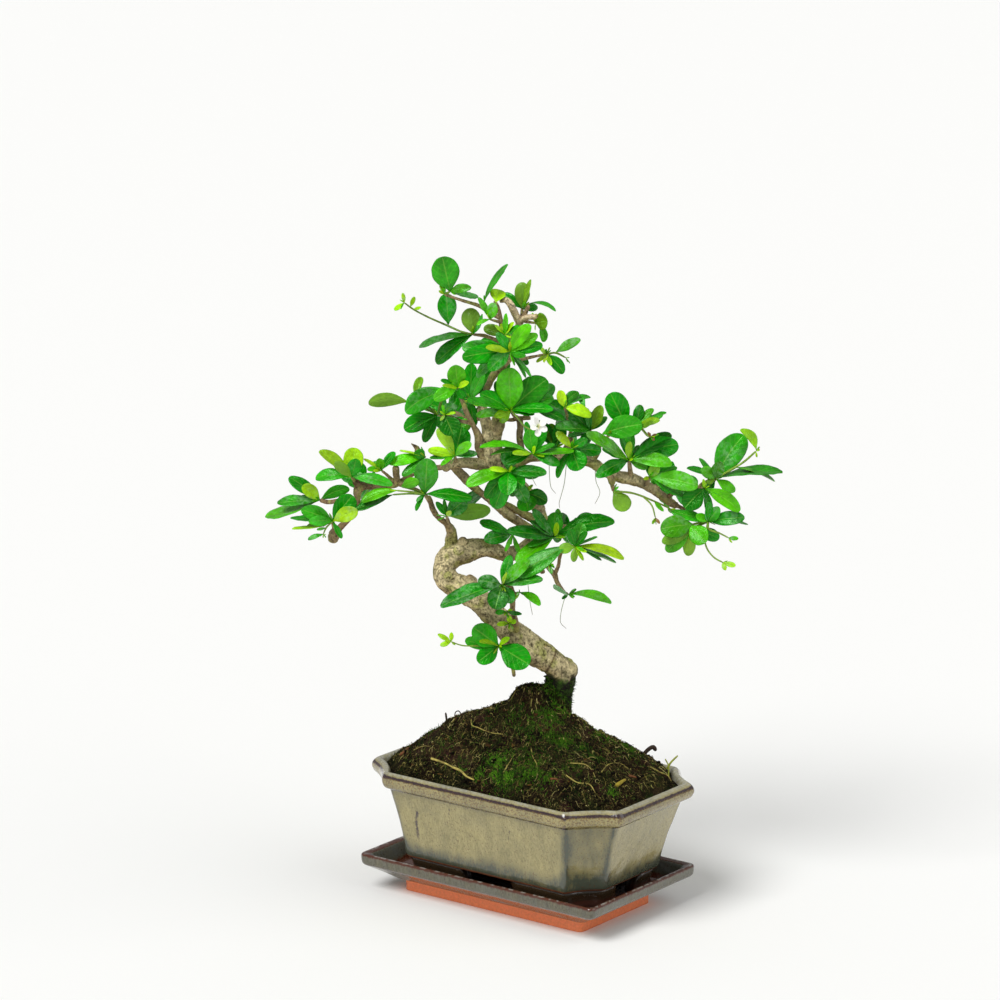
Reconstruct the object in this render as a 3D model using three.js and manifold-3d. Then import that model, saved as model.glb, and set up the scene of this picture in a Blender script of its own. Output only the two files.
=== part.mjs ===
// A small Fukien tea bonsai in a glazed rectangular pot on its matching saucer, in millimetres, +Z up.
// X runs along the pot's long side, Y across it, and the origin is the middle of the saucer's underside.
import * as THREE from 'three';
import { mergeVertices } from 'three/addons/utils/BufferGeometryUtils.js';
import Module from 'manifold-3d';

const wasm = await Module();
wasm.setup();

// Saucer: half lengths along X and Y at each height, from the foot's underside over the rim to the floor
const SAUCER_RINGS = [
  [56.7, 30.3, 0], [56.7, 30.3, 5.5], [59.5, 33, 6.2], [66, 38, 10], [72.6, 43.8, 13.6], [74.2, 45.2, 14.6],
  [74.6, 45.6, 19.6], [73.8, 44.8, 20.4], [70.4, 41.7, 19.2], [66, 38.4, 12], [64, 36.6, 10.5],
];
const SAUCER_CORNER = 3;

// Pot: how far each ring lies inside the rim's widest line, and its height
const RIM_HALF_X = 80;
const RIM_HALF_Y = 50.55;
const RIM_CHAMFER_X = 22.1;
const RIM_CHAMFER_Y = 18.75;
const CHAMFER_DIP = 1.8;
const POT_CENTRE = [1.9, 1.4];
const POT_RINGS = [
  [19.2, 21], [17.2, 21.6], [16.3, 23.2], [14.9, 30], [12.3, 40], [9, 50], [6.4, 56], [4.2, 58.9],
  [2.4, 60], [1.1, 62.6], [0, 66.6], [0.7, 68.1], [3.4, 67.4], [5.6, 65], [7.4, 60], [18.6, 31], [21, 27],
];
const FOOT_TOP = 22.2;
const FOOT_UNDERSIDE = 10.8;
const FOOT_TOP_INSET = 18.2;
const FOOT_LOW_INSET = [20.4, 16];
const FOOT_WALL = 9;
const FOOT_ARCH_TOP = 19.6;
const FOOT_ARCH_LONG = 15;
const FOOT_ARCH_SHORT = 10;
const DRAIN_RADIUS = 5;
const DRAIN_X = 28;

// Soil: the mound's height from its crown to the pot's rim, by the share of the way out
const SOIL_PROFILE = [
  [0, 115.4], [0.1, 112.6], [0.17, 104], [0.3, 98.6], [0.43, 91.6], [0.55, 86.4], [0.68, 82],
  [0.82, 75.5], [0.93, 71], [1, 65],
];
const SOIL_CROWN = [5, -3];
const SOIL_LUMP = { x: -34.7, y: -13.8, height: 5.5, reach: 17 };
const SOIL_PIECES = [1, 1, 5, 1, 1, 3, 1, 1, 5, 1, 1, 3];
const SOIL_RELIEF = 1.1;
const SOIL_GAP = 0.5;
const SOIL_SIDE = [[20.8, 27.4], [19.1, 31.4], [15.2, 41.4], [11.3, 51.4], [6.4, 65]];

// The tree is measured by an onlooker: u runs to the right, w upwards and v away, round the saucer's middle
const LOOK_TURN = THREE.MathUtils.degToRad(37.2);
const EYE = { u: -13.8, v: -2219.8, w: 754.9 };
const DEPTH_FROM = 120;
const DEPTH_TO = 200;
const DEPTH_GAIN = 2;

// Leaves and twigs
const BARK_BUMPS = 0.055;
const BLADE = 0.9;
const CLEAR = 0.36;
const HEART = 1.4;
const SINK = 0.9;
const STALK = 0.55;
const STALK_END = 0.95;
const NATURAL_WIDTH = 0.36;
const FOLD = 0.16;
const WAVE = 0.3;
const LONG = 7;
const FOLDED = 19;
const LONG_ROWS = [[0.45, 0.72], [0.8, 0.96]];
const SHORT_ROWS = [[0.66, 1]];
const FACING = 0.3;
const BANDS = 12;
const TOUCH = 1e-4;
const ARCH = 0.06;
const LEANS = [0, 2, -2, 4, -4, 6, -6, 8.5, -8.5, 11, -11, 14, -14, 17, -17];
const TURNS = [0, 0.35, -0.35];

// Colours by leaf tone: 0 new, 1 fresh, 2 full green, 3 with a pale sheen, 4 olive underside
const TONES = ['#9cc62a', '#4f9a1d', '#1f6a17', '#4d8447', '#5c7a1a'];

// Limbs, each with its number of sides, then points u, w, v and radius
const LIMBS = [
  // The trunk, from under the soil round its elbows to the fork
  [10, [[15, 84, 0, 8.6], [15.6, 98, 0, 6.4], [16, 108, 0, 6.3], [17.2, 117, 0, 7.2], [15, 124.4, -1, 7],
    [6, 129.4, -3, 7.2], [-4, 137.2, -4, 7], [-14, 147, -4, 6.4], [-25, 158, -3, 6.4], [-33, 163.4, -1, 6.6],
    [-40.6, 167.8, 0, 6.3], [-43, 174, 1, 6.2], [-38.6, 180, 2, 6.6], [-31, 182.6, 3, 6.3], [-23.4, 184.6, 4, 4.9],
    [-17, 183.6, 6, 4], [-11.5, 181.4, 9, 3.8], [-5, 182.6, 12, 3.6], [2, 187.6, 13, 3.5], [6.4, 195, 12, 3.4],
    [6.2, 203, 10, 3.3], [2.4, 210.6, 8, 3.4], [-4.6, 217, 5, 3.7], [-12, 223.6, 2, 4.4], [-17.4, 231, 0, 5.6],
    [-18.4, 239, 0, 5.2], [-17.4, 246.4, 0, 4.8]]],
  // The fork's two prongs and its cut knob
  [6, [[-18.6, 241, 0, 3.6], [-20.6, 249, 1, 3], [-22.6, 256, 3, 2.5], [-22.4, 262, 4, 2]]],
  [6, [[-16.6, 243, 0, 3.4], [-15.8, 250, -1, 2.6], [-15.4, 254, -1, 2]]],
  [6, [[-15.4, 244, -1, 2.6], [-13.4, 248.6, -2.4, 2.3], [-12.8, 250.6, -2.8, 1.5]]],
  // The upper stem to the crown
  [5, [[-22.5, 259, 4, 2.1], [-21.2, 264.6, 4, 1.6], [-17.6, 273, 3, 1.9], [-12.6, 280, 1, 2.9],
    [-9.4, 284.6, 0, 3.1], [-7.6, 290, 0, 2.1], [-5.2, 296.6, 1, 1.9], [-3.6, 302.4, 1, 2.1]]],
  // The pale dead stubs at the top
  [5, [[-3.8, 300, 1, 1.9], [-6.4, 305.6, 0, 1.8], [-8.8, 310.4, -1, 1.7], [-11.2, 312.4, -1, 1.5],
    [-13.9, 311.4, -1, 0.9]]],
  [5, [[-4, 301.2, 1, 1.7], [0, 303.6, -1, 1.5], [3.2, 303.8, -2, 1.6], [5, 304.8, -2, 1]]],
  [5, [[-2.4, 302.6, 1, 1.4], [-0.8, 306.6, 1, 1.2], [0.7, 309.6, 1, 0.9]]],
  [4, [[-9.6, 288, 1, 1.3], [-12.6, 296, 3, 1.2], [-13.6, 303, 3, 1.2], [-15, 309, 3, 1], [-16.6, 312, 3, 0.8]]],
  // The left branch: cut end, then the long run to the far stub
  [6, [[-17, 228.4, 0, 3.2], [-24, 228.4, -2, 2.9], [-31, 229, -3, 2.6], [-37, 228.6, -3, 2.6], [-40.4, 227.2, -4, 2.3],
    [-42.6, 225.4, -4, 2]]],
  [5, [[-37, 228, -2, 2], [-44, 226.6, 2, 1.5], [-52, 225.6, 3, 1.4], [-58, 223.2, 2, 1.4], [-63, 219.4, 0, 1.7],
    [-66, 218.2, -1, 2], [-71, 216.4, -2, 1.4], [-77, 216.4, -3, 1.4], [-82, 217, -4, 2], [-85, 215.6, -4, 2.5],
    [-85.8, 210, -4, 1.7], [-86, 205.4, -4, 1.4], [-90, 199.8, -4, 1.3], [-94.4, 195.6, -4, 1.8], [-97.6, 191.4, -4, 3.1],
    [-98.2, 187.6, -4, 2.4]]],
  [5, [[-66, 218, -1, 1.8], [-66, 222, -2, 1.8], [-66.2, 226, -3, 1.9], [-66.6, 227.6, -3, 1.2]]],
  [5, [[-84.6, 216, -4, 2], [-86.2, 218.6, -4.6, 1.8], [-87.6, 219.2, -5, 1.2]]],
  [4, [[-55.4, 225, 3, 0.9], [-56.6, 231, 4, 0.9], [-55.4, 236, 4, 1.4], [-58.4, 238.9, 4, 0.35]]],
  // The pale limb that crosses from the left branch down to the trunk
  [5, [[-37.6, 227.4, -2, 2.2], [-33, 222.8, -1, 2.3], [-28, 217.4, 0, 2.3], [-22.4, 212.6, 1, 1.7], [-16.4, 207.6, 2, 2],
    [-11, 203, 3, 2.4], [-4.6, 198.6, 6, 2.4], [2.6, 193.6, 10, 2.4]]],
  [5, [[5, 198.6, 11, 2.4], [-0.6, 201.8, 8, 2.3], [-7, 205, 7, 2], [-12.8, 208.4, 6, 1.7]]],
  // The right limb
  [6, [[-10.4, 222.4, 2, 3], [-5, 228, -1, 2.6], [0.6, 231.4, -2, 2.3], [9, 231.8, -2, 2.1], [17, 231.8, -3, 2.1],
    [25, 231, -3, 2.3], [32.6, 229, -3, 2.6], [39, 224.6, -3, 2.7], [46, 222, -2, 3], [54, 220, 0, 3], [60, 217, 1, 2.5],
    [66.6, 212.6, 2, 2.2], [72, 208.6, 3, 2.1], [75.6, 206.4, 3, 1.8]]],
  [5, [[41, 223.6, -3, 2], [42.4, 220, -4, 1.9], [42.6, 217.4, -4, 1.4]]],
  [4, [[33, 230, -3, 1.3], [35, 233.4, -2, 1.2], [36, 236.4, -1, 1.1], [34.6, 240, 0, 1], [32, 243.6, 1, 0.9]]],
  [5, [[-3, 230.6, -1, 1.7], [-3.4, 237, 0, 1.7], [-4, 243.4, 0, 1.7], [-3.6, 248, 0, 1.7], [-4, 251.8, 0, 1.8]]],
  [4, [[1.6, 252, 0, 1.1], [-4, 251.8, 0, 1.3], [-8.4, 251, 0, 1], [-11, 251.2, 0, 0.8]]],
  // The brown shoot left of the fork
  [5, [[-22, 231, -1, 2.4], [-25, 237, -2, 1.7], [-24.6, 242.6, -3, 2.1], [-27.4, 248.4, -4, 1.4], [-30.4, 254.6, -5, 1.3],
    [-32.8, 261, -5, 1.1], [-34.4, 265, -5, 0.9]]],
  // The shoot that rises from the left elbow
  [6, [[-38.8, 182, 3, 4.6], [-38.4, 188, 3, 3.4], [-38.4, 193.4, 2, 2.7], [-41, 197.6, 0, 1.8], [-45, 200.6, -2, 1.4],
    [-47.6, 204.6, -3, 1.5], [-48.8, 208.8, -4, 1.4], [-49.6, 211.6, -5, 1]]],
  [4, [[-48.8, 208, -4, 1.1], [-52, 212.6, 0, 0.9], [-57, 215.6, 1, 0.9], [-61.6, 217, 1, 0.9], [-65, 217.6, 0, 0.9]]],
  // The stump knob and bumps of the trunk
  [6, [[-33, 184, 3, 3.4], [-32.6, 188, 2, 2.9], [-32.4, 190.4, 2, 1.7]]],
  [6, [[-29, 164, -2, 4.4], [-29, 168, -2, 3.6], [-29, 170.6, -2, 1.8]]],
  [5, [[8, 133, -4, 2.4], [9.2, 136.2, -5, 1.5]]],
  // The upright twig in front of the trunk's lower slope
  [5, [[-5.6, 141, -9, 1.8], [-5.8, 146, -11, 1.5], [-7.4, 153, -12, 1.4], [-7.2, 160, -13, 1.3], [-8.2, 164.6, -14, 1.1]]],
  // The short twig with a dead end at the lowest leaves
  [4, [[-11, 139, -8, 1.2], [-12.4, 134, -12, 1], [-10.6, 129, -13, 0.9], [-7.6, 123, -13, 1], [-6.6, 117.2, -13, 0.95]]],
  // The right lower twig and its two ends
  [5, [[1, 187.4, 12.6, 1.8], [4.4, 182.6, 5, 1.3], [8, 178, 0, 1.1], [11.4, 173.6, -2, 1.2], [13.8, 170.8, -3, 1.5],
    [15, 167, -3, 1.1], [17.4, 163.2, -3, 1], [19.2, 161, -3, 0.9]]],
  [4, [[13.8, 171, -3, 1.2], [15.6, 175, -4, 1], [16.4, 180, -6, 0.95], [18, 184, -9, 0.9], [20.8, 186, -12, 0.85]]],
  [4, [[8, 178, 0, 0.8], [7.4, 174, 1, 0.9], [7.8, 171.4, 1, 1.6]]],
  // Twigs between the right limb and the far right leaves
  [4, [[70, 210.6, 3, 1.3], [76, 214.6, 0, 0.9], [82, 215, -2, 0.8], [87, 216, -4, 0.8]]],
  [4, [[74, 207.4, 3, 1.2], [79, 205, 1, 0.9], [84, 203, -2, 0.9], [88, 200, -5, 0.8]]],
];

// Sprays: name, tone, heart u w v, stems (radius, then points), then leaves
// A leaf is its tip u, w, the width seen, the lean of its tip in v, which face shows, tone, rise of its
// middle, and its own foot u, w where it doesn't spring from the heart
const SPRAYS = [
  ['spray_top_left_tip', 3, [-41.5, 315.2, 0], [[0.8, [-41.5, 315.2, 0], [-38.6, 316.6, 0.6]]], [
    [-42.6, 334.6, 13, -3, 1, 3, 0, -38.6, 316.6], [-28.4, 318.6, 4.6, -5, 1, 1, 1, -38.6, 316.6],
    [-24.6, 314.2, 2.4, 7, 1, 3, -0.5, -38.6, 316.6], [-44.4, 317.2, 1.5, -2, 1, 0, 0]]],
  ['spray_top_left', 2, [-27.4, 294.8, 2], [[0.6, [-27.4, 294.8, 2], [-33, 296.2, 3], [-40, 299.3, 5], [-50, 303.8, 6],
    [-57, 307.6, 6], [-61.6, 311, 6]]], [
    [-40.6, 315.6, 8.8, 2, 1, 2, 0, -39.6, 299.8], [-54.6, 288.4, 2.8, 4, 1, 3, 1.6], [-29.2, 308.2, 9, 5, 2, 4, 0],
    [-22.6, 305.2, 2.2, -4, 1, 2, -1], [-45.6, 280.6, 7, 6, 1, 2, 1.2], [-62.4, 316, 2, -1, 1, 0, 0, -61.4, 311],
    [-56.4, 314, 2.2, 1, 1, 0, 0, -58.6, 308.6], [-66.6, 307.2, 2.6, 0, 1, 0, 0, -61.4, 311],
    [-53.2, 308.6, 1.6, -2, 1, 0, 0, -57, 307.6]]],
  ['spray_top_long', 1, [-18.6, 302.4, -3], [[0.6, [-18.6, 302.4, -3], [-20.4, 306, -2.4], [-21.6, 311.4, -2]]], [
    [-24.8, 313.4, 3, -4, 1, 1, 0.4], [-16.6, 311.4, 5.4, -7, 1, 1, 0.4],
    [-9.9, 330.6, 3.4, 3, 1, 3, 2.2, -21.6, 311.4], [-14.4, 318.2, 7.4, 7, 1, 0, 0, -15.8, 311],
    [-25.4, 299.6, 2.2, -3, 1, 1, 1]]],
  ['spray_top_stub', 2, [-2.8, 307.8, 5], [], [
    [-12.6, 315.6, 4.8, 4, 1, 2, 0.6], [-2.6, 321.4, 8, 3, 2, 4, 0], [14, 306.6, 2, -4, 1, 3, 2.6, 0.6, 310.6],
    [5, 308.6, 4, 4, 1, 2, 0.4], [1.6, 322.6, 2.6, -1, 1, 4, 0]]],
  ['spray_top_oval', 2, [3.8, 300.6, 2.4], [], [
    [10, 301.6, 8.4, -3, 1, 4, 0.4], [8.2, 291, 4.4, 3, 1, 1, 0.8, 6.4, 300.4]]],
  ['spray_top_front', 1, [-8.8, 286, -6.4], [], [
    [1, 299.6, 6.8, -4, 1, 1, 1], [5, 295, 5.8, -7, 1, 1, 0.6], [7.6, 289.6, 6, -4, 1, 2, 0.4],
    [-0.6, 283.4, 3.2, -7, 1, 3, -0.6], [-15.4, 295.4, 4.6, -3, 1, 2, 0.6], [-32.6, 283.2, 9.4, -6, 1, 2, 1],
    [-20.4, 288, 4, -9, 1, 0, 0.6], [-24.2, 282.8, 2.2, -4, 1, 2, 0.4], [-25.6, 273.2, 6.4, -5, 1, 3, 2.2],
    [-19.6, 276.4, 7, -9, 1, 2, 0.6], [-1, 272.6, 2.2, -3, 1, 3, 0.6], [2, 273, 2.2, -6, 1, 3, 0.8],
    [-6.6, 279, 1.6, -6, 1, 1, 0]]],
  ['spray_top_core', 0, [-11.4, 294.6, -2.2], [], [
    [-10.6, 304.6, 2.4, -4, 1, 1, 0], [-7.2, 300.4, 1.8, -5, 1, 0, 0.4], [-16.4, 299.6, 1.8, -3, 1, 0, 0.4],
    [-6.4, 292.6, 1.8, -6, 1, 0, 0.4], [-3.6, 298.6, 2.6, -7, 1, 3, 0.4], [-13.4, 300.4, 1.6, -6, 1, 0, 0],
    [-22, 298.4, 5.4, 3, 1, 4, 0.4]]],
  ['spray_top_right', 2, [9.6, 284.8, -3], [[0.6, [9.6, 284.8, -3], [14, 285.4, -3], [19, 283, -3]]], [
    [18, 274.8, 5.8, -3, 1, 2, 1], [26.4, 292.4, 5, 3, 1, 1, 0.5, 14, 285.6], [6, 288, 2.2, -5, 1, 0, 0],
    [4.4, 280.4, 2, -5, 1, 0, 0], [11.6, 278.8, 2.2, -6, 1, 0, 0], [8.4, 280.8, 2, -7, 1, 0, 0]]],
  ['spray_fan', 2, [-8.4, 256, -4.6], [[0.5, [-8.4, 256, -4.6], [-4.4, 251.4, -11], [-1, 247.4, -14], [2, 246.2, -14.6],
    [4.3, 247.1, -14.8]]], [
    [-9.4, 277.8, 12.6, -5, 1, 1, 0], [9.6, 271.8, 13, 6, 1, 3, 0.8], [12.6, 262.4, 7, 8, 1, 3, 1],
    [13, 256.2, 5.8, -6, 1, 2, 1.4], [-13.4, 266.4, 2.8, -6, 1, 3, 0], [-16, 271.2, 6.4, 3, 1, 2, 0.4],
    [-23.6, 264.6, 7.4, -3, 1, 2, 0.8], [-31, 260.4, 3.8, -7, 1, 3, 0.8], [-16.2, 252.8, 4.4, -10, 1, 0, 0.4],
    [3.6, 254, 3, -5, 1, 2, 0]]],
  ['spray_fan_right', 2, [2.4, 257.6, 2], [], [
    [18.2, 251, 5, -9, 1, 2, 1.2], [24.2, 250.4, 4.4, -3, 1, 2, 1.6], [13, 269, 7, 10, 1, 2, 0]]],
  ['spray_fan_left', 2, [-28.8, 261.2, 3.4], [], [
    [-28, 280.2, 7.4, 2, 1, 2, 0], [-22, 275.6, 5.4, -3, 1, 3, 0.4], [-17.6, 276.4, 6.4, 3, 1, 2, 0.4],
    [-24.6, 258, 2.6, -6, 1, 0, 0.6]]],
  ['spray_shoot_tip', 1, [-35, 267.6, -6.4], [], [
    [-36, 279.4, 8.8, -3, 1, 1, 0], [-29.4, 270.4, 3, -6, 1, 0, 0.4], [-43.6, 271.6, 2.8, -2, 1, 2, 0.4],
    [-42.4, 268.6, 1.8, -5, 1, 0, 0.3], [-47, 261.4, 6.4, -3, 1, 1, 0.8], [-31.4, 262, 4.6, 2, 1, 2, -0.4]]],
  ['spray_left_high', 3, [-45, 253.6, 1], [], [
    [-61.8, 254.8, 9.6, -9, 1, 3, 2.6, -42.6, 265], [-53, 273.2, 4.4, 6, 1, 4, 0.6, -56.6, 263],
    [-79.6, 259.6, 6.8, 3, 2, 4, 2.6, -59, 260], [-62, 246.2, 9, -3, 1, 2, 1], [-52, 239.6, 5.6, -4, 1, 2, 0.6],
    [-34.8, 258.4, 5.4, -5, 1, 2, 1.2], [-58.6, 246.2, 2, -6, 1, 2, 0.4]]],
  ['spray_left_round', 2, [-41.4, 253.6, -9], [], [
    [-37.2, 243.2, 10.6, -4, 1, 2, 0], [-35.8, 254.6, 1.5, -3, 1, 0, 0.4], [-43.8, 250.6, 1.5, -3, 1, 0, 0]]],
  ['spray_left_stub', 1, [-36.4, 232.4, -8.4], [], [
    [-33, 247.6, 11.6, 6, 1, 2, 0], [-45, 246.8, 5.8, 4, 2, 0, 0.6], [-50, 235.6, 4.8, 2, 1, 0, 0.8],
    [-49.2, 231.6, 2.8, 0, 1, 3, 0.4], [-28.4, 239.4, 4.8, -3, 1, 1, 0.6], [-25.2, 233.6, 3.8, -4, 1, 2, 0.5],
    [-43.6, 227.6, 2.2, -4, 1, 1, 0.5], [-41.4, 237.4, 1.6, -4, 1, 0, 0.2]]],
  ['spray_mid_left', 3, [-51.6, 212.6, -8], [[0.6, [-51.6, 212.6, -8], [-58, 213.8, -9], [-66, 214.6, -10]]], [
    [-50.4, 231.2, 11.6, -4, 1, 3, 0], [-83, 208.8, 5, 2, 1, 1, 2, -65, 214.6], [-28.4, 210.6, 5.8, -5, 1, 2, 1.8],
    [-56.2, 204, 2.2, -3, 1, 2, 0.4], [-56, 208.8, 1.8, -3, 1, 2, 0.4], [-54.6, 219.6, 5, -6, 1, 1, 0.4, -63.6, 216.6]]],
  ['spray_mid_round', 3, [-51.4, 232, -2], [], [
    [-56.6, 234.4, 5.6, -3, 1, 3, 0.4], [-63, 222, 3.8, -4, 1, 3, -0.6], [-70, 228.6, 5.8, -3, 1, 1, 0.6],
    [-64.2, 235.2, 1.6, -1, 1, 0, 0.4]]],
  ['spray_elbow', 2, [-40.8, 201.4, -5], [], [
    [-31, 209.8, 8.4, -3, 1, 2, 0.4], [-38.4, 204, 2.6, -5, 1, 0, 0], [-42.2, 210, 2.2, -2, 1, 3, 0],
    [-46, 208.6, 3.2, -4, 1, 2, 0.3], [-19.2, 204.6, 8, 0, 2, 4, 0.6], [-23.6, 213.6, 3.6, 6, 1, 2, -0.6]]],
  ['spray_far_left_high', 0, [-88.4, 221.8, -7], [], [
    [-104.8, 235, 5.4, 2, 1, 0, 1.4], [-87, 236.8, 10, 4, 1, 0, 0], [-96.8, 229, 5.2, -4, 2, 4, 0.4],
    [-86, 231.6, 7.4, -4, 1, 2, 0], [-107, 220.8, 6, 2, 1, 3, 2], [-100.2, 223.4, 1.8, -3, 1, 0, 0.8],
    [-67.8, 217.6, 6.4, -5, 1, 3, 1.4]]],
  ['spray_left_up', 1, [-73.4, 225, -5], [], [
    [-66.6, 234.6, 4.2, 3, 1, 2, 0.6], [-80.6, 225.6, 3, -4, 1, 1, 0.4], [-74.8, 231.6, 4.4, -4, 1, 1, 0],
    [-82.4, 231, 1.6, 2, 1, 0, 0], [-77.6, 229.6, 3.2, 4, 1, 3, 0]]],
  ['spray_far_left', 2, [-104.4, 209.6, 5], [], [
    [-113.6, 217.4, 6.6, -4, 1, 0, 0.4], [-120, 221.6, 6.6, 2, 1, 2, 1], [-89.4, 215.6, 5.8, -6, 1, 3, 1.8],
    [-126.2, 208.2, 5.4, 0, 1, 3, 0.6], [-115, 211.2, 2.8, 4, 1, 2, 0.3], [-132.2, 201.2, 2.8, -2, 1, 1, 0.8]]],
  ['spray_far_left_low', 2, [-98.2, 198.6, -9], [[0.5, [-98.2, 198.6, -9], [-101.4, 195.4, -10], [-103, 192, -10.5]]], [
    [-113.8, 204.6, 7.4, -3, 1, 3, 0.6], [-119.4, 200.4, 4.4, 2, 1, 2, 0.6], [-110.4, 198.4, 5.2, -6, 1, 3, 0.6],
    [-111.4, 195.8, 3, 4, 1, 0, 0], [-85.6, 204.6, 7.2, -4, 1, 0, 0.6], [-88, 212.2, 10.4, 3, 1, 2, 0.4],
    [-110.8, 189, 2.4, -1, 1, 3, 0.4, -103, 192], [-106.2, 194.2, 1.4, 1, 1, 1, 0, -101.4, 195.2],
    [-118.8, 194.6, 2, 0, 1, 0, 0, -103, 196], [-93.8, 189.6, 2.8, -3, 1, 2, 0]]],
  ['spray_crown_right', 1, [18.6, 257.4, -3], [], [
    [16, 266, 4.8, -2, 1, 0, 0], [25.6, 265.4, 4.8, 2, 1, 3, 1.8], [31.8, 262.8, 3.6, 6, 1, 3, 2.6],
    [26.4, 264.6, 3, 5, 1, 3, -0.6, 29, 257.6], [31.8, 252.8, 5.8, -4, 1, 0, 1.4], [22.8, 263.4, 2, 4, 1, 2, 0]]],
  ['spray_dark_right', 2, [31.6, 245.6, 2.4], [], [
    [20.4, 255.8, 7.4, 1, 1, 2, 0.6], [37, 258.6, 6.4, 2, 1, 4, 0], [29.6, 257.6, 4, -2, 1, 2, 0],
    [14.6, 246.8, 6.4, -6, 1, 3, 1], [20, 242.6, 2.8, -3, 1, 2, 0], [27.6, 237.8, 5.4, -4, 1, 2, 0],
    [40, 252.6, 3.6, 3, 1, 2, 0]]],
  ['spray_right_big', 3, [41, 243.2, -7], [[0.8, [41, 243.2, -7], [46, 245.4, -6], [51, 247.4, -5], [56.6, 247, -7],
    [60.4, 243, -8], [62.4, 242.4, -9]]], [
    [41.4, 265, 11.4, 3, 1, 2, 0, 50, 247.4], [57.2, 248.6, 11.6, -5, 1, 3, 1.2, 37.6, 243.8],
    [69.8, 254.8, 2.4, 1, 1, 3, 0.6, 54.4, 247.4], [68, 253.4, 2.4, -3, 1, 3, 0.2, 54.4, 247.4],
    [66.6, 250.8, 3.2, -6, 1, 0, 0.6, 54.4, 247.4], [63, 250, 2.6, -9, 1, 0, -0.6, 56, 247.2],
    [65, 243.6, 1.5, 0, 1, 4, 0, 62, 242.6], [63.8, 240.4, 1.6, -2, 1, 4, 0, 62, 242.6],
    [60.4, 244.6, 1.4, -3, 1, 4, 0, 62, 242.6]]],
  ['spray_right_rosette', 1, [51, 230.2, -5], [], [
    [75.8, 238.4, 10.8, 3, 1, 2, 2], [72.8, 228, 7, -5, 1, 1, 2.2], [51.2, 240.4, 3.4, -4, 2, 0, 0],
    [46.4, 243.2, 2.8, -1, 1, 2, 0], [51.8, 245.4, 5.4, 3, 1, 3, 0], [56.2, 238.2, 2.8, 3, 1, 3, 0],
    [30.4, 242.8, 5.6, -6, 1, 1, 1.4], [37, 236.4, 3.2, -2, 1, 2, 0.4], [34.2, 221.6, 7.4, -6, 1, 2, 1.2],
    [60.2, 226, 3.8, -5, 1, 1, 0.4]]],
  ['spray_right_olive', 2, [61.4, 221.6, -5], [], [
    [65.4, 227.6, 5.6, -3, 1, 4, 0], [62, 230.2, 4.4, 2, 1, 2, 0], [75.2, 226.6, 3.4, 3, 1, 3, 0.6],
    [78.6, 211.4, 5.4, -3, 1, 3, 0.8], [86, 217, 9.4, -5, 1, 1, 1.2], [72.8, 222.4, 3, -7, 1, 3, 0.4],
    [58.6, 220.4, 2, -3, 1, 0, 0]]],
  ['spray_right_mid', 1, [89.4, 215.6, -7], [], [
    [79.2, 205.4, 10.4, -2, 1, 2, 0.6], [107.2, 203.8, 7.2, -4, 1, 1, 1.6], [92, 203, 4, 4, 1, 2, 0],
    [104.8, 209.4, 2.6, 3, 1, 3, 0.8], [88.4, 220.6, 1.8, -2, 1, 0, 0]]],
  ['spray_right_tip', 3, [94.6, 220.6, -2], [[0.7, [94.6, 220.6, -2], [103.5, 226, -3], [109, 229.6, -3], [114.8, 234.9, -3]]], [
    [111.6, 242, 11.2, 4, 1, 3, 1.6], [107, 246.4, 4.6, 2, 1, 0, 2.8, 115, 235.4], [80, 226.2, 4, -3, 1, 2, 1.4],
    [87.6, 226.4, 6, -5, 1, 1, 0.4], [97.2, 230, 6.4, -4, 1, 1, 0], [86.4, 231.2, 2.8, 2, 1, 3, 0],
    [128.6, 223.8, 2.8, -3, 1, 3, 2.8], [124.8, 219.2, 2.2, 3, 1, 1, 2.2, 104, 226.6], [90, 218.4, 3, -3, 1, 4, 0]]],
  ['spray_right_low', 2, [91.2, 198.4, -6.6], [[0.55, [91.2, 198.4, -6.6], [91.6, 194.6, -8], [96.6, 192.6, -8], [101.6, 190, -8]],
    [0.55, [91.2, 198.4, -6.6], [90.2, 193.4, -8.6], [89.6, 189, -9], [91, 184, -9], [94.6, 179.6, -9], [98.8, 177.2, -9]]], [
    [109.6, 200.6, 7, -4, 1, 2, 0.6], [111.2, 197, 1.6, 2, 1, 3, 1.8], [96.4, 205.8, 6, -3, 1, 3, 0],
    [91, 208.4, 4, 3, 1, 2, 0], [84.6, 202.2, 4.2, -3, 1, 1, 0.4], [72.6, 203.8, 5.4, 3, 1, 3, 0.6],
    [67.4, 194.6, 9.6, -4, 1, 0, 0.8, 84, 196.8], [68, 187.6, 6.4, 1, 2, 4, 0.4, 84, 194.4],
    [90, 187.6, 9.6, -8, 1, 0, 0, 82, 196.6], [106.6, 189.6, 2.2, -1, 1, 1, 0, 101.4, 190],
    [105.4, 175.4, 2.8, -1, 1, 0, 0, 98.6, 177.2], [100.4, 173, 2.2, -2, 1, 0, 0, 98.6, 177.2]]],
  ['spray_hanging', 4, [43.2, 214.2, -4.4], [[0.6, [43.2, 214.2, -4.4], [53, 213.2, -5.6], [64, 209, -5], [72, 205.2, -4]],
    [0.5, [58.6, 211.2, -5.6], [62.6, 207, -6], [64.6, 200.4, -6]]], [
    [50.6, 204.4, 8.4, -3, 2, 4, 0], [68.4, 204, 2.2, -4, 1, 1, 0, 64, 208.8], [73, 203, 1.8, -1, 1, 4, 0, 70.6, 205.8],
    [66.8, 197.4, 1.5, -2, 1, 4, 0, 64.6, 200.4], [63, 197.2, 1.5, -1, 1, 4, 0, 64.6, 200.4]]],
  ['spray_centre_right', 1, [2.4, 233.6, -8], [], [
    [1, 246.4, 7.4, -3, 1, 3, 0], [-24.4, 236.8, 2.6, -6, 1, 1, 3.6], [-18.6, 233, 2.2, -3, 1, 1, 2.6],
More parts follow.
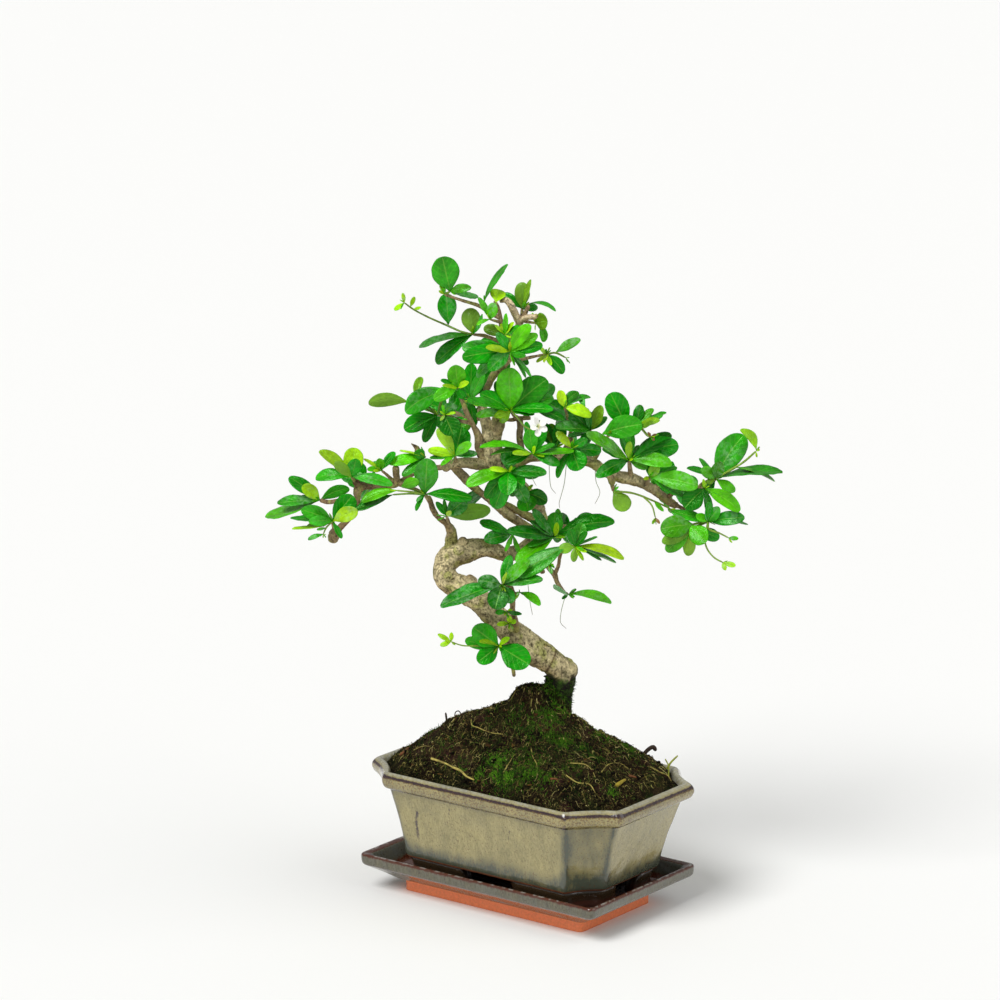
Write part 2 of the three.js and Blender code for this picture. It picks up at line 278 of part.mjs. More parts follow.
    [-7.2, 233.6, 2.8, -6, 1, 0, 1.2], [23.4, 235, 3.2, -2, 1, 1, 0.6], [13.8, 238.4, 3, 1, 1, 3, 0.6],
    [8.6, 232.2, 1.6, -5, 1, 0, 0.3], [3.8, 237.2, 1.8, -6, 1, 0, 0], [-0.6, 250.2, 4, 3, 1, 2, 0]]],
  ['spray_centre', 2, [-9.6, 224.4, -8], [], [
    [-8, 238, 9.4, 2, 1, 2, 0], [-18.8, 225.6, 2.8, -6, 1, 0, 1], [-30.8, 217.2, 7, -5, 1, 1, 2],
    [-10.2, 212.2, 9.4, -9, 1, 2, 0], [-2.2, 216.4, 8, -6, 1, 2, 0], [9.8, 223.8, 6, -3, 1, 2, 0.6],
    [-7.4, 227.4, 1.6, -6, 1, 0, 0], [-21.2, 210.6, 7.4, -1, 1, 2, 0.6]]],
  ['spray_centre_low', 2, [-1.2, 213.4, -1], [], [
    [10, 208.6, 8, -2, 1, 2, 1], [0.4, 203.6, 9.4, -6, 1, 3, 0], [-5, 216.8, 1.6, -4, 1, 0, 0.2],
    [2.8, 217.4, 1.8, -5, 1, 0, 0.2]]],
  ['spray_low_right', 2, [13.6, 190.6, 1], [], [
    [15.4, 198, 3.2, -6, 1, 0, 0], [-10.4, 193.4, 6.4, -9, 1, 2, 0.8], [1, 198.8, 3.4, -7, 1, 3, 0.6],
    [2.6, 204.6, 4.8, -3, 1, 2, 0], [14, 203.4, 8.2, 3, 1, 3, 0], [44, 198.2, 8, -4, 1, 2, 3.6],
    [20.2, 191.6, 1.8, -4, 1, 1, 0.3], [-5.6, 177.4, 7, -12, 1, 1, 0.6], [0.2, 185.6, 4, -7, 1, 3, 0.8]]],
  ['spray_low_centre', 2, [-7.6, 192.2, 1.4], [], [
    [-24.4, 198.4, 3.4, -5, 1, 2, 0.4], [-20, 196.4, 2.6, -2, 1, 2, 0.4], [-21.8, 189, 7.4, -9, 1, 2, 0],
    [-4.4, 181.6, 2.2, -3, 1, 1, 0], [-10.6, 183.4, 2, -8, 1, 1, 0]]],
  ['spray_low_right_front', 0, [24.2, 185.4, -13.6], [], [
    [21.2, 195, 4.8, -3, 1, 2, 0], [27.8, 197.6, 6.8, 2, 1, 3, 0], [30.4, 193, 3.2, -3, 1, 2, 0],
    [49, 179, 5, -2, 1, 0, 3.2], [44.8, 177, 1.6, 2, 1, 3, 0.8], [37.2, 178.4, 1.8, -3, 1, 3, 0.5],
    [15.8, 183.6, 5.2, 3, 2, 4, 0.4], [23.4, 177.4, 4, -2, 2, 4, 0], [28.4, 178, 2.2, -4, 1, 0, 0],
    [30, 182.4, 2, -4, 1, 0, 0], [35.6, 190.6, 1.4, 3, 1, 3, 0.3]]],
  ['spray_low_left', 2, [-13, 165.4, -17], [], [
    [1.6, 178.8, 6.4, -3, 1, 1, 0.4], [-24.8, 167.8, 6.4, -2, 1, 2, 0.5], [-44.2, 154, 7, -2, 1, 2, 2.8],
    [-16.4, 152.6, 10.2, -6, 1, 2, 0], [-7.4, 156, 7, -4, 1, 2, 0], [8.2, 168.2, 5, -3, 1, 3, 1],
    [-8.4, 181, 5.4, 4, 1, 2, 0], [-10.4, 171.4, 1.8, -6, 1, 0, 0]]],
  ['spray_low_right_blade', 1, [-3.8, 161.6, -14], [], [[6.8, 154.8, 4.2, -2, 1, 1, 1.6]]],
  ['spray_low_left_bit', 3, [-10.6, 151.4, -13.4], [], [[-16, 150.8, 2.4, -3, 1, 3, 0.2], [-3, 150, 2.4, -4, 1, 2, 0]]],
  ['spray_lowest', 2, [-14.4, 133.4, -15.4], [[0.45, [-14.4, 133.4, -15.4], [-25, 133.4, -17], [-33, 133.6, -17],
    [-38.6, 135.6, -17]]], [
    [-28.4, 143.6, 12.6, -1, 1, 4, 0], [-24.8, 135.4, 3, -5, 1, 0, 1], [-25.2, 124.8, 8.4, -4, 1, 2, 0],
    [0, 121.8, 12, -4, 1, 2, 0], [-8.8, 137.8, 2.8, -4, 1, 0, 0.6], [-38.4, 140.6, 2.2, 0, 1, 0, 0, -38.6, 135.6],
    [-45.4, 139.6, 2.4, 1, 1, 0, 0, -38.6, 135.6], [-44.2, 133.6, 2.4, -1, 1, 0, 0, -38.6, 135.6]]],
  ['spray_trunk_sprout', 0, [-9, 145.4, -14.6], [], [
    [-9, 149.2, 3, -2, 1, 0, 0], [-5.6, 146.6, 2.4, -2, 1, 0, 0], [-15.4, 144.6, 2.4, 0, 1, 0, 0.2]]],
  ['spray_low_twig', 1, [20.8, 160.4, -3], [], [
    [42.8, 155.8, 4.8, -2, 1, 1, 3], [11.6, 164.8, 2.6, -6, 1, 3, 0], [17.4, 158, 1.8, -3, 1, 2, 0]]],
  ['spray_twig_leaf', 1, [10.8, 176.4, -5], [], [
    [6.6, 179.8, 2, -3, 1, 1, 0], [12.4, 171.2, 2.2, -4, 1, 1, 0], [4.4, 173.4, 2.6, 3, 1, 2, 0]]],
  ['spray_right_under', 2, [22.4, 236.4, -6.4], [], [
    [26, 225.2, 10.6, -6, 1, 2, 0], [15, 221, 3.8, -3, 1, 2, 1.4], [14.4, 245, 4.2, -6, 1, 0, 0],
    [30.2, 241.2, 4, -4, 1, 2, 0.4]]],
  ['spray_behind_flower', 4, [14, 236.8, 4], [], [[11.4, 249.2, 6.6, 3, 1, 4, 0], [17, 249.8, 6.6, 2, 1, 2, 0]]],
  ['spray_back_top', 2, [-12, 287, 12], [], [
    [-24, 290, 8, 6, 1, 2, 0.6], [1, 292, 8, 8, 1, 2, 0.6], [-10, 300, 7, 8, 1, 2, 0], [-18, 280, 7, 10, 1, 2, 0.4],
    [-3, 284.6, 5, 12, 1, 2, 0.4], [-12, 287.6, 8, 20, 1, 2, 0]]],
  ['spray_back_left', 2, [-40, 256, 17], [], [
    [-55, 260, 7, 4, 1, 2, 0.8], [-30, 268, 8, 6, 1, 2, 0], [-44, 246.6, 7, 4, 1, 2, 0], [-36, 250, 8, 16, 1, 2, 0],
    [-46, 262, 7, 12, 1, 2, 0.4], [-33, 258.6, 6, 15, 1, 2, 0]]],
  ['spray_back_right', 2, [22, 252, 20], [], [
    [10, 260, 8, 5, 1, 2, 0.4], [34, 251, 8, 4, 1, 2, 0.4], [20, 246, 7, 10, 1, 2, 0], [27, 258.6, 6, 9, 1, 2, 0],
    [14, 252, 7, 14, 1, 2, 0], [23, 252.6, 7, 19, 1, 2, 0]]],
  ['spray_back_centre', 2, [-4, 222, 22], [], [
    [-16, 219, 7, 8, 1, 2, 0.4], [6, 224, 6, 8, 1, 2, 0.4], [-9, 234, 6, 7, 1, 2, 0], [-2, 210, 8, 6, 1, 2, 0],
    [-8, 224, 8, 18, 1, 2, 0]]],
  ['spray_back_low', 2, [22, 196, 24], [], [
    [10, 196, 6, 6, 1, 2, 0.4], [34, 201, 7, 6, 1, 2, 0.6], [23, 190.6, 6, 10, 1, 2, 0], [15, 202, 6, 9, 1, 2, 0],
    [26, 197, 7, 18, 1, 2, 0]]],
  ['spray_back_far_right', 2, [76, 219, 18], [], [
    [64, 227, 7, 4, 1, 2, 0.4], [86, 219, 6, 5, 1, 2, 0.4], [80, 208, 7, 4, 1, 2, 0], [72, 223.6, 6, 14, 1, 2, 0],
    [76, 215, 8, 16, 1, 2, 0]]],
  ['spray_back_far_left', 2, [-82, 219, 14], [], [
    [-94, 222.6, 6, 6, 1, 2, 0.6], [-70, 219, 6, 6, 1, 2, 0.4], [-86, 229, 7, 5, 1, 2, 0], [-86, 209.6, 7, 8, 1, 2, 0],
    [-80, 219.6, 7, 17, 1, 2, 0]]],
];

// Twigs that carry the hearts: the spray's name, the radius at the foot and at the end, then points u, w, v
const TWIGS = [
  ['spray_top_left_tip', 1.2, 0.9, [-13.6, 303, 3], [-19, 306, 3], [-24.4, 309.4, 2], [-33, 312.2, 1]],
  ['spray_top_left', 1.2, 0.9, [-8.4, 288, 1], [-15, 291.6, 3], [-21, 294, 3]],
  ['spray_top_long', 0.9, 0.7, [-13.6, 301, 3]],
  ['spray_top_stub', 1.2, 1, [-2.8, 303, 1.4]],
  ['spray_top_oval', 1, 0.8, [-2, 301.6, 1]],
  ['spray_top_front', 1.4, 1.1, [-9.2, 285.4, 0]],
  ['spray_top_core', 0.9, 0.8, [-11.6, 293.4, 3]],
  ['spray_top_right', 1.1, 0.8, [-8.6, 283.6, 0], [-3, 282.4, -1], [2.6, 283.4, -2]],
  ['spray_fan', 1.2, 1, [-4.6, 251.8, 0], [-6.8, 253.4, -2]],
  ['spray_fan_right', 1, 0.8, [-2, 252, 0.4]],
  ['spray_fan_left', 1.1, 0.8, [-22.6, 257.6, 3.6]],
  ['spray_shoot_tip', 0.9, 0.8, [-34, 264, -5]],
  ['spray_left_high', 1.1, 0.9, [-27.8, 249.4, -4], [-34, 250.6, 1], [-40, 252.4, 2]],
  ['spray_left_round', 0.9, 0.8, [-34, 250.6, 1], [-38.4, 252.8, -4]],
  ['spray_left_stub', 1.1, 0.9, [-36, 229.4, -3]],
  ['spray_mid_left', 0.9, 0.8, [-49.2, 210, -4.6]],
  ['spray_mid_round', 0.9, 0.8, [-56, 229, 3.6], [-54, 231, 2]],
  ['spray_elbow', 1, 0.9, [-39.2, 196.4, 1]],
  ['spray_far_left_high', 1, 0.9, [-86.6, 218.8, -4.6]],
  ['spray_left_up', 1, 0.8, [-67, 219, -1.4], [-70.4, 222.4, -3]],
  ['spray_far_left', 1.2, 1.4, [-85.8, 210, -4], [-94, 209.6, 0], [-100.6, 208.6, 4]],
  ['spray_far_left_low', 1.4, 1.1, [-97, 192.6, -4.4], [-97.6, 195.6, -6]],
  ['spray_crown_right', 0.9, 0.8, [19, 231.8, -3], [22, 240, 3], [20.6, 250, 1.6]],
  ['spray_dark_right', 0.8, 0.8, [32.6, 242.8, 0.8]],
  ['spray_right_big', 0.9, 0.9, [35.6, 237.4, -0.6], [38.6, 240.6, -3]],
  ['spray_right_rosette', 1.4, 1.1, [52, 221.6, -1], [51.6, 226, -3]],
  ['spray_right_olive', 1.2, 1, [60, 217.4, 0.6]],
  ['spray_right_mid', 0.8, 0.8, [86.4, 215.8, -3.8]],
  ['spray_right_tip', 0.8, 1.8, [86, 216.2, -3.6], [89, 218.4, 0]],
  ['spray_right_low', 0.8, 0.8, [87.4, 200.4, -4.6]],
  ['spray_hanging', 1.1, 1, [42.6, 218.4, -4]],
  ['spray_centre_right', 1.1, 0.9, [1.8, 231.6, -2.4]],
  ['spray_centre', 1.3, 1, [-11, 223.4, 1]],
  ['spray_centre_low', 1, 0.8, [0.6, 212.4, 7]],
  ['spray_low_right', 1.1, 0.9, [6.4, 195, 11], [10.4, 192.4, 6]],
  ['spray_low_centre', 1, 0.8, [-1, 196.6, 8], [-5, 194.4, 5]],
  ['spray_low_right_front', 0.85, 0.8, [20.4, 185.8, -11.6]],
  ['spray_low_left', 1.1, 0.9, [-8.2, 164, -13.8]],
  ['spray_low_right_blade', 0.8, 0.7, [-7.2, 160.6, -13]],
  ['spray_low_left_bit', 0.8, 0.7, [-7.4, 152, -12]],
  ['spray_lowest', 0.9, 0.9, [-12.4, 134.2, -12]],
  ['spray_trunk_sprout', 1, 0.8, [-8, 143, -8]],
  ['spray_low_twig', 0.9, 0.8, [19, 161.4, -3]],
  ['spray_twig_leaf', 0.8, 0.7, [10.4, 175, -1.6]],
  ['spray_right_under', 1.1, 0.9, [22, 231.6, -3]],
  ['spray_behind_flower', 1, 0.8, [12, 232, -2], [13.4, 234, 2]],
  ['spray_back_top', 1.6, 1.2, [-9.6, 284.6, 1], [-11, 286, 6]],
  ['spray_back_left', 1.4, 1.1, [-22, 252, 2], [-30, 252, 10], [-36, 254.6, 15]],
  ['spray_back_right', 1.4, 1.1, [13, 232, -2], [20, 238, 10], [22, 247, 17]],
  ['spray_back_centre', 1.4, 1.1, [-6, 218, 5], [-4.6, 219, 14]],
  ['spray_back_low', 1.4, 1.1, [7, 199, 11], [13, 197, 17], [18, 196, 22]],
  ['spray_back_far_right', 1.4, 1.1, [60, 217, 1], [66, 217, 10], [72, 218, 16]],
  ['spray_back_far_left', 1.4, 1.1, [-77, 216.4, -3], [-79, 217, 6], [-81, 218, 11]],
];

// The white flower: middle u, w, v, its stalk's foot, and the tips of its five petals
const FLOWER = [5.6, 247.6, -15];
const PETALS = [[9.6, 251.6], [3.4, 252.4], [1.4, 246.6], [5.2, 242.4], [9.8, 245.4]];

const standing = [];
const report = [];

let seed = 20417;
function random() {
  seed = (Math.imul(seed, 1664525) + 1013904223) >>> 0;
  return seed / 4294967296;
}

// The tree is deeper towards its crown than the named depths, which are those of its foot
function deepen(w, v) {
  const t = THREE.MathUtils.smoothstep(w, DEPTH_FROM, DEPTH_TO);
  return v * (1 + (DEPTH_GAIN - 1) * t);
}

// A point seen at u, w on the middle plane, moved along its line of sight to the depth v
function place(u, w, v) {
  const k = (v - EYE.v) / -EYE.v;
  const across = EYE.u + (u - EYE.u) * k;
  const height = EYE.w + (w - EYE.w) * k;
  return new THREE.Vector3(across * Math.cos(LOOK_TURN) - v * Math.sin(LOOK_TURN),
    across * Math.sin(LOOK_TURN) + v * Math.cos(LOOK_TURN), height);
}

const EYE_POINT = new THREE.Vector3(EYE.u * Math.cos(LOOK_TURN) - EYE.v * Math.sin(LOOK_TURN),
  EYE.u * Math.sin(LOOK_TURN) + EYE.v * Math.cos(LOOK_TURN), EYE.w);

function solid(geometry) {
  const plain = geometry.clone();
  for (const name of Object.keys(plain.attributes)) {
    if (name !== 'position') plain.deleteAttribute(name);
  }
  const merged = mergeVertices(plain, 1e-5);
  const mesh = new wasm.Mesh({
    numProp: 3,
    vertProperties: new Float32Array(merged.attributes.position.array),
    triVerts: new Uint32Array(merged.index.array),
  });
  return new wasm.Manifold(mesh);
}

function fromPoints(points, triangles) {
  const geometry = new THREE.BufferGeometry();
  geometry.setAttribute('position', new THREE.Float32BufferAttribute(points.flatMap((p) => [p.x, p.y, p.z]), 3));
  geometry.setIndex(triangles.flat());
  return geometry;
}

function join(solids) {
  return solids.length === 1 ? solids[0] : wasm.Manifold.union(solids);
}

// The largest whole body of a joined solid, with any sealed hollow in it filled
function wholeBody(joined) {
  const shells = joined.decompose().filter((shell) => shell.volume() > 0);
  shells.sort((a, b) => b.volume() - a.volume());
  return shells[0];
}

function meshOf(name, body, material) {
  const data = body.getMesh();
  const geometry = new THREE.BufferGeometry();
  geometry.setAttribute('position', new THREE.Float32BufferAttribute(data.vertProperties, 3));
  geometry.setIndex(Array.from(data.triVerts));
  const mesh = new THREE.Mesh(geometry, material);
  mesh.name = name;
  return mesh;
}

// A closed body through a stack of rings with the same number of points, capped at both ends
function loft(rings) {
  const count = rings[0].length;
  const points = rings.flat();
  const triangles = [];
  for (let j = 0; j < rings.length - 1; j += 1) {
    for (let i = 0; i < count; i += 1) {
      const a = j * count + i;
      const b = j * count + (i + 1) % count;
      triangles.push([a, b, b + count], [a, b + count, a + count]);
    }
  }
  const ends = [rings[0], rings[rings.length - 1]].map((ring) => {
    const middle = new THREE.Vector3();
    ring.forEach((p) => middle.add(p));
    return middle.divideScalar(count);
  });
  const low = points.push(ends[0]) - 1;
  const high = points.push(ends[1]) - 1;
  const last = (rings.length - 1) * count;
  for (let i = 0; i < count; i += 1) {
    triangles.push([low, (i + 1) % count, i], [high, last + i, last + (i + 1) % count]);
  }
  return solid(fromPoints(points, triangles));
}

// A rectangle with rounded corners at one height
function roundedRing(halfX, halfY, z, corner) {
  const ring = [];
  [[1, 1], [-1, 1], [-1, -1], [1, -1]].forEach(([sx, sy], k) => {
    for (let i = 0; i <= 3; i += 1) {
      const a = (k + i / 3) * Math.PI / 2;
      ring.push(new THREE.Vector3(sx * (halfX - corner) + corner * Math.cos(a),
        sy * (halfY - corner) + corner * Math.sin(a), z));
    }
  });
  return ring;
}

// The pot's outline at one height: a rectangle whose cut corners dip inwards
function potRing(inset, z, insetY = inset * 0.65) {
  const halfX = RIM_HALF_X - inset;
  const halfY = RIM_HALF_Y - insetY;
  const chamferX = RIM_CHAMFER_X - inset * 0.55;
  const chamferY = RIM_CHAMFER_Y - inset * 0.15;
  const ring = [];
  [[1, 1], [-1, 1], [-1, -1], [1, -1]].forEach(([sx, sy], k) => {
    for (let i = 0; i <= 2; i += 1) {
      const t = k % 2 === 0 ? i / 2 : 1 - i / 2;
      const dip = CHAMFER_DIP * 4 * t * (1 - t);
      ring.push(new THREE.Vector3(POT_CENTRE[0] + sx * (halfX - chamferX * t - dip * 0.65),
        POT_CENTRE[1] + sy * (halfY - chamferY * (1 - t) - dip * 0.75), z));
    }
  });
  return ring;
}

function box(x0, x1, y0, y1, z0, z1) {
  const geometry = new THREE.BoxGeometry(x1 - x0, y1 - y0, z1 - z0);
  geometry.translate((x0 + x1) / 2, (y0 + y1) / 2, (z0 + z1) / 2);
  return solid(geometry);
}

function makeSaucer() {
  return loft(SAUCER_RINGS.map(([x, y, z]) => roundedRing(x, y, z, SAUCER_CORNER)));
}

// The tunnel between two feet, with its top corners cut off
function footArch(halfWidth, length, turn) {
  const shape = new THREE.Shape([
    new THREE.Vector2(-halfWidth, FOOT_UNDERSIDE - 2), new THREE.Vector2(halfWidth, FOOT_UNDERSIDE - 2),
    new THREE.Vector2(halfWidth, FOOT_ARCH_TOP - 3), new THREE.Vector2(halfWidth - 4, FOOT_ARCH_TOP),
    new THREE.Vector2(4 - halfWidth, FOOT_ARCH_TOP), new THREE.Vector2(-halfWidth, FOOT_ARCH_TOP - 3),
  ]);
  const geometry = new THREE.ExtrudeGeometry(shape, { depth: length, bevelEnabled: false });
  geometry.translate(0, 0, -length / 2);
  geometry.rotateX(Math.PI / 2);
  geometry.rotateZ(turn);
  geometry.translate(POT_CENTRE[0], POT_CENTRE[1], 0);
  return solid(geometry);
}

function makePot() {
  const body = loft(POT_RINGS.map(([inset, z]) => potRing(inset, z)));
  const skirt = loft([potRing(FOOT_LOW_INSET[0], FOOT_UNDERSIDE, FOOT_LOW_INSET[1]), potRing(FOOT_TOP_INSET, FOOT_TOP)]);
  const innerX = RIM_HALF_X - FOOT_LOW_INSET[0] - FOOT_WALL;
  const innerY = RIM_HALF_Y - FOOT_LOW_INSET[1] - FOOT_WALL;
  const feet = skirt
    .subtract(box(POT_CENTRE[0] - innerX, POT_CENTRE[0] + innerX, POT_CENTRE[1] - innerY, POT_CENTRE[1] + innerY,
      FOOT_UNDERSIDE - 2, FOOT_ARCH_TOP + 1.2))
    .subtract(footArch(FOOT_ARCH_LONG, 120, 0))
    .subtract(footArch(FOOT_ARCH_SHORT, 180, Math.PI / 2));
  let pot = body.add(feet);
  for (const x of [-DRAIN_X, DRAIN_X]) {
    const drain = new THREE.CylinderGeometry(DRAIN_RADIUS, DRAIN_RADIUS, 20, 12);
    drain.rotateX(Math.PI / 2);
    drain.translate(POT_CENTRE[0] + x, POT_CENTRE[1], 24);
    pot = pot.subtract(solid(drain));
  }
  return pot;
}

// How much higher the mound is on its left shoulder
function lump(x, y) {
  const far = Math.hypot(x - SOIL_LUMP.x, y - SOIL_LUMP.y) / SOIL_LUMP.reach;
  return SOIL_LUMP.height * Math.exp(-far * far);
}

function soilHeight(share) {
  for (let i = 1; i < SOIL_PROFILE.length; i += 1) {
    const [s0, h0] = SOIL_PROFILE[i - 1];
    const [s1, h1] = SOIL_PROFILE[i];
    if (share <= s1) return h0 + (h1 - h0) * (share - s0) / (s1 - s0);
  }
  return SOIL_PROFILE[SOIL_PROFILE.length - 1][1];
}

// A ring of the soil, along the pot's inner outline at that height
function soilOutline(inset, z) {
  const ring = potRing(inset, z);
  return ring.flatMap((p, i) => {
    const next = ring[(i + 1) % ring.length];
    return Array.from({ length: SOIL_PIECES[i] }, (_, k) => p.clone().lerp(next, k / SOIL_PIECES[i]));
  });
}

function makeSoil() {
  const rings = SOIL_SIDE.map(([inset, z]) => soilOutline(inset + SOIL_GAP, z));
  const edge = rings[rings.length - 1];
  const shares = SOIL_PROFILE.map(([share]) => share).reverse();
  for (const share of shares.slice(1, -1)) {
    rings.push(edge.map((p) => {
      const x = SOIL_CROWN[0] * (1 - share) + p.x * share;
      const y = SOIL_CROWN[1] * (1 - share) + p.y * share;
      const rough = (share > 0.9 ? 0.5 : 1.6) * SOIL_RELIEF;
      return new THREE.Vector3(x + (random() - 0.5) * SOIL_RELIEF, y + (random() - 0.5) * SOIL_RELIEF,
        soilHeight(share) + lump(x, y) * (1 - share ** 6) + (random() - 0.5) * rough);
    }));
  }
  return loft(rings);
}

// Directions across a line at each of its points, carried along it without twist
function carryFrames(curve, steps) {
  const tangents = Array.from({ length: steps + 1 }, (_, j) => curve.getTangent(j / steps));
  const start = Math.abs(tangents[0].z) < 0.9 ? new THREE.Vector3(0, 0, 1) : new THREE.Vector3(1, 0, 0);
  const normals = [start.cross(tangents[0]).normalize()];
  for (let j = 1; j <= steps; j += 1) {
    const turn = new THREE.Quaternion().setFromUnitVectors(tangents[j - 1], tangents[j]);
    normals.push(normals[j - 1].clone().applyQuaternion(turn));
  }
  return normals.map((normal, j) => [normal, tangents[j].clone().cross(normal)]);
}

// A tapering limb bent along a smooth line through its points, with its bark's bumps
function limb(nodes, sides, rough, extra = 0) {
  const steps = nodes.length - 1;
  const points = nodes.map(([u, w, v]) => place(u, w, deepen(w, v)));
  const curve = new THREE.CatmullRomCurve3(points, false, 'centripetal');
  const frames = carryFrames(curve, steps);
  const bumps = Array.from({ length: nodes.length * sides }, () => 1 + (random() - 0.5) * 2 * rough);
  const geometry = new THREE.CylinderGeometry(1, 1, 1, sides, steps);
  const position = geometry.attributes.position;
  for (let i = 0; i < position.count; i += 1) {
    const x = position.getX(i);
    const z = position.getZ(i);
    const j = Math.round((0.5 - position.getY(i)) * steps);
    const k = (Math.round(Math.atan2(x, z) / (2 * Math.PI) * sides) + sides) % sides;
    const reach = Math.hypot(x, z) < 0.01 ? 0 : (nodes[j][3] + extra) * bumps[j * sides + k];
    const a = k / sides * 2 * Math.PI;
    const at = points[j].clone()
      .addScaledVector(frames[j][0], reach * Math.cos(a))
      .addScaledVector(frames[j][1], reach * Math.sin(a));
    position.setXYZ(i, at.x, at.y, at.z);
  }
  const body = solid(geometry);
  return body.volume() < 0 ? flipped(geometry) : body;
}

function flipped(geometry) {
  const index = geometry.index.array;
  for (let i = 0; i < index.length; i += 3) {
    [index[i], index[i + 1]] = [index[i + 1], index[i]];
  }
  return solid(geometry);
}

const hearts = new Map(SPRAYS.map(([name, , [u, w, v]]) => [name, place(u, w, deepen(w, v))]));

// A twig that stops just short of the heart it carries
function twig([name, foot, end, ...nodes]) {
  const heart = SPRAYS.find((spray) => spray[0] === name)[2];
  const last = nodes[nodes.length - 1];
  const span = place(last[0], last[1], deepen(last[1], last[2])).distanceTo(hearts.get(name));
  const gap = (HEART + CLEAR) / span;
  const stop = last.map((value, i) => heart[i] + (value - heart[i]) * gap);
  const line = [...nodes, stop];
  return limb(line.map((p, i) => [...p, foot + (end - foot) * i / (line.length - 1)]), foot < 1.15 ? 3 : 4, 0);
}

function makeWood() {
  const parts = LIMBS.map(([sides, nodes]) => limb(nodes, sides, BARK_BUMPS));
  const joined = join([...parts, ...TWIGS.map(twig)]);
  const whole = wholeBody(joined);
  if (joined.volume() - whole.volume() > 0.2) report.push(`wood drops ${(joined.volume() - whole.volume()).toFixed(2)}`);
  return whole;
}

// The plain hole that the trunk stands in
function trunkHole() {
  const [sides, nodes] = LIMBS[0];
  return limb([[15, 76, 0, 8.6], ...nodes.slice(0, 4)], sides, 0, 0.9);
}

// The cross-sections of a blade, turned about its rib until it shows the given width, and its two ends
function bladeRings(foot, tip, [, , width, , face, , rise], turn, extra, wave) {
  const along = tip.clone().sub(foot);
  const length = along.length();
  const look = EYE_POINT.clone().sub(foot);
  const side0 = along.clone().cross(look).normalize();
  const front = side0.clone().cross(along).normalize();
  const broad = Math.max(width, NATURAL_WIDTH * length);
  const hand = along.x * Math.cos(LOOK_TURN) + along.y * Math.sin(LOOK_TURN) >= 0 ? 1 : -1;
  const roll = hand * (face === 2 ? Math.PI - Math.acos(width / broad) : Math.acos(width / broad)) + turn;
  const side = side0.clone().multiplyScalar(Math.cos(roll)).addScaledVector(front, Math.sin(roll));
  const up = front.clone().multiplyScalar(Math.cos(roll)).addScaledVector(side0, -Math.sin(roll));
  const rows = length > LONG ? LONG_ROWS : SHORT_ROWS;
  const cross = length > FOLDED ? [-1, 0, 1] : [-1, 1];
  const half = broad / 2 + extra;
  const thick = BLADE / 2 + extra;
  const spine = (t, across, lift) => foot.clone()
    .addScaledVector(along, t)
    .addScaledVector(side0, -hand * rise * 4 * t * (1 - t))
    .addScaledVector(up, ARCH * length * 4 * t * (1 - t) + lift)
    .addScaledVector(side, across);
  const rings = rows.map(([t, share], j) => {
    const sheet = (facing, order) => order.map((k) => {
      const ripple = wave[j * 2 + (k > 0 ? 1 : 0)] * WAVE;
      return spine(t, k * half * share, facing * thick + Math.abs(k) * half * share * (FOLD + ripple));
    });
    return [...sheet(1, cross), ...sheet(-1, [...cross].reverse())];
  });
  const outward = new THREE.Vector3();
  rings[0].forEach((p, i) => outward.add(p.clone().sub(foot).cross(rings[0][(i + 1) % rings[0].length].clone().sub(foot))));
  if (outward.dot(along) < 0) rings.forEach((ring) => ring.reverse());
  return { rings, root: spine(-SINK / length, 0, 0), end: spine(1 + extra / length, 0, 0) };
}

// Triangles that join a ring to the next one, split alike on the blade's two faces
function stitch(rings, triangles) {
  for (let j = 0; j < rings.length - 1; j += 1) {
    const [low, high] = [rings[j], rings[j + 1]];
    const count = low.length;
    for (let i = 0; i < count; i += 1) {
      const n = (i + 1) % count;
      if (i >= count / 2) triangles.push([low[i], low[n], high[i]], [low[n], high[n], high[i]]);
      else triangles.push([low[i], low[n], high[n]], [low[i], high[n], high[i]]);
    }
  }
}

function fan(ring, point, triangles) {
  ring.forEach((p, i) => triangles.push([p, ring[(i + 1) % ring.length], point]));
}

// Whether the line from p to q runs through a triangle, not counting what only touches it
function pierces(p, q, [a, b, c]) {
  const along = q.clone().sub(p);
  const [one, two, from] = [b.clone().sub(a), c.clone().sub(a), p.clone().sub(a)];
  const across = along.clone().cross(two);
  const size = one.dot(across);
  if (Math.abs(size) < 1e-12) return false;
  const turned = from.clone().cross(one);
  const [s, t, far] = [from.dot(across) / size, along.dot(turned) / size, two.dot(turned) / size];
  return s > TOUCH && t > TOUCH && s + t < 1 - TOUCH && far > TOUCH && far < 1 - TOUCH;
}

function cross(one, two) {
  const apart = ['x', 'y', 'z'].some((k) => Math.min(one[0][k], one[1][k], one[2][k]) > Math.max(two[0][k], two[1][k], two[2][k])
    || Math.min(two[0][k], two[1][k], two[2][k]) > Math.max(one[0][k], one[1][k], one[2][k]));
  if (apart) return false;
  return [0, 1, 2].some((k) => pierces(one[k], one[(k + 1) % 3], two) || pierces(two[k], two[(k + 1) % 3], one));
}

function anyCross(some, others) {
  return some.some((one) => others.some((two) => one !== two && cross(one, two)));
}

function areaOf(triangles) {
  return triangles.reduce((sum, [a, b, c]) => sum + b.clone().sub(a).cross(c.clone().sub(a)).length(), 0);
}

// Every order in which three steps round the facet fall among the steps round the ring
function orders(steps) {
  const found = [];
  for (let i = 0; i < steps; i += 1) {
    for (let j = i + 1; j < steps; j += 1) {
      for (let k = j + 1; k < steps; k += 1) found.push([i, j, k]);
    }
  }
  return found;
}

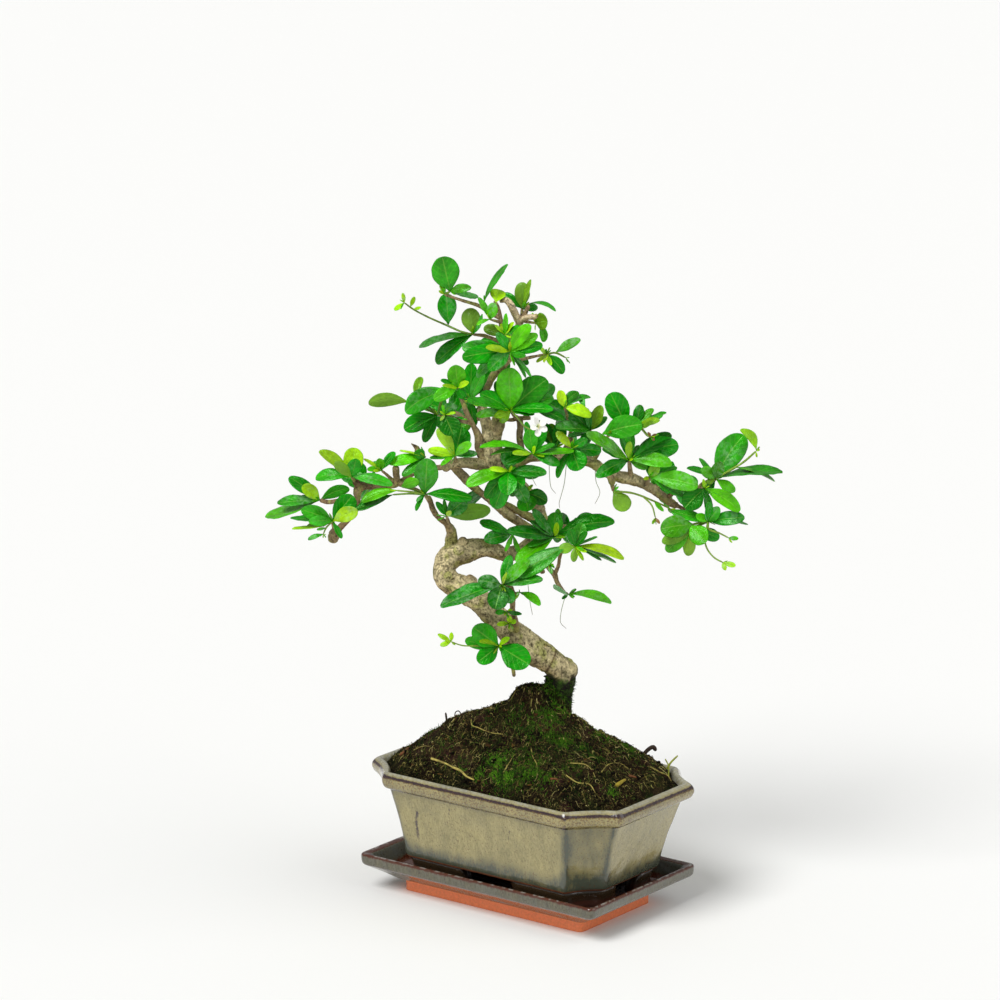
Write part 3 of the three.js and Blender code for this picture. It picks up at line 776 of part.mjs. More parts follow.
// The tightest bands of triangles between a facet's three corners and the first ring of a blade, leaving out
// those in which all three corners hang on one point of the ring
function bands(facet, ring) {
  const count = ring.length;
  const found = [];
  for (let start = 0; start < count; start += 1) {
    for (const order of orders(count + 3)) {
      let [i, j] = [0, 0];
      const triangles = [];
      const held = new Set();
      for (let step = 0; step < count + 3; step += 1) {
        const [a, b] = [facet[i % 3], ring[(start + j) % count]];
        if (order.includes(step)) {
          triangles.push([a, facet[(i + 1) % 3], b]);
          held.add(b);
          i += 1;
        } else {
          triangles.push([a, ring[(start + j + 1) % count], b]);
          j += 1;
        }
      }
      if (held.size > 1) found.push({ triangles, area: areaOf(triangles) });
    }
  }
  found.sort((one, two) => one.area - two.area);
  return found.slice(0, BANDS).map((band) => band.triangles);
}

function fromTriangles(triangles) {
  const geometry = new THREE.BufferGeometry();
  const corners = triangles.flat().flatMap((p) => [p.x, p.y, p.z]);
  geometry.setAttribute('position', new THREE.Float32BufferAttribute(corners, 3));
  return solid(geometry);
}

// A blade closed to a point at its foot
function blade(foot, tip, leaf, turn, extra, wave) {
  const { rings, root, end } = bladeRings(foot, tip, leaf, turn, extra, wave);
  const triangles = [];
  fan([...rings[0]].reverse(), root, triangles);
  stitch(rings, triangles);
  fan(rings[rings.length - 1], end, triangles);
  return fromTriangles(triangles);
}

// The ways in which a blade can grow out of a facet of its heart, without the facet
function growths(facet, foot, tip, leaf, turn, wave) {
  const { rings, end } = bladeRings(foot, tip, leaf, turn, 0, wave);
  const rest = [];
  stitch(rings, rest);
  fan(rings[rings.length - 1], end, rest);
  return bands(facet, rings[0]).map((band) => [...band, ...rest]).filter((all) => !anyCross(all, all));
}

function rod(from, to, radius) {
  const curve = new THREE.LineCurve3(from, to);
  const shape = new THREE.Shape([0, 1, 2, 3].map((i) => new THREE.Vector2(
    radius * Math.cos(i * Math.PI / 2), radius * Math.sin(i * Math.PI / 2))));
  return solid(new THREE.ExtrudeGeometry(shape, { steps: 1, extrudePath: curve, bevelEnabled: false }));
}

function ball(centre, radius) {
  const geometry = radius < 1 ? new THREE.OctahedronGeometry(radius) : new THREE.IcosahedronGeometry(radius);
  geometry.translate(centre.x, centre.y, centre.z);
  return solid(geometry);
}

// The nearest point of a spray's stems to a leaf's foot, with its depth, or the heart's depth
function footDepth(spray, u, w) {
  let best = spray[2][2];
  let least = 1.6;
  for (const [, ...nodes] of spray[3]) {
    for (let i = 1; i < nodes.length; i += 1) {
      for (let t = 0; t <= 1; t += 0.05) {
        const p = nodes[i - 1].map((value, k) => value + (nodes[i][k] - value) * t);
        const far = Math.hypot(p[0] - u, p[1] - w);
        if (far < least) {
          least = far;
          best = p[2];
        }
      }
    }
  }
  return [best, least < 1.6];
}


function touches(body) {
  const reach = body.boundingBox();
  return standing.some(({ body: other, box: near }) => {
    for (let k = 0; k < 3; k += 1) {
      if (reach.min[k] > near.max[k] || near.min[k] > reach.max[k]) return false;
    }
    return !other.intersect(body).isEmpty();
  });
}

function settle(body) {
  standing.push({ body, box: body.boundingBox() });
}

function heartFacets(middle) {
  const geometry = new THREE.IcosahedronGeometry(HEART, 0);
  const position = geometry.attributes.position;
  const facets = [];
  for (let i = 0; i < position.count; i += 3) {
    facets.push([0, 1, 2].map((k) => new THREE.Vector3().fromBufferAttribute(position, i + k).add(middle)));
  }
  return facets;
}

function facetNormal([a, b, c]) {
  return b.clone().sub(a).cross(c.clone().sub(a)).normalize();
}

// One leaf of a spray, leaning nearer or farther until it is clear, grown from a facet where one is free
function growLeaf(leaf, foot, depth, onHeart, facets, skin, grown) {
  const [u, w, , lean] = leaf;
  const wave = Array.from({ length: 4 }, () => random() - 0.5);
  let spare = null;
  for (const turn of TURNS) {
    for (const more of LEANS) {
      const tip = place(u, w, depth + lean + more);
      if (touches(blade(foot, tip, leaf, turn, CLEAR, wave))) continue;
      spare = spare ?? blade(foot, tip, leaf, turn, 0, wave);
      if (!onHeart) return { body: spare };
      const away = tip.clone().sub(foot).normalize();
      const free = facets.filter((facet) => facetNormal(facet).dot(away) > FACING)
        .sort((p, q) => facetNormal(q).dot(away) - facetNormal(p).dot(away)).slice(0, 3);
      for (const facet of free) {
        const others = [...skin, ...facets.filter((other) => other !== facet)];
        for (const triangles of growths(facet, foot, tip, leaf, turn, wave)) {
          if (anyCross(triangles, others)) continue;
          const body = fromTriangles([...triangles, [...facet].reverse()]);
          if (body.volume() > 0 && grown.every((other) => other.intersect(body).volume() < 1e-4) && !touches(body)) {
            return { body, triangles, facet };
          }
        }
      }
    }
  }
  return spare ? { body: spare } : null;
}

// One spray: its heart, stems and leaves
function makeSpray(spray) {
  const [name, , heart, stems, leaves] = spray;
  const middle = hearts.get(name);
  let facets = heartFacets(middle);
  const skin = [];
  const grown = [ball(middle, HEART)];
  const parts = [];
  if (touches(ball(middle, HEART + 0.3))) report.push(`${name} heart`);
  for (const [radius, ...nodes] of stems) {
    const line = nodes.map((p) => [...p, radius]);
    parts.push(limb(line, 4, 0));
    if (touches(limb(line, 4, 0, 0.3))) report.push(`${name} stem`);
  }
  leaves.forEach((leaf, n) => {
    const [footU, footW] = leaf.length > 7 ? leaf.slice(7) : heart;
    const [depth, onStem] = footDepth(spray, footU, footW);
    const foot = place(footU, footW, deepen(footW, depth));
    if (leaf.length > 7 && !onStem) {
      parts.push(rod(middle, foot, STALK), ball(foot, STALK_END));
      if (touches(rod(middle, foot, STALK + 0.3))) report.push(`${name} stalk ${n}`);
    }
    const found = growLeaf(leaf, foot, deepen(footW, depth), leaf.length === 7, facets, skin, grown);
    if (!found) {
      report.push(`${name} leaf ${n} left out`);
    } else if (found.facet) {
      facets = facets.filter((facet) => facet !== found.facet);
      skin.push(...found.triangles);
      grown.push(found.body);
    } else {
      if (leaf.length === 7) report.push(`${name} leaf ${n} crosses`);
      parts.push(found.body);
    }
  });
  const joined = join([fromTriangles([...skin, ...facets]), ...parts]);
  const whole = wholeBody(joined);
  if (joined.volume() - whole.volume() > 0.2) report.push(`${name} drops ${(joined.volume() - whole.volume()).toFixed(2)}`);
  settle(whole);
  return whole;
}

function makePetals() {
  const middle = place(FLOWER[0], FLOWER[1], deepen(FLOWER[1], FLOWER[2]));
  const parts = [ball(middle, 1)];
  for (const [u, w] of PETALS) {
    const tip = place(u, w, deepen(w, FLOWER[2]) - 1.6);
    parts.push(blade(middle, tip, [0, 0, 3.6, 0, 1, 0, 0], 0, 0, [0, 0, 0, 0]));
  }
  return wholeBody(join(parts));
}

const group = new THREE.Group();

function add(name, body, colour, roughness, metalness = 0) {
  group.add(meshOf(name, body, new THREE.MeshStandardMaterial({ color: colour, roughness, metalness })));
}

const saucer = makeSaucer();
const pot = makePot();
const wood = makeWood();
const soil = wholeBody(makeSoil().subtract(trunkHole()));
[saucer, pot, wood, soil].forEach(settle);
add('saucer', saucer, '#6f6a58', 0.3);
add('pot', pot, '#9b9570', 0.35);
add('soil', soil, '#2a2114', 0.95);
add('wood', wood, '#8f8062', 0.85);
const petals = makePetals();
settle(petals);
for (const spray of SPRAYS) add(spray[0], makeSpray(spray), TONES[spray[1]], 0.4);
add('flower_petals', petals, '#f4f4ee', 0.6);
if (report.length) console.warn(report.join('\n'));

export default group;
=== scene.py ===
import math

import bpy
import numpy as np
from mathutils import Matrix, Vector


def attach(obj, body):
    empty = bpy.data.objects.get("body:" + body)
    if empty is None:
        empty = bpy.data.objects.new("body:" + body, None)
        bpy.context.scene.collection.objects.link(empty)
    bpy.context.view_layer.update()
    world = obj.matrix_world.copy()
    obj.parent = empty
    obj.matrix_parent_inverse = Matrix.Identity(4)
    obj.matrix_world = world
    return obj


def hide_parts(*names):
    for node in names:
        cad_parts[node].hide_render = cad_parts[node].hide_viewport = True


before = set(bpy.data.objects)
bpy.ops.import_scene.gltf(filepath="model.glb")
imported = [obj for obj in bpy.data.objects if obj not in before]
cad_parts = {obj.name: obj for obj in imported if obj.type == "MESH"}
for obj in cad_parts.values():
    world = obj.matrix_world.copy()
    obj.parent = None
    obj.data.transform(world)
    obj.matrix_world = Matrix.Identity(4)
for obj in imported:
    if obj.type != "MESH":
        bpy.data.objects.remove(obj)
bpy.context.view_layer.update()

bl_info = {
    "name": "Fukien tea bonsai",
    "version": (1, 0, 0),
    "blender": (4, 5, 0),
    "location": "View3D > Sidebar > Bonsai",
    "description": "Makes the pot, saucer, soil, bark, leaves and flower of a small bonsai",
    "category": "Add Mesh",
}

MM = 0.001
RNG = np.random.default_rng(20417)
TURN = 2 * np.pi
FLAT = np.array([1, 1, 0])
CORNERS = [(1, 1), (-1, 1), (-1, -1), (1, -1)]

# Where the camera's eye and aim are, its lens, the suns (name, place, width in degrees, power), and the floor
EYE_AT = (1.33105, -1.77638, 0.7549)
AIM_AT = (-0.01935, 0.00266, 0.20628)
LENS = 163.3
SUNS = [["key", (-0.1, -2.0, 2.3), 30, 2.4], ["side", (2.0, 0.6, 1.5), 60, 0.8]]
FLOOR_HALF = 9

# Saucer: half lengths along X and Y at each height, from the foot's underside over the rim to the floor
SAUCER_RINGS = [
    [56.7, 30.3, 0], [56.7, 30.3, 5.5], [59.5, 33, 6.2], [66, 38, 10], [72.6, 43.8, 13.6], [74.2, 45.2, 14.6],
    [74.6, 45.6, 19.6], [73.8, 44.8, 20.4], [70.4, 41.7, 19.2], [66, 38.4, 12], [64, 36.6, 10.5],
]
SAUCER_CORNER = 3
SAUCER_STEP = 0.85

# Pot: how far each ring lies inside the rim's widest line, and its height
RIM_HALF = (80, 50.55)
RIM_CHAMFER = (22.1, 18.75)
CHAMFER_DIP = 1.8
CHAMFER_POINTS = 9
POT_CENTRE = (1.9, 1.4)
POT_OUTSIDE = [
    [19.2, 21], [17.2, 21.6], [16.3, 23.2], [14.9, 30], [12.3, 40], [9, 50], [7.1, 55], [6.3, 57.6],
    [5.2, 58.9], [2.6, 59.3], [0.9, 60.6], [0.1, 63], [0.2, 65], [1.2, 66.4], [2.6, 67.7], [4.2, 68.1],
    [5.6, 67], [6.4, 64.6],
]
POT_INSIDE = [[7.6, 60], [18.6, 31], [21, 27]]
POT_STEP = 0.58
OUTLINE_POINTS = 480
SIDE_SHARE = 0.65
FOOT_HEIGHTS = (10.8, 22.2)
FOOT_TOP_INSET = 18.2
FOOT_LOW_INSET = (20.4, 16)
FOOT_WALL = 7.2
FOOT_ROUND = 0.8
FOOT_ARCHES = (15, 10)

# Heights on the pot where its glaze changes, and the dark runs down its front: u, low, high, width
SHOULDER = 65.7
RIM_UNDERSIDE = 59
WALL_TOP = 58.5
POT_RUNS = [[-57, 33, 50, 0.9], [-40.6, 50, 58, 0.35], [-9, 44, 51, 0.3]]

# Soil: the mound's height from its crown to the pot's rim, by the share of the way out
SOIL_PROFILE = [
    [0, 115.4], [0.1, 112.6], [0.17, 104], [0.3, 98.6], [0.43, 91.6], [0.55, 86.4], [0.68, 82],
    [0.82, 75.5], [0.93, 71], [1, 65],
]
SOIL_CROWN = (5, -3)
SOIL_LUMP = {"x": -34.7, "y": -13.8, "height": 5.5, "reach": 17}
TRUNK_FOOT = {"x": 12.2, "y": 9.2, "top": 116.8, "reach": 5.9, "slope": 13}
SADDLE = {"top": 114.2, "reach": 1, "slope": 2.6}
SOIL_SIDE = [[20.8, 27.4], [19.1, 31.4], [15.2, 41.4], [11.3, 51.4], [6.4, 65]]
SOIL_GAP = 0.5
SOIL_POINTS = 420
SOIL_RIM = 66.5
SOFT_JOINT = 0.7

# The tree is measured by an onlooker: u runs to the right, w upwards and v away, round the saucer's middle
LOOK_TURN = math.radians(37.2)
EYE = (-13.8, -2219.8, 754.9)
DEEPEN = (120, 200, 2)

# Wood: the heights between which its foot turns to peat, and where the dead tips at the top begin
PEAT_LINE = (116, 120.5)
DEAD_TIPS = (298, 302)
GROOVE = (12.2, 125, -6)

# Leaves: a blade's least width and arch as shares of its length, the length from which it is big, rows and
# points across of big, small and tiny blades, how near a foot lies to its stem, the crown's middle, and the
# colours
NATURAL_WIDTH = 0.36
ARCH = 0.06
BIG_LEAF = 9
BIG_BLADE = (14, 8)
SMALL_BLADE = (9, 6)
TINY_BLADE = (6, 4)
NEAR_STEM = 1.6
CROWN = (-10, 0, 225)
LEAF_COLOURS = ("#a4d812", "#50b804", "#0c8a02", "#2c9a10", "#79b01a", "#8a5230")

# Limbs, each with points u, w, v and radius
LIMBS = [
    # The trunk, from under the soil round its elbows to the fork
    [[15, 84, 0, 8.6], [15.6, 98, 0, 6.4], [16, 108, 0, 6.3], [17.4, 116.6, 0, 6.7], [16, 121.6, -1, 6.6],
     [6.4, 128.6, -3, 7], [-4, 136.6, -4, 6.8], [-14, 147, -4, 6.4], [-25, 158, -3, 6.4],
     [-33, 163.4, -1, 6.6], [-40, 167.8, 0, 6], [-42, 174, 1, 5.7], [-38.6, 180, 2, 6.6],
     [-31, 182.6, 3, 6.3], [-23.4, 184.6, 4, 4.9], [-17, 183.6, 6, 4], [-11.5, 181.4, 9, 3.8],
     [-5, 182.6, 12, 3.6], [2, 187.6, 13, 3.5], [6.4, 195, 12, 3.4], [6.2, 203, 10, 3.3],
     [2.4, 210.6, 8, 3.4], [-4.6, 217, 5, 3.7], [-12, 223.6, 2, 4.4], [-17.4, 231, 0, 5.6],
     [-18.4, 239, 0, 5.2], [-17.4, 246.4, 0, 4.8]],
    # The fork's two prongs and its cut knob
    [[-18.6, 241, 0, 3.6], [-20.6, 249, 1, 3], [-22.6, 256, 3, 2.5], [-22.4, 262, 4, 2]],
    [[-16.6, 243, 0, 3.4], [-15.8, 250, -1, 2.6], [-15.4, 254, -1, 2]],
    [[-15.4, 244, -1, 2.6], [-13.4, 248.6, -2.4, 2.3], [-12.8, 250.6, -2.8, 1.5]],
    # The upper stem to the crown
    [[-22.5, 259, 4, 2.1], [-21.2, 264.6, 4, 1.6], [-17.6, 273, 3, 1.9], [-12.6, 280, 1, 2.9],
     [-9.4, 284.6, 0, 3.1], [-7.6, 290, 0, 2.1], [-5.2, 296.6, 1, 1.9], [-3.6, 302.4, 1, 2.1]],
    # The pale dead stubs at the top
    [[-3.8, 300, 1, 1.9], [-6.4, 305.6, 0, 1.8], [-8.8, 310.4, -1, 1.7], [-11.2, 312.4, -1, 1.5],
     [-13.9, 311.4, -1, 0.9]],
    [[-4, 301.2, 1, 1.7], [0, 303.6, -1, 1.5], [3.2, 303.8, -2, 1.6], [5, 304.8, -2, 1]],
    [[-2.4, 302.6, 1, 1.4], [-0.8, 306.6, 1, 1.2], [0.7, 309.6, 1, 0.9]],
    [[-9.6, 288, 1, 1.3], [-12.6, 296, 3, 1.2], [-13.6, 303, 3, 1.2], [-15, 309, 3, 1], [-16.6, 312, 3, 0.8]],
    # The left branch: cut end, then the long run to the far stub
    [[-17, 228.4, 0, 3.2], [-24, 228.4, -2, 2.9], [-31, 229, -3, 2.6], [-37, 228.6, -3, 2.6],
     [-40.4, 227.2, -4, 2.3], [-42.6, 225.4, -4, 2]],
    [[-37, 228, -2, 2], [-44, 226.6, 2, 1.5], [-52, 225.6, 3, 1.4], [-58, 223.2, 2, 1.4],
     [-63, 219.4, 0, 1.7], [-66, 218.2, -1, 2], [-71, 216.4, -2, 1.4], [-77, 216.4, -3, 1.4],
     [-82, 217, -4, 2], [-85, 215.6, -4, 2.5], [-85.8, 210, -4, 1.7], [-86, 205.4, -4, 1.4],
     [-90, 199.8, -4, 1.3], [-94.4, 195.6, -4, 1.8], [-97.6, 191.4, -4, 3.1], [-98.2, 187.6, -4, 2.4]],
    [[-66, 218, -1, 1.8], [-66, 222, -2, 1.8], [-66.2, 226, -3, 1.9], [-66.6, 227.6, -3, 1.2]],
    [[-84.6, 216, -4, 2], [-86.2, 218.6, -4.6, 1.8], [-87.6, 219.2, -5, 1.2]],
    [[-55.4, 225, 3, 0.9], [-56.6, 231, 4, 0.9], [-55.4, 236, 4, 1.4], [-58.4, 238.9, 4, 0.35]],
    # The pale limb that crosses from the left branch down to the trunk
    [[-37.6, 227.4, -2, 2.2], [-33, 222.8, -1, 2.3], [-28, 217.4, 0, 2.3], [-22.4, 212.6, 1, 1.7],
     [-16.4, 207.6, 2, 2], [-11, 203, 3, 2.4], [-4.6, 198.6, 6, 2.4], [2.6, 193.6, 10, 2.4]],
    [[5, 198.6, 11, 2.4], [-0.6, 201.8, 8, 2.3], [-7, 205, 7, 2], [-12.8, 208.4, 6, 1.7]],
    # The right limb
    [[-10.4, 222.4, 2, 3], [-5, 228, -1, 2.6], [0.6, 231.4, -2, 2.3], [9, 231.8, -2, 2.1],
     [17, 231.8, -3, 2.1], [25, 231, -3, 2.3], [32.6, 229, -3, 2.6], [39, 224.6, -3, 2.7], [46, 222, -2, 3],
     [54, 220, 0, 3], [60, 217, 1, 2.5], [66.6, 212.6, 2, 2.2], [72, 208.6, 3, 2.1], [75.6, 206.4, 3, 1.8]],
    [[41, 223.6, -3, 2], [42.4, 220, -4, 1.9], [42.6, 217.4, -4, 1.4]],
    [[33, 230, -3, 1.3], [35, 233.4, -2, 1.2], [36, 236.4, -1, 1.1], [34.6, 240, 0, 1], [32, 243.6, 1, 0.9]],
    [[-3, 230.6, -1, 1.7], [-3.4, 237, 0, 1.7], [-4, 243.4, 0, 1.7], [-3.6, 248, 0, 1.7], [-4, 251.8, 0, 1.8]],
    [[1.6, 252, 0, 1.1], [-4, 251.8, 0, 1.3], [-8.4, 251, 0, 1], [-11, 251.2, 0, 0.8]],
    # The brown shoot left of the fork
    [[-22, 231, -1, 2.4], [-25, 237, -2, 1.7], [-24.6, 242.6, -3, 2.1], [-27.4, 248.4, -4, 1.4],
     [-30.4, 254.6, -5, 1.3], [-32.8, 261, -5, 1.1], [-34.4, 265, -5, 0.9]],
    # The shoot that rises from the left elbow
    [[-38.8, 182, 3, 4.6], [-38.4, 188, 3, 3.4], [-38.4, 193.4, 2, 2.7], [-41, 197.6, 0, 1.8],
     [-45, 200.6, -2, 1.4], [-47.6, 204.6, -3, 1.5], [-48.8, 208.8, -4, 1.4], [-49.6, 211.6, -5, 1]],
    [[-48.8, 208, -4, 1.1], [-52, 212.6, 0, 0.9], [-57, 215.6, 1, 0.9], [-61.6, 217, 1, 0.9],
     [-65, 217.6, 0, 0.9]],
    # The stump knob and bumps of the trunk
    [[-33, 184, 3, 3.4], [-32.6, 188, 2, 2.9], [-32.4, 190.4, 2, 1.7]],
    [[-29, 164, -2, 4.4], [-29, 168, -2, 3.6], [-29, 170.6, -2, 1.8]],
    [[8, 131.8, -4, 2.4], [9.2, 134.6, -5, 1.3]],
    # The upright twig in front of the trunk's lower slope
    [[-5.6, 141, -9, 1.8], [-5.8, 146, -11, 1.5], [-7.4, 153, -12, 1.4], [-7.2, 160, -13, 1.3],
     [-8.2, 164.6, -14, 1.1]],
    # The short twig with a dead end at the lowest leaves
    [[-11, 139, -8, 1.2], [-12.4, 134, -12, 1], [-10.6, 129, -13, 0.9], [-7.6, 123, -13, 1],
     [-6.6, 117.2, -13, 0.95]],
    # The right lower twig and its two ends
    [[1, 187.4, 12.6, 1.8], [4.4, 182.6, 5, 1.3], [8, 178, 0, 1.1], [11.4, 173.6, -2, 1.2],
     [13.8, 170.8, -3, 1.5], [15, 167, -3, 1.1], [17.4, 163.2, -3, 1], [19.2, 161, -3, 0.9]],
    [[13.8, 171, -3, 1.2], [15.6, 175, -4, 1], [16.4, 180, -6, 0.95], [18, 184, -9, 0.9],
     [20.8, 186, -12, 0.85]],
    [[8, 178, 0, 0.8], [7.4, 174, 1, 0.9], [7.8, 171.4, 1, 1.6]],
    # Twigs between the right limb and the far right leaves
    [[70, 210.6, 3, 1.3], [76, 214.6, 0, 0.9], [82, 215, -2, 0.8], [87, 216, -4, 0.8]],
    [[74, 207.4, 3, 1.2], [79, 205, 1, 0.9], [84, 203, -2, 0.9], [88, 200, -5, 0.8]],
]

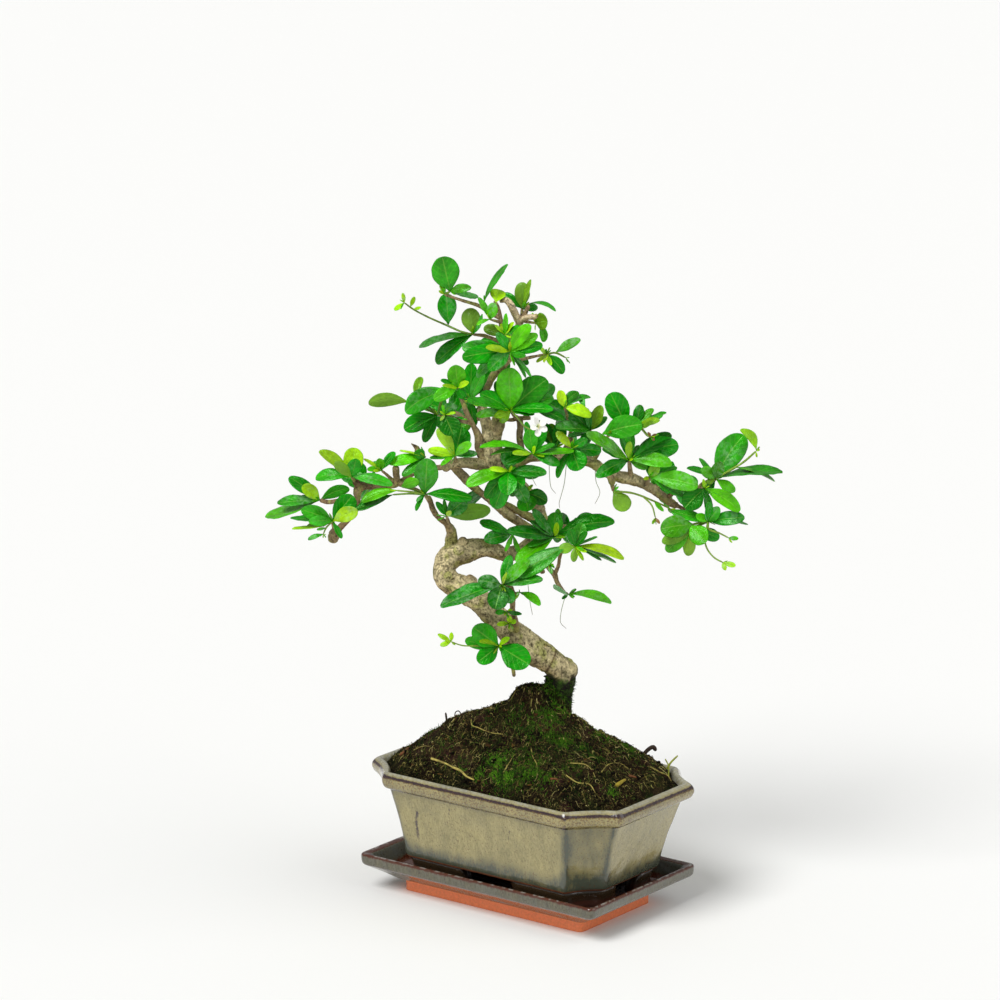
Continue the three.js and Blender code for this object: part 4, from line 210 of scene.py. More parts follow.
# Sprays: name, tone, twig (radius at its foot and its end, then points), heart, stems (radius, points),
# leaves. A leaf is its tip u, w, the width seen (below 0 where its underside shows), the lean of its tip in
# v, its tone, then if need be the rise of its middle, and its own foot u, w where it does not spring from
# the heart
SPRAYS = [
    ["top_left_tip", 3, [1.2, 0.9, [-13.6, 303, 3], [-19, 306, 3], [-24.4, 309.4, 2], [-33, 312.2, 1]],
     [-41.5, 315.2, 0],
     [[0.8, [-41.5, 315.2, 0], [-38.6, 316.6, 0.6]]],
     [[-42.6, 334.6, 13, -3, 3, 0, -38.6, 316.6], [-28.4, 318.6, 4.6, -5, 1, 1, -38.6, 316.6],
      [-24.6, 314.2, 2.4, 7, 3, -0.5, -38.6, 316.6], [-44.4, 317.2, 1.5, -2, 0]]],
    ["top_left", 2, [1.2, 0.9, [-8.4, 288, 1], [-15, 291.6, 3], [-21, 294, 3]], [-27.4, 294.8, 2],
     [[0.6, [-27.4, 294.8, 2], [-33, 296.2, 3], [-40, 299.3, 5], [-50, 303.8, 6], [-57, 307.6, 6],
      [-61.6, 311, 6]]],
     [[-40.6, 315.6, 8.8, 2, 2, 0, -39.6, 299.8], [-54.6, 288.4, 2.8, 4, 3, 1.6], [-29.2, 308.2, -9, 5, 4],
      [-22.6, 305.2, 2.2, -4, 2, -1], [-45.6, 280.6, 7, 6, 2, 1.2], [-62.4, 316, 2, -1, 0, 0, -61.4, 311],
      [-56.4, 314, 2.2, 1, 0, 0, -58.6, 308.6], [-66.6, 307.2, 2.6, 0, 0, 0, -61.4, 311],
      [-53.2, 308.6, 1.6, -2, 0, 0, -57, 307.6]]],
    ["top_long", 1, [0.9, 0.7, [-13.6, 301, 3]], [-18.6, 302.4, -3],
     [[0.6, [-18.6, 302.4, -3], [-20.4, 306, -2.4], [-21.6, 311.4, -2]]],
     [[-24.8, 313.4, 3, -4, 1, 0.4], [-16.6, 311.4, 5.4, -7, 1, 0.4],
      [-9.9, 330.6, 3.4, 3, 3, 2.2, -21.6, 311.4], [-14.4, 318.2, 7.4, 7, 0, 0, -15.8, 311],
      [-25.4, 299.6, 2.2, -3, 1, 1]]],
    ["top_stub", 2, [1.2, 1, [-2.8, 303, 1.4]], [-2.8, 307.8, 5],
     [], [[-12.6, 315.6, 4.8, 4, 2, 0.6], [-2.6, 321.4, -8, 3, 4], [14, 306.6, 2, -4, 3, 2.6, 0.6, 310.6],
      [5, 308.6, 4, 4, 2, 0.4], [1.6, 322.6, 2.6, -1, 4]]],
    ["top_oval", 2, [1, 0.8, [-2, 301.6, 1]], [3.8, 300.6, 2.4],
     [], [[10, 301.6, 8.4, -3, 4, 0.4], [8.2, 291, 4.4, 3, 1, 0.8, 6.4, 300.4]]],
    ["top_front", 1, [1.4, 1.1, [-9.2, 285.4, 0]], [-8.8, 286, -6.4],
     [], [[1, 299.6, 6.8, -4, 1, 1], [5, 295, 5.8, -1, 1, 0.6], [7.6, 289.6, 6, 0, 2, 0.4],
      [-0.6, 283.4, 3.2, -7, 3, -0.6], [-15.4, 295.4, 4.6, -3, 2, 0.6], [-32.6, 283.2, 9.4, -6, 2, 1],
      [-20.4, 288, 4, -7, 0, 0.6], [-24.2, 282.8, 2.2, 0, 2, 0.4], [-25.6, 273.2, 6.4, 3.5, 3, 2.2],
      [-19.6, 276.4, 7, -9, 2, 0.6], [-1, 272.6, 2.2, -3, 3, 0.6], [2, 273, 2.2, -6, 3, 0.8],
      [-6.6, 279, 1.6, -6, 1], [-32.8, 288.4, 9, 2, 3, 0.6, -8.8, 285.8]]],
    ["top_core", 0, [0.9, 0.8, [-11.6, 293.4, 3]], [-11.4, 294.6, -2.2],
     [], [[-10.6, 304.6, 2.4, -4, 1], [-7.2, 300.4, 1.8, -5, 0, 0.4], [-16.4, 299.6, 1.8, -1, 0, 0.4],
      [-6.4, 292.6, 1.8, -6, 0, 0.4], [-3.6, 298.6, 2.6, -7, 3, 0.4], [-13.4, 300.4, 1.6, 2.5, 0],
      [-22, 298.4, 5.4, 3, 4, 0.4]]],
    ["top_right", 2, [1.1, 0.8, [-8.6, 283.6, 0], [-3, 282.4, -1], [2.6, 283.4, -2]], [9.6, 284.8, -3],
     [[0.6, [9.6, 284.8, -3], [14, 285.4, -3], [19, 283, -3]]],
     [[18, 274.8, 5.8, -3, 2, 1], [26.4, 292.4, 5, 3, 1, 0.5, 14, 285.6], [6, 288, 2.2, -5, 0],
      [4.4, 280.4, 2, -5, 0], [11.6, 278.8, 2.2, -6, 0], [8.4, 280.8, 2, -9, 0]]],
    ["fan", 2, [1.2, 1, [-4.6, 251.8, 0], [-6.8, 253.4, -2]], [-8.4, 256, -4.6],
     [[0.5, [-8.4, 256, -4.6], [-4.4, 251.4, -11], [-1, 247.4, -14], [2, 246.2, -14.6], [4.3, 247.1, -14.8]]],
     [[-9.4, 277.8, 12.6, -5, 1], [9.6, 271.8, 13, 6, 3, 0.8], [12.6, 262.4, 7, 8, 3, 1],
      [13, 256.2, 5.8, -6, 2, 1.4], [-13.4, 266.4, 2.8, 0, 3], [-16, 271.2, 6.4, 7, 2, 0.4],
      [-23.6, 264.6, 7.4, -3, 2, 0.8], [-31, 260.4, 3.8, -21, 3, 0.8], [-16.2, 252.8, 4.4, -10, 0, 0.4],
      [3.6, 254, 3, -3, 2], [-25.8, 253.7, 4.6, 3, 1, 0.6, -8.3, 255.8],
      [-13.8, 249.6, 4, 2, 0, 0, -8.3, 255.8]]],
    ["fan_right", 2, [1, 0.8, [-2, 252, 0.4]], [2.4, 257.6, 2],
     [], [[18.2, 251, 5, -9, 2, 1.2], [24.2, 250.4, 4.4, 5.5, 2, 1.6], [13, 269, 7, 10, 2]]],
    ["fan_left", 2, [1.1, 0.8, [-22.6, 257.6, 3.6]], [-28.8, 261.2, 3.4],
     [], [[-28, 280.2, 7.4, 2, 2], [-22, 275.6, 5.4, -5, 3, 0.4], [-17.6, 276.4, 6.4, 14, 2, 0.4],
      [-24.6, 258, 2.6, -6, 0, 0.6], [-26.8, 247.5, 6, 3, 2, 0, -28.8, 261]]],
    ["shoot_tip", 1, [0.9, 0.8, [-34, 264, -5]], [-35, 267.6, -6.4],
     [], [[-36, 279.4, 8.8, -3, 1], [-29.4, 270.4, 3, -6, 0, 0.4], [-43.6, 271.6, 2.8, -2, 2, 0.4],
      [-42.4, 268.6, 1.8, -9, 0, 0.3], [-47, 261.4, 6.4, -3, 1, 0.8], [-31.4, 262, 4.6, 0, 2, -0.4]]],
    ["left_high", 3, [1.1, 0.9, [-27.8, 249.4, -4], [-34, 250.6, 1], [-40, 252.4, 2]], [-45, 253.6, 1],
     [], [[-61.8, 254.8, 9.6, -9, 3, 2.6, -42.6, 265], [-53, 273.2, 4.4, 6, 4, 0.6, -56.6, 263],
      [-79.6, 259.6, -6.8, 3, 4, 2.6, -59, 260], [-62, 246.2, 9, -3, 2, 1], [-52, 239.6, 5.6, -4, 2, 0.6],
      [-34.8, 258.4, 5.4, -5, 2, 1.2], [-58.6, 246.2, 2, -12, 2, 0.4],
      [-60.8, 258.9, 8, -2, 3, 1, -40.8, 267.2]]],
    ["left_round", 2, [0.9, 0.8, [-34, 250.6, 1], [-38.4, 252.8, -4]], [-41.4, 253.6, -9],
     [], [[-37.2, 243.2, 10.6, -4, 2], [-35.8, 254.6, 1.5, -3, 0, 0.4], [-43.8, 250.6, 1.5, -3, 0]]],
    ["left_stub", 1, [1.1, 0.9, [-36, 229.4, -3]], [-36.4, 232.4, -8.4],
     [], [[-33, 247.6, 11.6, 6, 2], [-45, 246.8, -5.8, 4, 0, 0.6], [-50, 235.6, 4.8, 2, 0, 0.8],
      [-49.2, 231.6, 2.8, 2, 3, 0.4], [-28.4, 239.4, 4.8, -3, 1, 0.6], [-25.2, 233.6, 3.8, 0, 2, 0.5],
      [-43.6, 227.6, 2.2, -4, 1, 0.5], [-41.4, 237.4, 1.6, -4, 0, 0.2]]],
    ["mid_left", 3, [0.9, 0.8, [-49.2, 210, -4.6]], [-51.6, 212.6, -8],
     [[0.6, [-51.6, 212.6, -8], [-58, 213.8, -9], [-66, 214.6, -10]]],
     [[-50.4, 231.2, 11.6, -4, 3], [-83, 208.8, 5, 2, 1, 2, -65, 214.6], [-28.4, 210.6, 5.8, -5, 2, 1.8],
      [-56.2, 204, 2.2, -3, 2, 0.4], [-56, 208.8, 1.8, -3, 2, 0.4],
      [-54.6, 219.6, 5, -6, 1, 0.4, -63.6, 216.6], [-86.8, 204.6, 5, -2, 2, 0.4, -67.8, 212.4]]],
    ["mid_round", 3, [0.9, 0.8, [-56, 229, 3.6], [-54, 231, 2]], [-51.4, 232, -2],
     [], [[-56.6, 234.4, 5.6, -3, 3, 0.4], [-63, 222, 3.8, -4, 3, -0.6], [-70, 228.6, 5.8, -3, 1, 0.6],
      [-64.2, 235.2, 1.6, -1, 0, 0.4]]],
    ["elbow", 2, [1, 0.9, [-39.2, 196.4, 1]], [-40.8, 201.4, -5],
     [], [[-31, 209.8, 8.4, -3, 2, 0.4], [-38.4, 204, 2.6, -5, 0], [-42.2, 210, 2.2, -2, 3],
      [-46, 208.6, 3.2, -2, 2, 0.3], [-19.2, 204.6, -8, 8.5, 4, 0.6], [-23.6, 213.6, 3.6, 23, 2, -0.6]]],
    ["far_left_high", 0, [1, 0.9, [-86.6, 218.8, -4.6]], [-88.4, 221.8, -7],
     [], [[-104.8, 235, 5.4, 2, 0, 1.4], [-87, 236.8, 10, 4, 0], [-96.8, 229, -5.2, -8, 4, 0.4],
      [-86, 231.6, 7.4, -4, 2], [-107, 220.8, 6, 2, 3, 2], [-100.2, 223.4, 1.8, 8, 0, 0.8],
      [-67.8, 217.6, 6.4, -3, 3, 1.4]]],
    ["left_up", 1, [1, 0.8, [-67, 219, -1.4], [-70.4, 222.4, -3]], [-73.4, 225, -5],
     [], [[-66.6, 234.6, 4.2, 3, 2, 0.6], [-80.6, 225.6, 3, -2, 1, 0.4], [-74.8, 231.6, 4.4, -4, 1],
      [-82.4, 231, 1.6, 2, 0], [-77.6, 229.6, 3.2, 8, 3]]],
    ["far_left", 2, [1.2, 1.4, [-85.8, 210, -4], [-94, 209.6, 0], [-100.6, 208.6, 4]], [-104.4, 209.6, 5],
     [], [[-113.6, 217.4, 6.6, -4, 0, 0.4], [-120, 221.6, 6.6, 2, 2, 1], [-89.4, 215.6, 5.8, 5, 3, 1.8],
      [-126.2, 208.2, 5.4, 0, 3, 0.6], [-115, 211.2, 2.8, 6, 2, 0.3], [-132.2, 201.2, 4.4, 6.5, 1, -0.6]]],
    ["far_left_low", 2, [1.4, 1.1, [-97, 192.6, -4.4], [-97.6, 195.6, -6]], [-98.2, 198.6, -9],
     [[0.5, [-98.2, 198.6, -9], [-101.4, 195.4, -10], [-103, 192, -10.5]]],
     [[-113.8, 204.6, 7.4, -3, 3, 0.6], [-119.4, 200.4, 4.4, 2, 2, 0.6], [-110.4, 198.4, 5.2, -8, 3, 0.6],
      [-111.4, 195.8, 3, 4, 0], [-85.6, 204.6, 7.2, -4, 0, 0.6], [-88, 212.2, 10.4, 3, 2, 0.4],
      [-110.8, 189, 2.4, -1, 3, 0.4, -103, 192], [-106.2, 194.2, 1.4, 1, 1, 0, -101.4, 195.2],
      [-118.8, 194.6, 2, 0, 0, 0, -103, 196], [-93.8, 189.6, 2.8, -3, 2]]],
    ["crown_right", 1, [0.9, 0.8, [19, 231.8, -3], [22, 240, 3], [20.6, 250, 1.6]], [18.6, 257.4, -3],
     [], [[16, 266, 4.8, -2, 0], [25.6, 265.4, 4.8, 2, 3, 1.8], [31.8, 262.8, 3.6, 6, 3, 2.6],
      [26.4, 264.6, 3, 5, 3, -0.6, 29, 257.6], [31.8, 252.8, 5.8, -4, 0, 1.4], [22.8, 263.4, 2, 10, 2]]],
    ["dark_right", 2, [0.8, 0.8, [32.6, 242.8, 0.8]], [31.6, 245.6, 2.4],
     [], [[20.4, 255.8, 7.4, -5, 2, 0.6], [37, 258.6, 6.4, 2, 4], [29.6, 257.6, 4, -4, 2],
      [14.6, 246.8, 6.4, -20, 3, 1], [20, 242.6, 2.8, -5, 2], [27.6, 237.8, 5.4, -2, 2],
      [40, 252.6, 3.6, 3, 2]]],
    ["right_big", 3, [0.9, 0.9, [35.6, 237.4, -0.6], [38.6, 240.6, -3]], [41, 243.2, -7],
     [[0.8, [41, 243.2, -7], [46, 245.4, -6], [51, 247.4, -5], [56.6, 247, -7], [60.4, 243, -8],
      [62.4, 242.4, -9]]],
     [[41.4, 265, 11.4, 3, 2, 0, 50, 247.4], [57.2, 248.6, 11.6, -5, 3, 1.2, 37.6, 243.8],
      [69.8, 254.8, 2.4, 1, 3, 0.6, 54.4, 247.4], [68, 253.4, 2.4, -3, 3, 0.2, 54.4, 247.4],
      [66.6, 250.8, 3.2, -6, 0, 0.6, 54.4, 247.4], [63, 250, 2.6, -9, 0, -0.6, 56, 247.2],
      [65, 243.6, 1.5, 0, 5, 0, 62, 242.6], [63.8, 240.4, 1.6, -2, 5, 0, 62, 242.6],
      [60.4, 244.6, 1.4, -3, 5, 0, 62, 242.6], [56.7, 258.9, 5.4, 2, 2, 0, 54.2, 247.5],
      [63.2, 256.8, 4, 2, 1, 0.4, 54.2, 247.5]]],
    ["right_rosette", 1, [1.4, 1.1, [52, 221.6, -1], [51.6, 226, -3]], [51, 230.2, -5],
     [], [[75.8, 238.4, 10.8, 3, 2, 2], [72.8, 228, 7, -5, 1, 2.2], [51.2, 240.4, -3.4, -4, 0],
      [46.4, 243.2, 2.8, 3, 2], [51.8, 245.4, 5.4, 9, 3], [56.2, 238.2, 2.8, 5, 3],
      [30.4, 242.8, 5.6, -23, 1, 1.4], [37, 236.4, 3.2, -2, 2, 0.4], [34.2, 221.6, 7.4, -6, 2, 1.2],
      [60.2, 226, 3.8, -1, 1, 0.4], [72.2, 243.9, 7.4, 4, 2, 0.8, 51.2, 229.9]]],
    ["right_olive", 2, [1.2, 1, [60, 217.4, 0.6]], [61.4, 221.6, -5],
     [], [[65.4, 227.6, 5.6, -3, 4], [62, 230.2, 4.4, 2, 2], [75.2, 226.6, 3.4, 3, 3, 0.6],
      [78.6, 211.4, 5.4, -3, 3, 0.8], [86, 217, 9.4, -9, 1, 1.2], [72.8, 222.4, 3, 1.5, 3, 0.4],
      [58.6, 220.4, 2, -3, 0]]],
    ["right_mid", 1, [0.8, 0.8, [86.4, 215.8, -3.8]], [89.4, 215.6, -7],
     [], [[79.2, 205.4, 10.4, -2, 2, 0.6], [107.2, 203.8, 7.2, -4, 1, 1.6], [92, 203, 4, 4, 2],
      [104.8, 209.4, 2.6, 3, 3, 0.8], [88.4, 220.6, 1.8, -2, 0]]],
    ["right_tip", 3, [0.8, 1.8, [86, 216.2, -3.6], [89, 218.4, 0]], [94.6, 220.6, -2],
     [[0.7, [94.6, 220.6, -2], [103.5, 226, -3], [109, 229.6, -3], [114.8, 234.9, -3]]],
     [[108.7, 243.4, 12.4, 4, 3, 1.6], [107, 246.4, 4.6, 2, 0, 2.8, 115, 235.4], [80, 226.2, 4, -3, 2, 1.4],
      [87.6, 226.4, 6, -5, 1, 0.4], [97.2, 230, 6.4, -8, 1], [86.4, 231.2, 2.8, 4, 3],
      [128.6, 223.8, 2.8, -3, 3, 2.8], [124.8, 219.2, 2.2, 3, 1, 2.2, 104, 226.6], [90, 218.4, 3, -3, 4],
      [89.2, 212.9, 5, 2, 2, 0, 94.7, 220.6], [104.7, 213.9, 5, 2, 1, 0.3, 94.7, 220.6]]],
    ["right_low", 2, [0.8, 0.8, [87.4, 200.4, -4.6]], [91.2, 198.4, -6.6],
     [[0.55, [91.2, 198.4, -6.6], [91.6, 194.6, -8], [96.6, 192.6, -8], [101.6, 190, -8]], [0.55,
      [91.2, 198.4, -6.6], [90.2, 193.4, -8.6], [89.6, 189, -9], [91, 184, -9], [94.6, 179.6, -9],
      [98.8, 177.2, -9]]],
     [[109.6, 200.6, 7, -4, 2, 0.6], [111.2, 197, 1.6, 2, 3, 1.8], [96.4, 205.8, 6, -3, 3],
      [91, 208.4, 4, -11, 2], [84.6, 202.2, 4.2, -3, 1, 0.4], [72.6, 203.8, 5.4, 3, 3, 0.6],
      [67.4, 194.6, 10.6, -4, 1, 0.8, 84, 196.8], [68, 187.6, -6.4, 1, 4, 0.4, 84, 194.4],
      [90, 187.6, 9.6, -8, 1, 0, 82, 196.6], [106.6, 189.6, 2.2, -1, 1, 0, 101.4, 190],
      [105.4, 175.4, 2.8, -1, 0, 0, 98.6, 177.2], [100.4, 173, 2.2, -2, 0, 0, 98.6, 177.2],
      [70.2, 182.9, 7, 2, 1, 0, 82.2, 194.3], [81.2, 180.8, -6, 3, 4, 0, 82.2, 194.3],
      [97.2, 189.6, 6, 3, 2, 0.4, 84.2, 194.3]]],
    ["hanging", 4, [1.1, 1, [42.6, 218.4, -4]], [43.2, 214.2, -4.4],
     [[0.6, [43.2, 214.2, -4.4], [53, 213.2, -5.6], [64, 209, -5], [72, 205.2, -4]], [0.5,
      [58.6, 211.2, -5.6], [62.6, 207, -6], [64.6, 200.4, -6]]],
     [[50.6, 204.4, -8.4, -3, 4], [68.4, 204, 2.2, -4, 1, 0, 64, 208.8],
      [73, 203, 1.8, -1, 4, 0, 70.6, 205.8], [66.8, 197.4, 1.5, -2, 5, 0, 64.6, 200.4],
      [63, 197.2, 1.5, -1, 4, 0, 64.6, 200.4]]],
    ["centre_right", 1, [1.1, 0.9, [1.8, 231.6, -2.4]], [2.4, 233.6, -8],
     [], [[1, 246.4, 7.4, -3, 3], [-24.4, 236.8, 2.6, -6, 1, 3.6], [-18.6, 233, 2.2, -3, 1, 2.6],
      [-7.2, 233.6, 2.8, -10, 0, 1.2], [23.4, 235, 3.2, -2, 1, 0.6], [13.8, 238.4, 3, -1, 3, 0.6],
      [8.6, 232.2, 1.6, -3, 0, 0.3], [3.8, 237.2, 1.8, -6, 0], [-0.6, 250.2, 4, 3, 2],
      [7.7, 249.1, 8, 4, 2, 0, 2.2, 233.6], [16.2, 227.9, 5, -3, 2, 0.4, 2.2, 233.6],
      [-11.3, 228.4, 4.6, -3, 2, 0.4, 2.2, 233.6]]],
    ["centre", 2, [1.3, 1, [-11, 223.4, 1]], [-9.6, 224.4, -8],
     [], [[-8, 238, 9.4, 2, 2], [-18.8, 225.6, 2.8, -6, 0, 1], [-30.8, 217.2, 7, -5, 1, 2],
      [-10.2, 212.2, 9.4, -9, 2], [-2.2, 216.4, 8, -2, 2], [9.8, 223.8, 6, -3, 2, 0.6],
      [-7.4, 227.4, 1.6, -6, 0], [-21.2, 210.6, 7.4, -1, 2, 0.6], [-16.8, 204.6, 8, 3, 2, 0, -9.8, 224.3],
      [-0.3, 208.2, 7, 4, 2, 0.4, -9.8, 224.3]]],
    ["centre_low", 2, [1, 0.8, [0.6, 212.4, 7]], [-1.2, 213.4, -1],
     [], [[10, 208.6, 8, -2, 2, 1], [0.4, 203.6, 9.4, -6, 3], [-5, 216.8, 1.6, -4, 0, 0.2],
      [2.8, 217.4, 1.8, -5, 0, 0.2]]],
    ["low_right", 2, [1.1, 0.9, [6.4, 195, 11], [10.4, 192.4, 6]], [13.6, 190.6, 1],
     [], [[15.4, 198, 3.2, -6, 0], [-10.4, 193.4, 6.4, -9, 2, 0.8], [1, 198.8, 3.4, -5, 3, 0.6],
      [2.6, 204.6, 4.8, -5, 2], [14, 203.4, 8.2, 3, 3], [44, 198.2, 8, -4, 2, 3.6],
      [20.2, 191.6, 1.8, 0, 1, 0.3], [-5.6, 177.4, 7, -12, 1, 0.6], [0.2, 185.6, 4, -7, 3, 0.8]]],
    ["low_centre", 2, [1, 0.8, [-1, 196.6, 8], [-5, 194.4, 5]], [-7.6, 192.2, 1.4],
     [], [[-24.4, 198.4, 3.4, -5, 2, 0.4], [-20, 196.4, 2.6, 0, 2, 0.4], [-21.8, 189, 7.4, -9, 2],
      [-4.4, 181.6, 2.2, -3, 1], [-10.6, 183.4, 2, -8, 1]]],
    ["low_right_front", 0, [0.85, 0.8, [20.4, 185.8, -11.6]], [24.2, 185.4, -13.6],
     [], [[21.2, 195, 4.8, -3, 2], [27.8, 197.6, 6.8, 2, 3], [30.4, 193, 3.2, -5, 2],
      [49, 179, 5, -2, 0, 3.2], [44.8, 177, 1.6, 2, 3, 0.8], [37.2, 178.4, 1.8, 3, 3, 0.5],
      [15.8, 183.6, -5.2, -1, 4, 0.4], [23.4, 177.4, -4, -2, 4], [28.4, 178, 2.2, -4, 0],
      [30, 182.4, 2, -4, 0], [35.6, 190.6, 1.4, 3, 3, 0.3], [-5.8, 170.5, 8.4, -2, 3, 0.6, 20.2, 186]]],
    ["low_left", 2, [1.1, 0.9, [-8.2, 164, -13.8]], [-13, 165.4, -17],
     [], [[1.6, 178.8, 6.4, -3, 1, 0.4], [-24.8, 167.8, 6.4, -2, 2, 0.5], [-44.2, 154, 7, -2, 2, 1.8],
      [-16.4, 152.6, 10.2, -6, 2], [-7.4, 156, 7, -2, 2], [8.2, 168.2, 5, -5, 3, 1], [-8.4, 181, 5.4, 6, 2],
      [-10.4, 171.4, 1.8, -6, 0]]],
    ["low_right_blade", 1, [0.8, 0.7, [-7.2, 160.6, -13]], [-3.8, 161.6, -14],
     [], [[6.8, 154.8, 4.2, -2, 1, 1.6]]],
    ["low_left_bit", 3, [0.8, 0.7, [-7.4, 152, -12]], [-10.6, 151.4, -13.4],
     [], [[-16, 150.8, 2.4, -3, 3, 0.2], [-3, 150, 2.4, -4, 2]]],
    ["lowest", 2, [0.9, 0.9, [-12.4, 134.2, -12]], [-14.4, 133.4, -15.4],
     [[0.45, [-14.4, 133.4, -15.4], [-25, 133.4, -17], [-33, 133.6, -17], [-38.6, 135.6, -17]]],
     [[-27.6, 143.4, 11.6, -1, 3], [-24.8, 135.4, 3, -11, 0, 1], [-25.2, 124.8, 8.4, -4, 2],
      [1.2, 123.4, 13, -4, 2], [-8.8, 137.8, 2.8, -4, 0, 0.6], [-38.4, 140.6, 2.2, 0, 0, 0, -38.6, 135.6],
      [-45.4, 139.6, 2.4, 1, 0, 0, -38.6, 135.6], [-44.2, 133.6, 2.4, -1, 0, 0, -38.6, 135.6],
      [-31.6, 136.4, 6, 1, 3, -0.4]]],
    ["trunk_sprout", 0, [1, 0.8, [-8, 143, -8]], [-9, 145.4, -14.6],
     [], [[-9, 149.2, 3, -2, 0], [-5.6, 146.6, 2.4, 0, 0], [-15.4, 144.6, 2.4, 0, 0, 0.2]]],
    ["low_twig", 1, [0.9, 0.8, [19, 161.4, -3]], [20.8, 160.4, -3],
     [], [[42.8, 155.8, 4.8, -2, 1, 3], [11.6, 164.8, 2.6, -14.5, 3], [17.4, 158, 1.8, -3, 2]]],
    ["twig_leaf", 1, [0.8, 0.7, [10.4, 175, -1.6]], [10.8, 176.4, -5],
     [], [[6.6, 179.8, 2, -3, 1], [12.4, 171.2, 2.2, -4, 1], [4.4, 173.4, 2.6, 3, 2]]],
    ["right_under", 2, [1.1, 0.9, [22, 231.6, -3]], [22.4, 236.4, -6.4],
     [], [[26, 225.2, 10.6, -6, 2], [15, 221, 3.8, -3, 2, 1.4], [14.4, 245, 4.2, 2.5, 0],
      [30.2, 241.2, 4, -4, 2, 0.4], [37.2, 235.1, 6.4, 3, 2, 0.4, 22.2, 236.1]]],
    ["behind_flower", 4, [1, 0.8, [12, 232, -2], [13.4, 234, 2]], [14, 236.8, 4],
     [], [[11.4, 249.2, 6.6, 3, 4], [17, 249.8, 6.6, 0, 2], [5.2, 250.6, 7, 4, 2, 0.4, 14.2, 236.7]]],
    ["back_top", 2, [1.6, 1.2, [-9.6, 284.6, 1], [-11, 286, 6]], [-12, 287, 12],
     [], [[-24, 290, 8, 6, 2, 0.6], [1, 292, 8, 8, 2, 0.6], [-10, 300, 7, 8, 2], [-18, 280, 7, 10, 2, 0.4],
      [-3, 284.6, 5, 12, 2, 0.4], [-12, 287.6, 8, 18, 2]]],
    ["back_left", 2, [1.4, 1.1, [-22, 252, 2], [-30, 252, 10], [-36, 254.6, 15]], [-40, 256, 17],
     [], [[-55, 260, 7, 4, 2, 0.8], [-30, 268, 8, 6, 2], [-44, 246.6, 7, 4, 2], [-36, 250, 8, 16, 2],
      [-46, 262, 7, 12, 2, 0.4], [-33, 258.6, 6, 15, 2]]],
    ["back_right", 2, [1.4, 1.1, [13, 232, -2], [20, 238, 10], [22, 247, 17]], [22, 252, 20],
     [], [[10, 260, 8, 5, 2, 0.4], [34, 251, 8, 4, 2, 0.4], [20, 246, 7, 10, 2], [27, 258.6, 6, 9, 2],
      [14, 252, 7, 14, 2], [23, 252.6, 7, 21, 2]]],
    ["back_centre", 2, [1.4, 1.1, [-6, 218, 5], [-4.6, 219, 14]], [-4, 222, 22],
     [], [[-16, 219, 7, 8, 2, 0.4], [6, 224, 6, 8, 2, 0.4], [-9, 234, 6, 7, 2], [-2, 210, 8, 6, 2],
      [-8, 224, 8, 18, 2]]],
    ["back_low", 2, [1.4, 1.1, [7, 199, 11], [13, 197, 17], [18, 196, 22]], [22, 196, 24],
     [], [[10, 196, 6, 6, 2, 0.4], [34, 201, 7, 6, 2, 0.6], [23, 190.6, 6, 10, 2], [15, 202, 6, 11, 2],
      [26, 197, 7, 18, 2]]],
    ["back_far_right", 2, [1.4, 1.1, [60, 217, 1], [66, 217, 10], [72, 218, 16]], [76, 219, 18],
     [], [[64, 227, 7, 4, 2, 0.4], [86, 219, 6, 5, 2, 0.4], [80, 208, 7, 4, 2], [72, 223.6, 6, 14, 2],
      [76, 215, 8, 16, 2]]],
    ["back_far_left", 2, [1.4, 1.1, [-77, 216.4, -3], [-79, 217, 6], [-81, 218, 11]], [-82, 219, 14],
     [], [[-94, 222.6, 6, 6, 2, 0.6], [-70, 219, 6, 6, 2, 0.4], [-86, 229, 7, 3, 2], [-86, 209.6, 7, 8, 2],
      [-80, 219.6, 7, 17, 2]]],
]

# Knots and healed cuts on the wood: u, w, v and radius
KNOTS = [
    [-34.6, 183.6, -4.4, 2.9], [-19.6, 243, -4, 2.6], [-14, 231.6, -5, 2], [2, 129.8, -9, 2.2],
    [20.4, 120.4, -0.6, 5.5], [19.6, 122.8, 1.4, 4.6], [-22, 158.6, -8, 2.6], [-40, 170, -4.6, 2.4],
    [-8, 143, -9.6, 2.2],
]

# The white flower: its middle, and the tips of its five petals
FLOWER = [5.6, 247.6, -15]
PETALS = [[9.6, 251.6], [3.4, 252.4], [1.4, 246.6], [5.2, 242.4], [9.8, 245.4]]

# Fine dead threads that hang from the twigs: depth v, then points u, w
THREADS = [
    [-4, [10.8, 231], [11.3, 220], [12, 216], [14.3, 213]],
    [-4, [19.8, 230.6], [18.5, 218], [17, 212], [16, 208], [16.3, 205.5]],
    [-4, [34, 228], [34.5, 219.5], [36.5, 213.5], [34, 207.5]],
    [-13, [0.4, 172], [0.3, 167], [1.5, 156], [2.7, 149.6]],
    [-3, [19.6, 160.6], [18, 155], [17, 150], [17, 145.5], [19.8, 142.5]],
    [-6, [1.8, 226], [2.5, 221], [4.5, 217]],
]

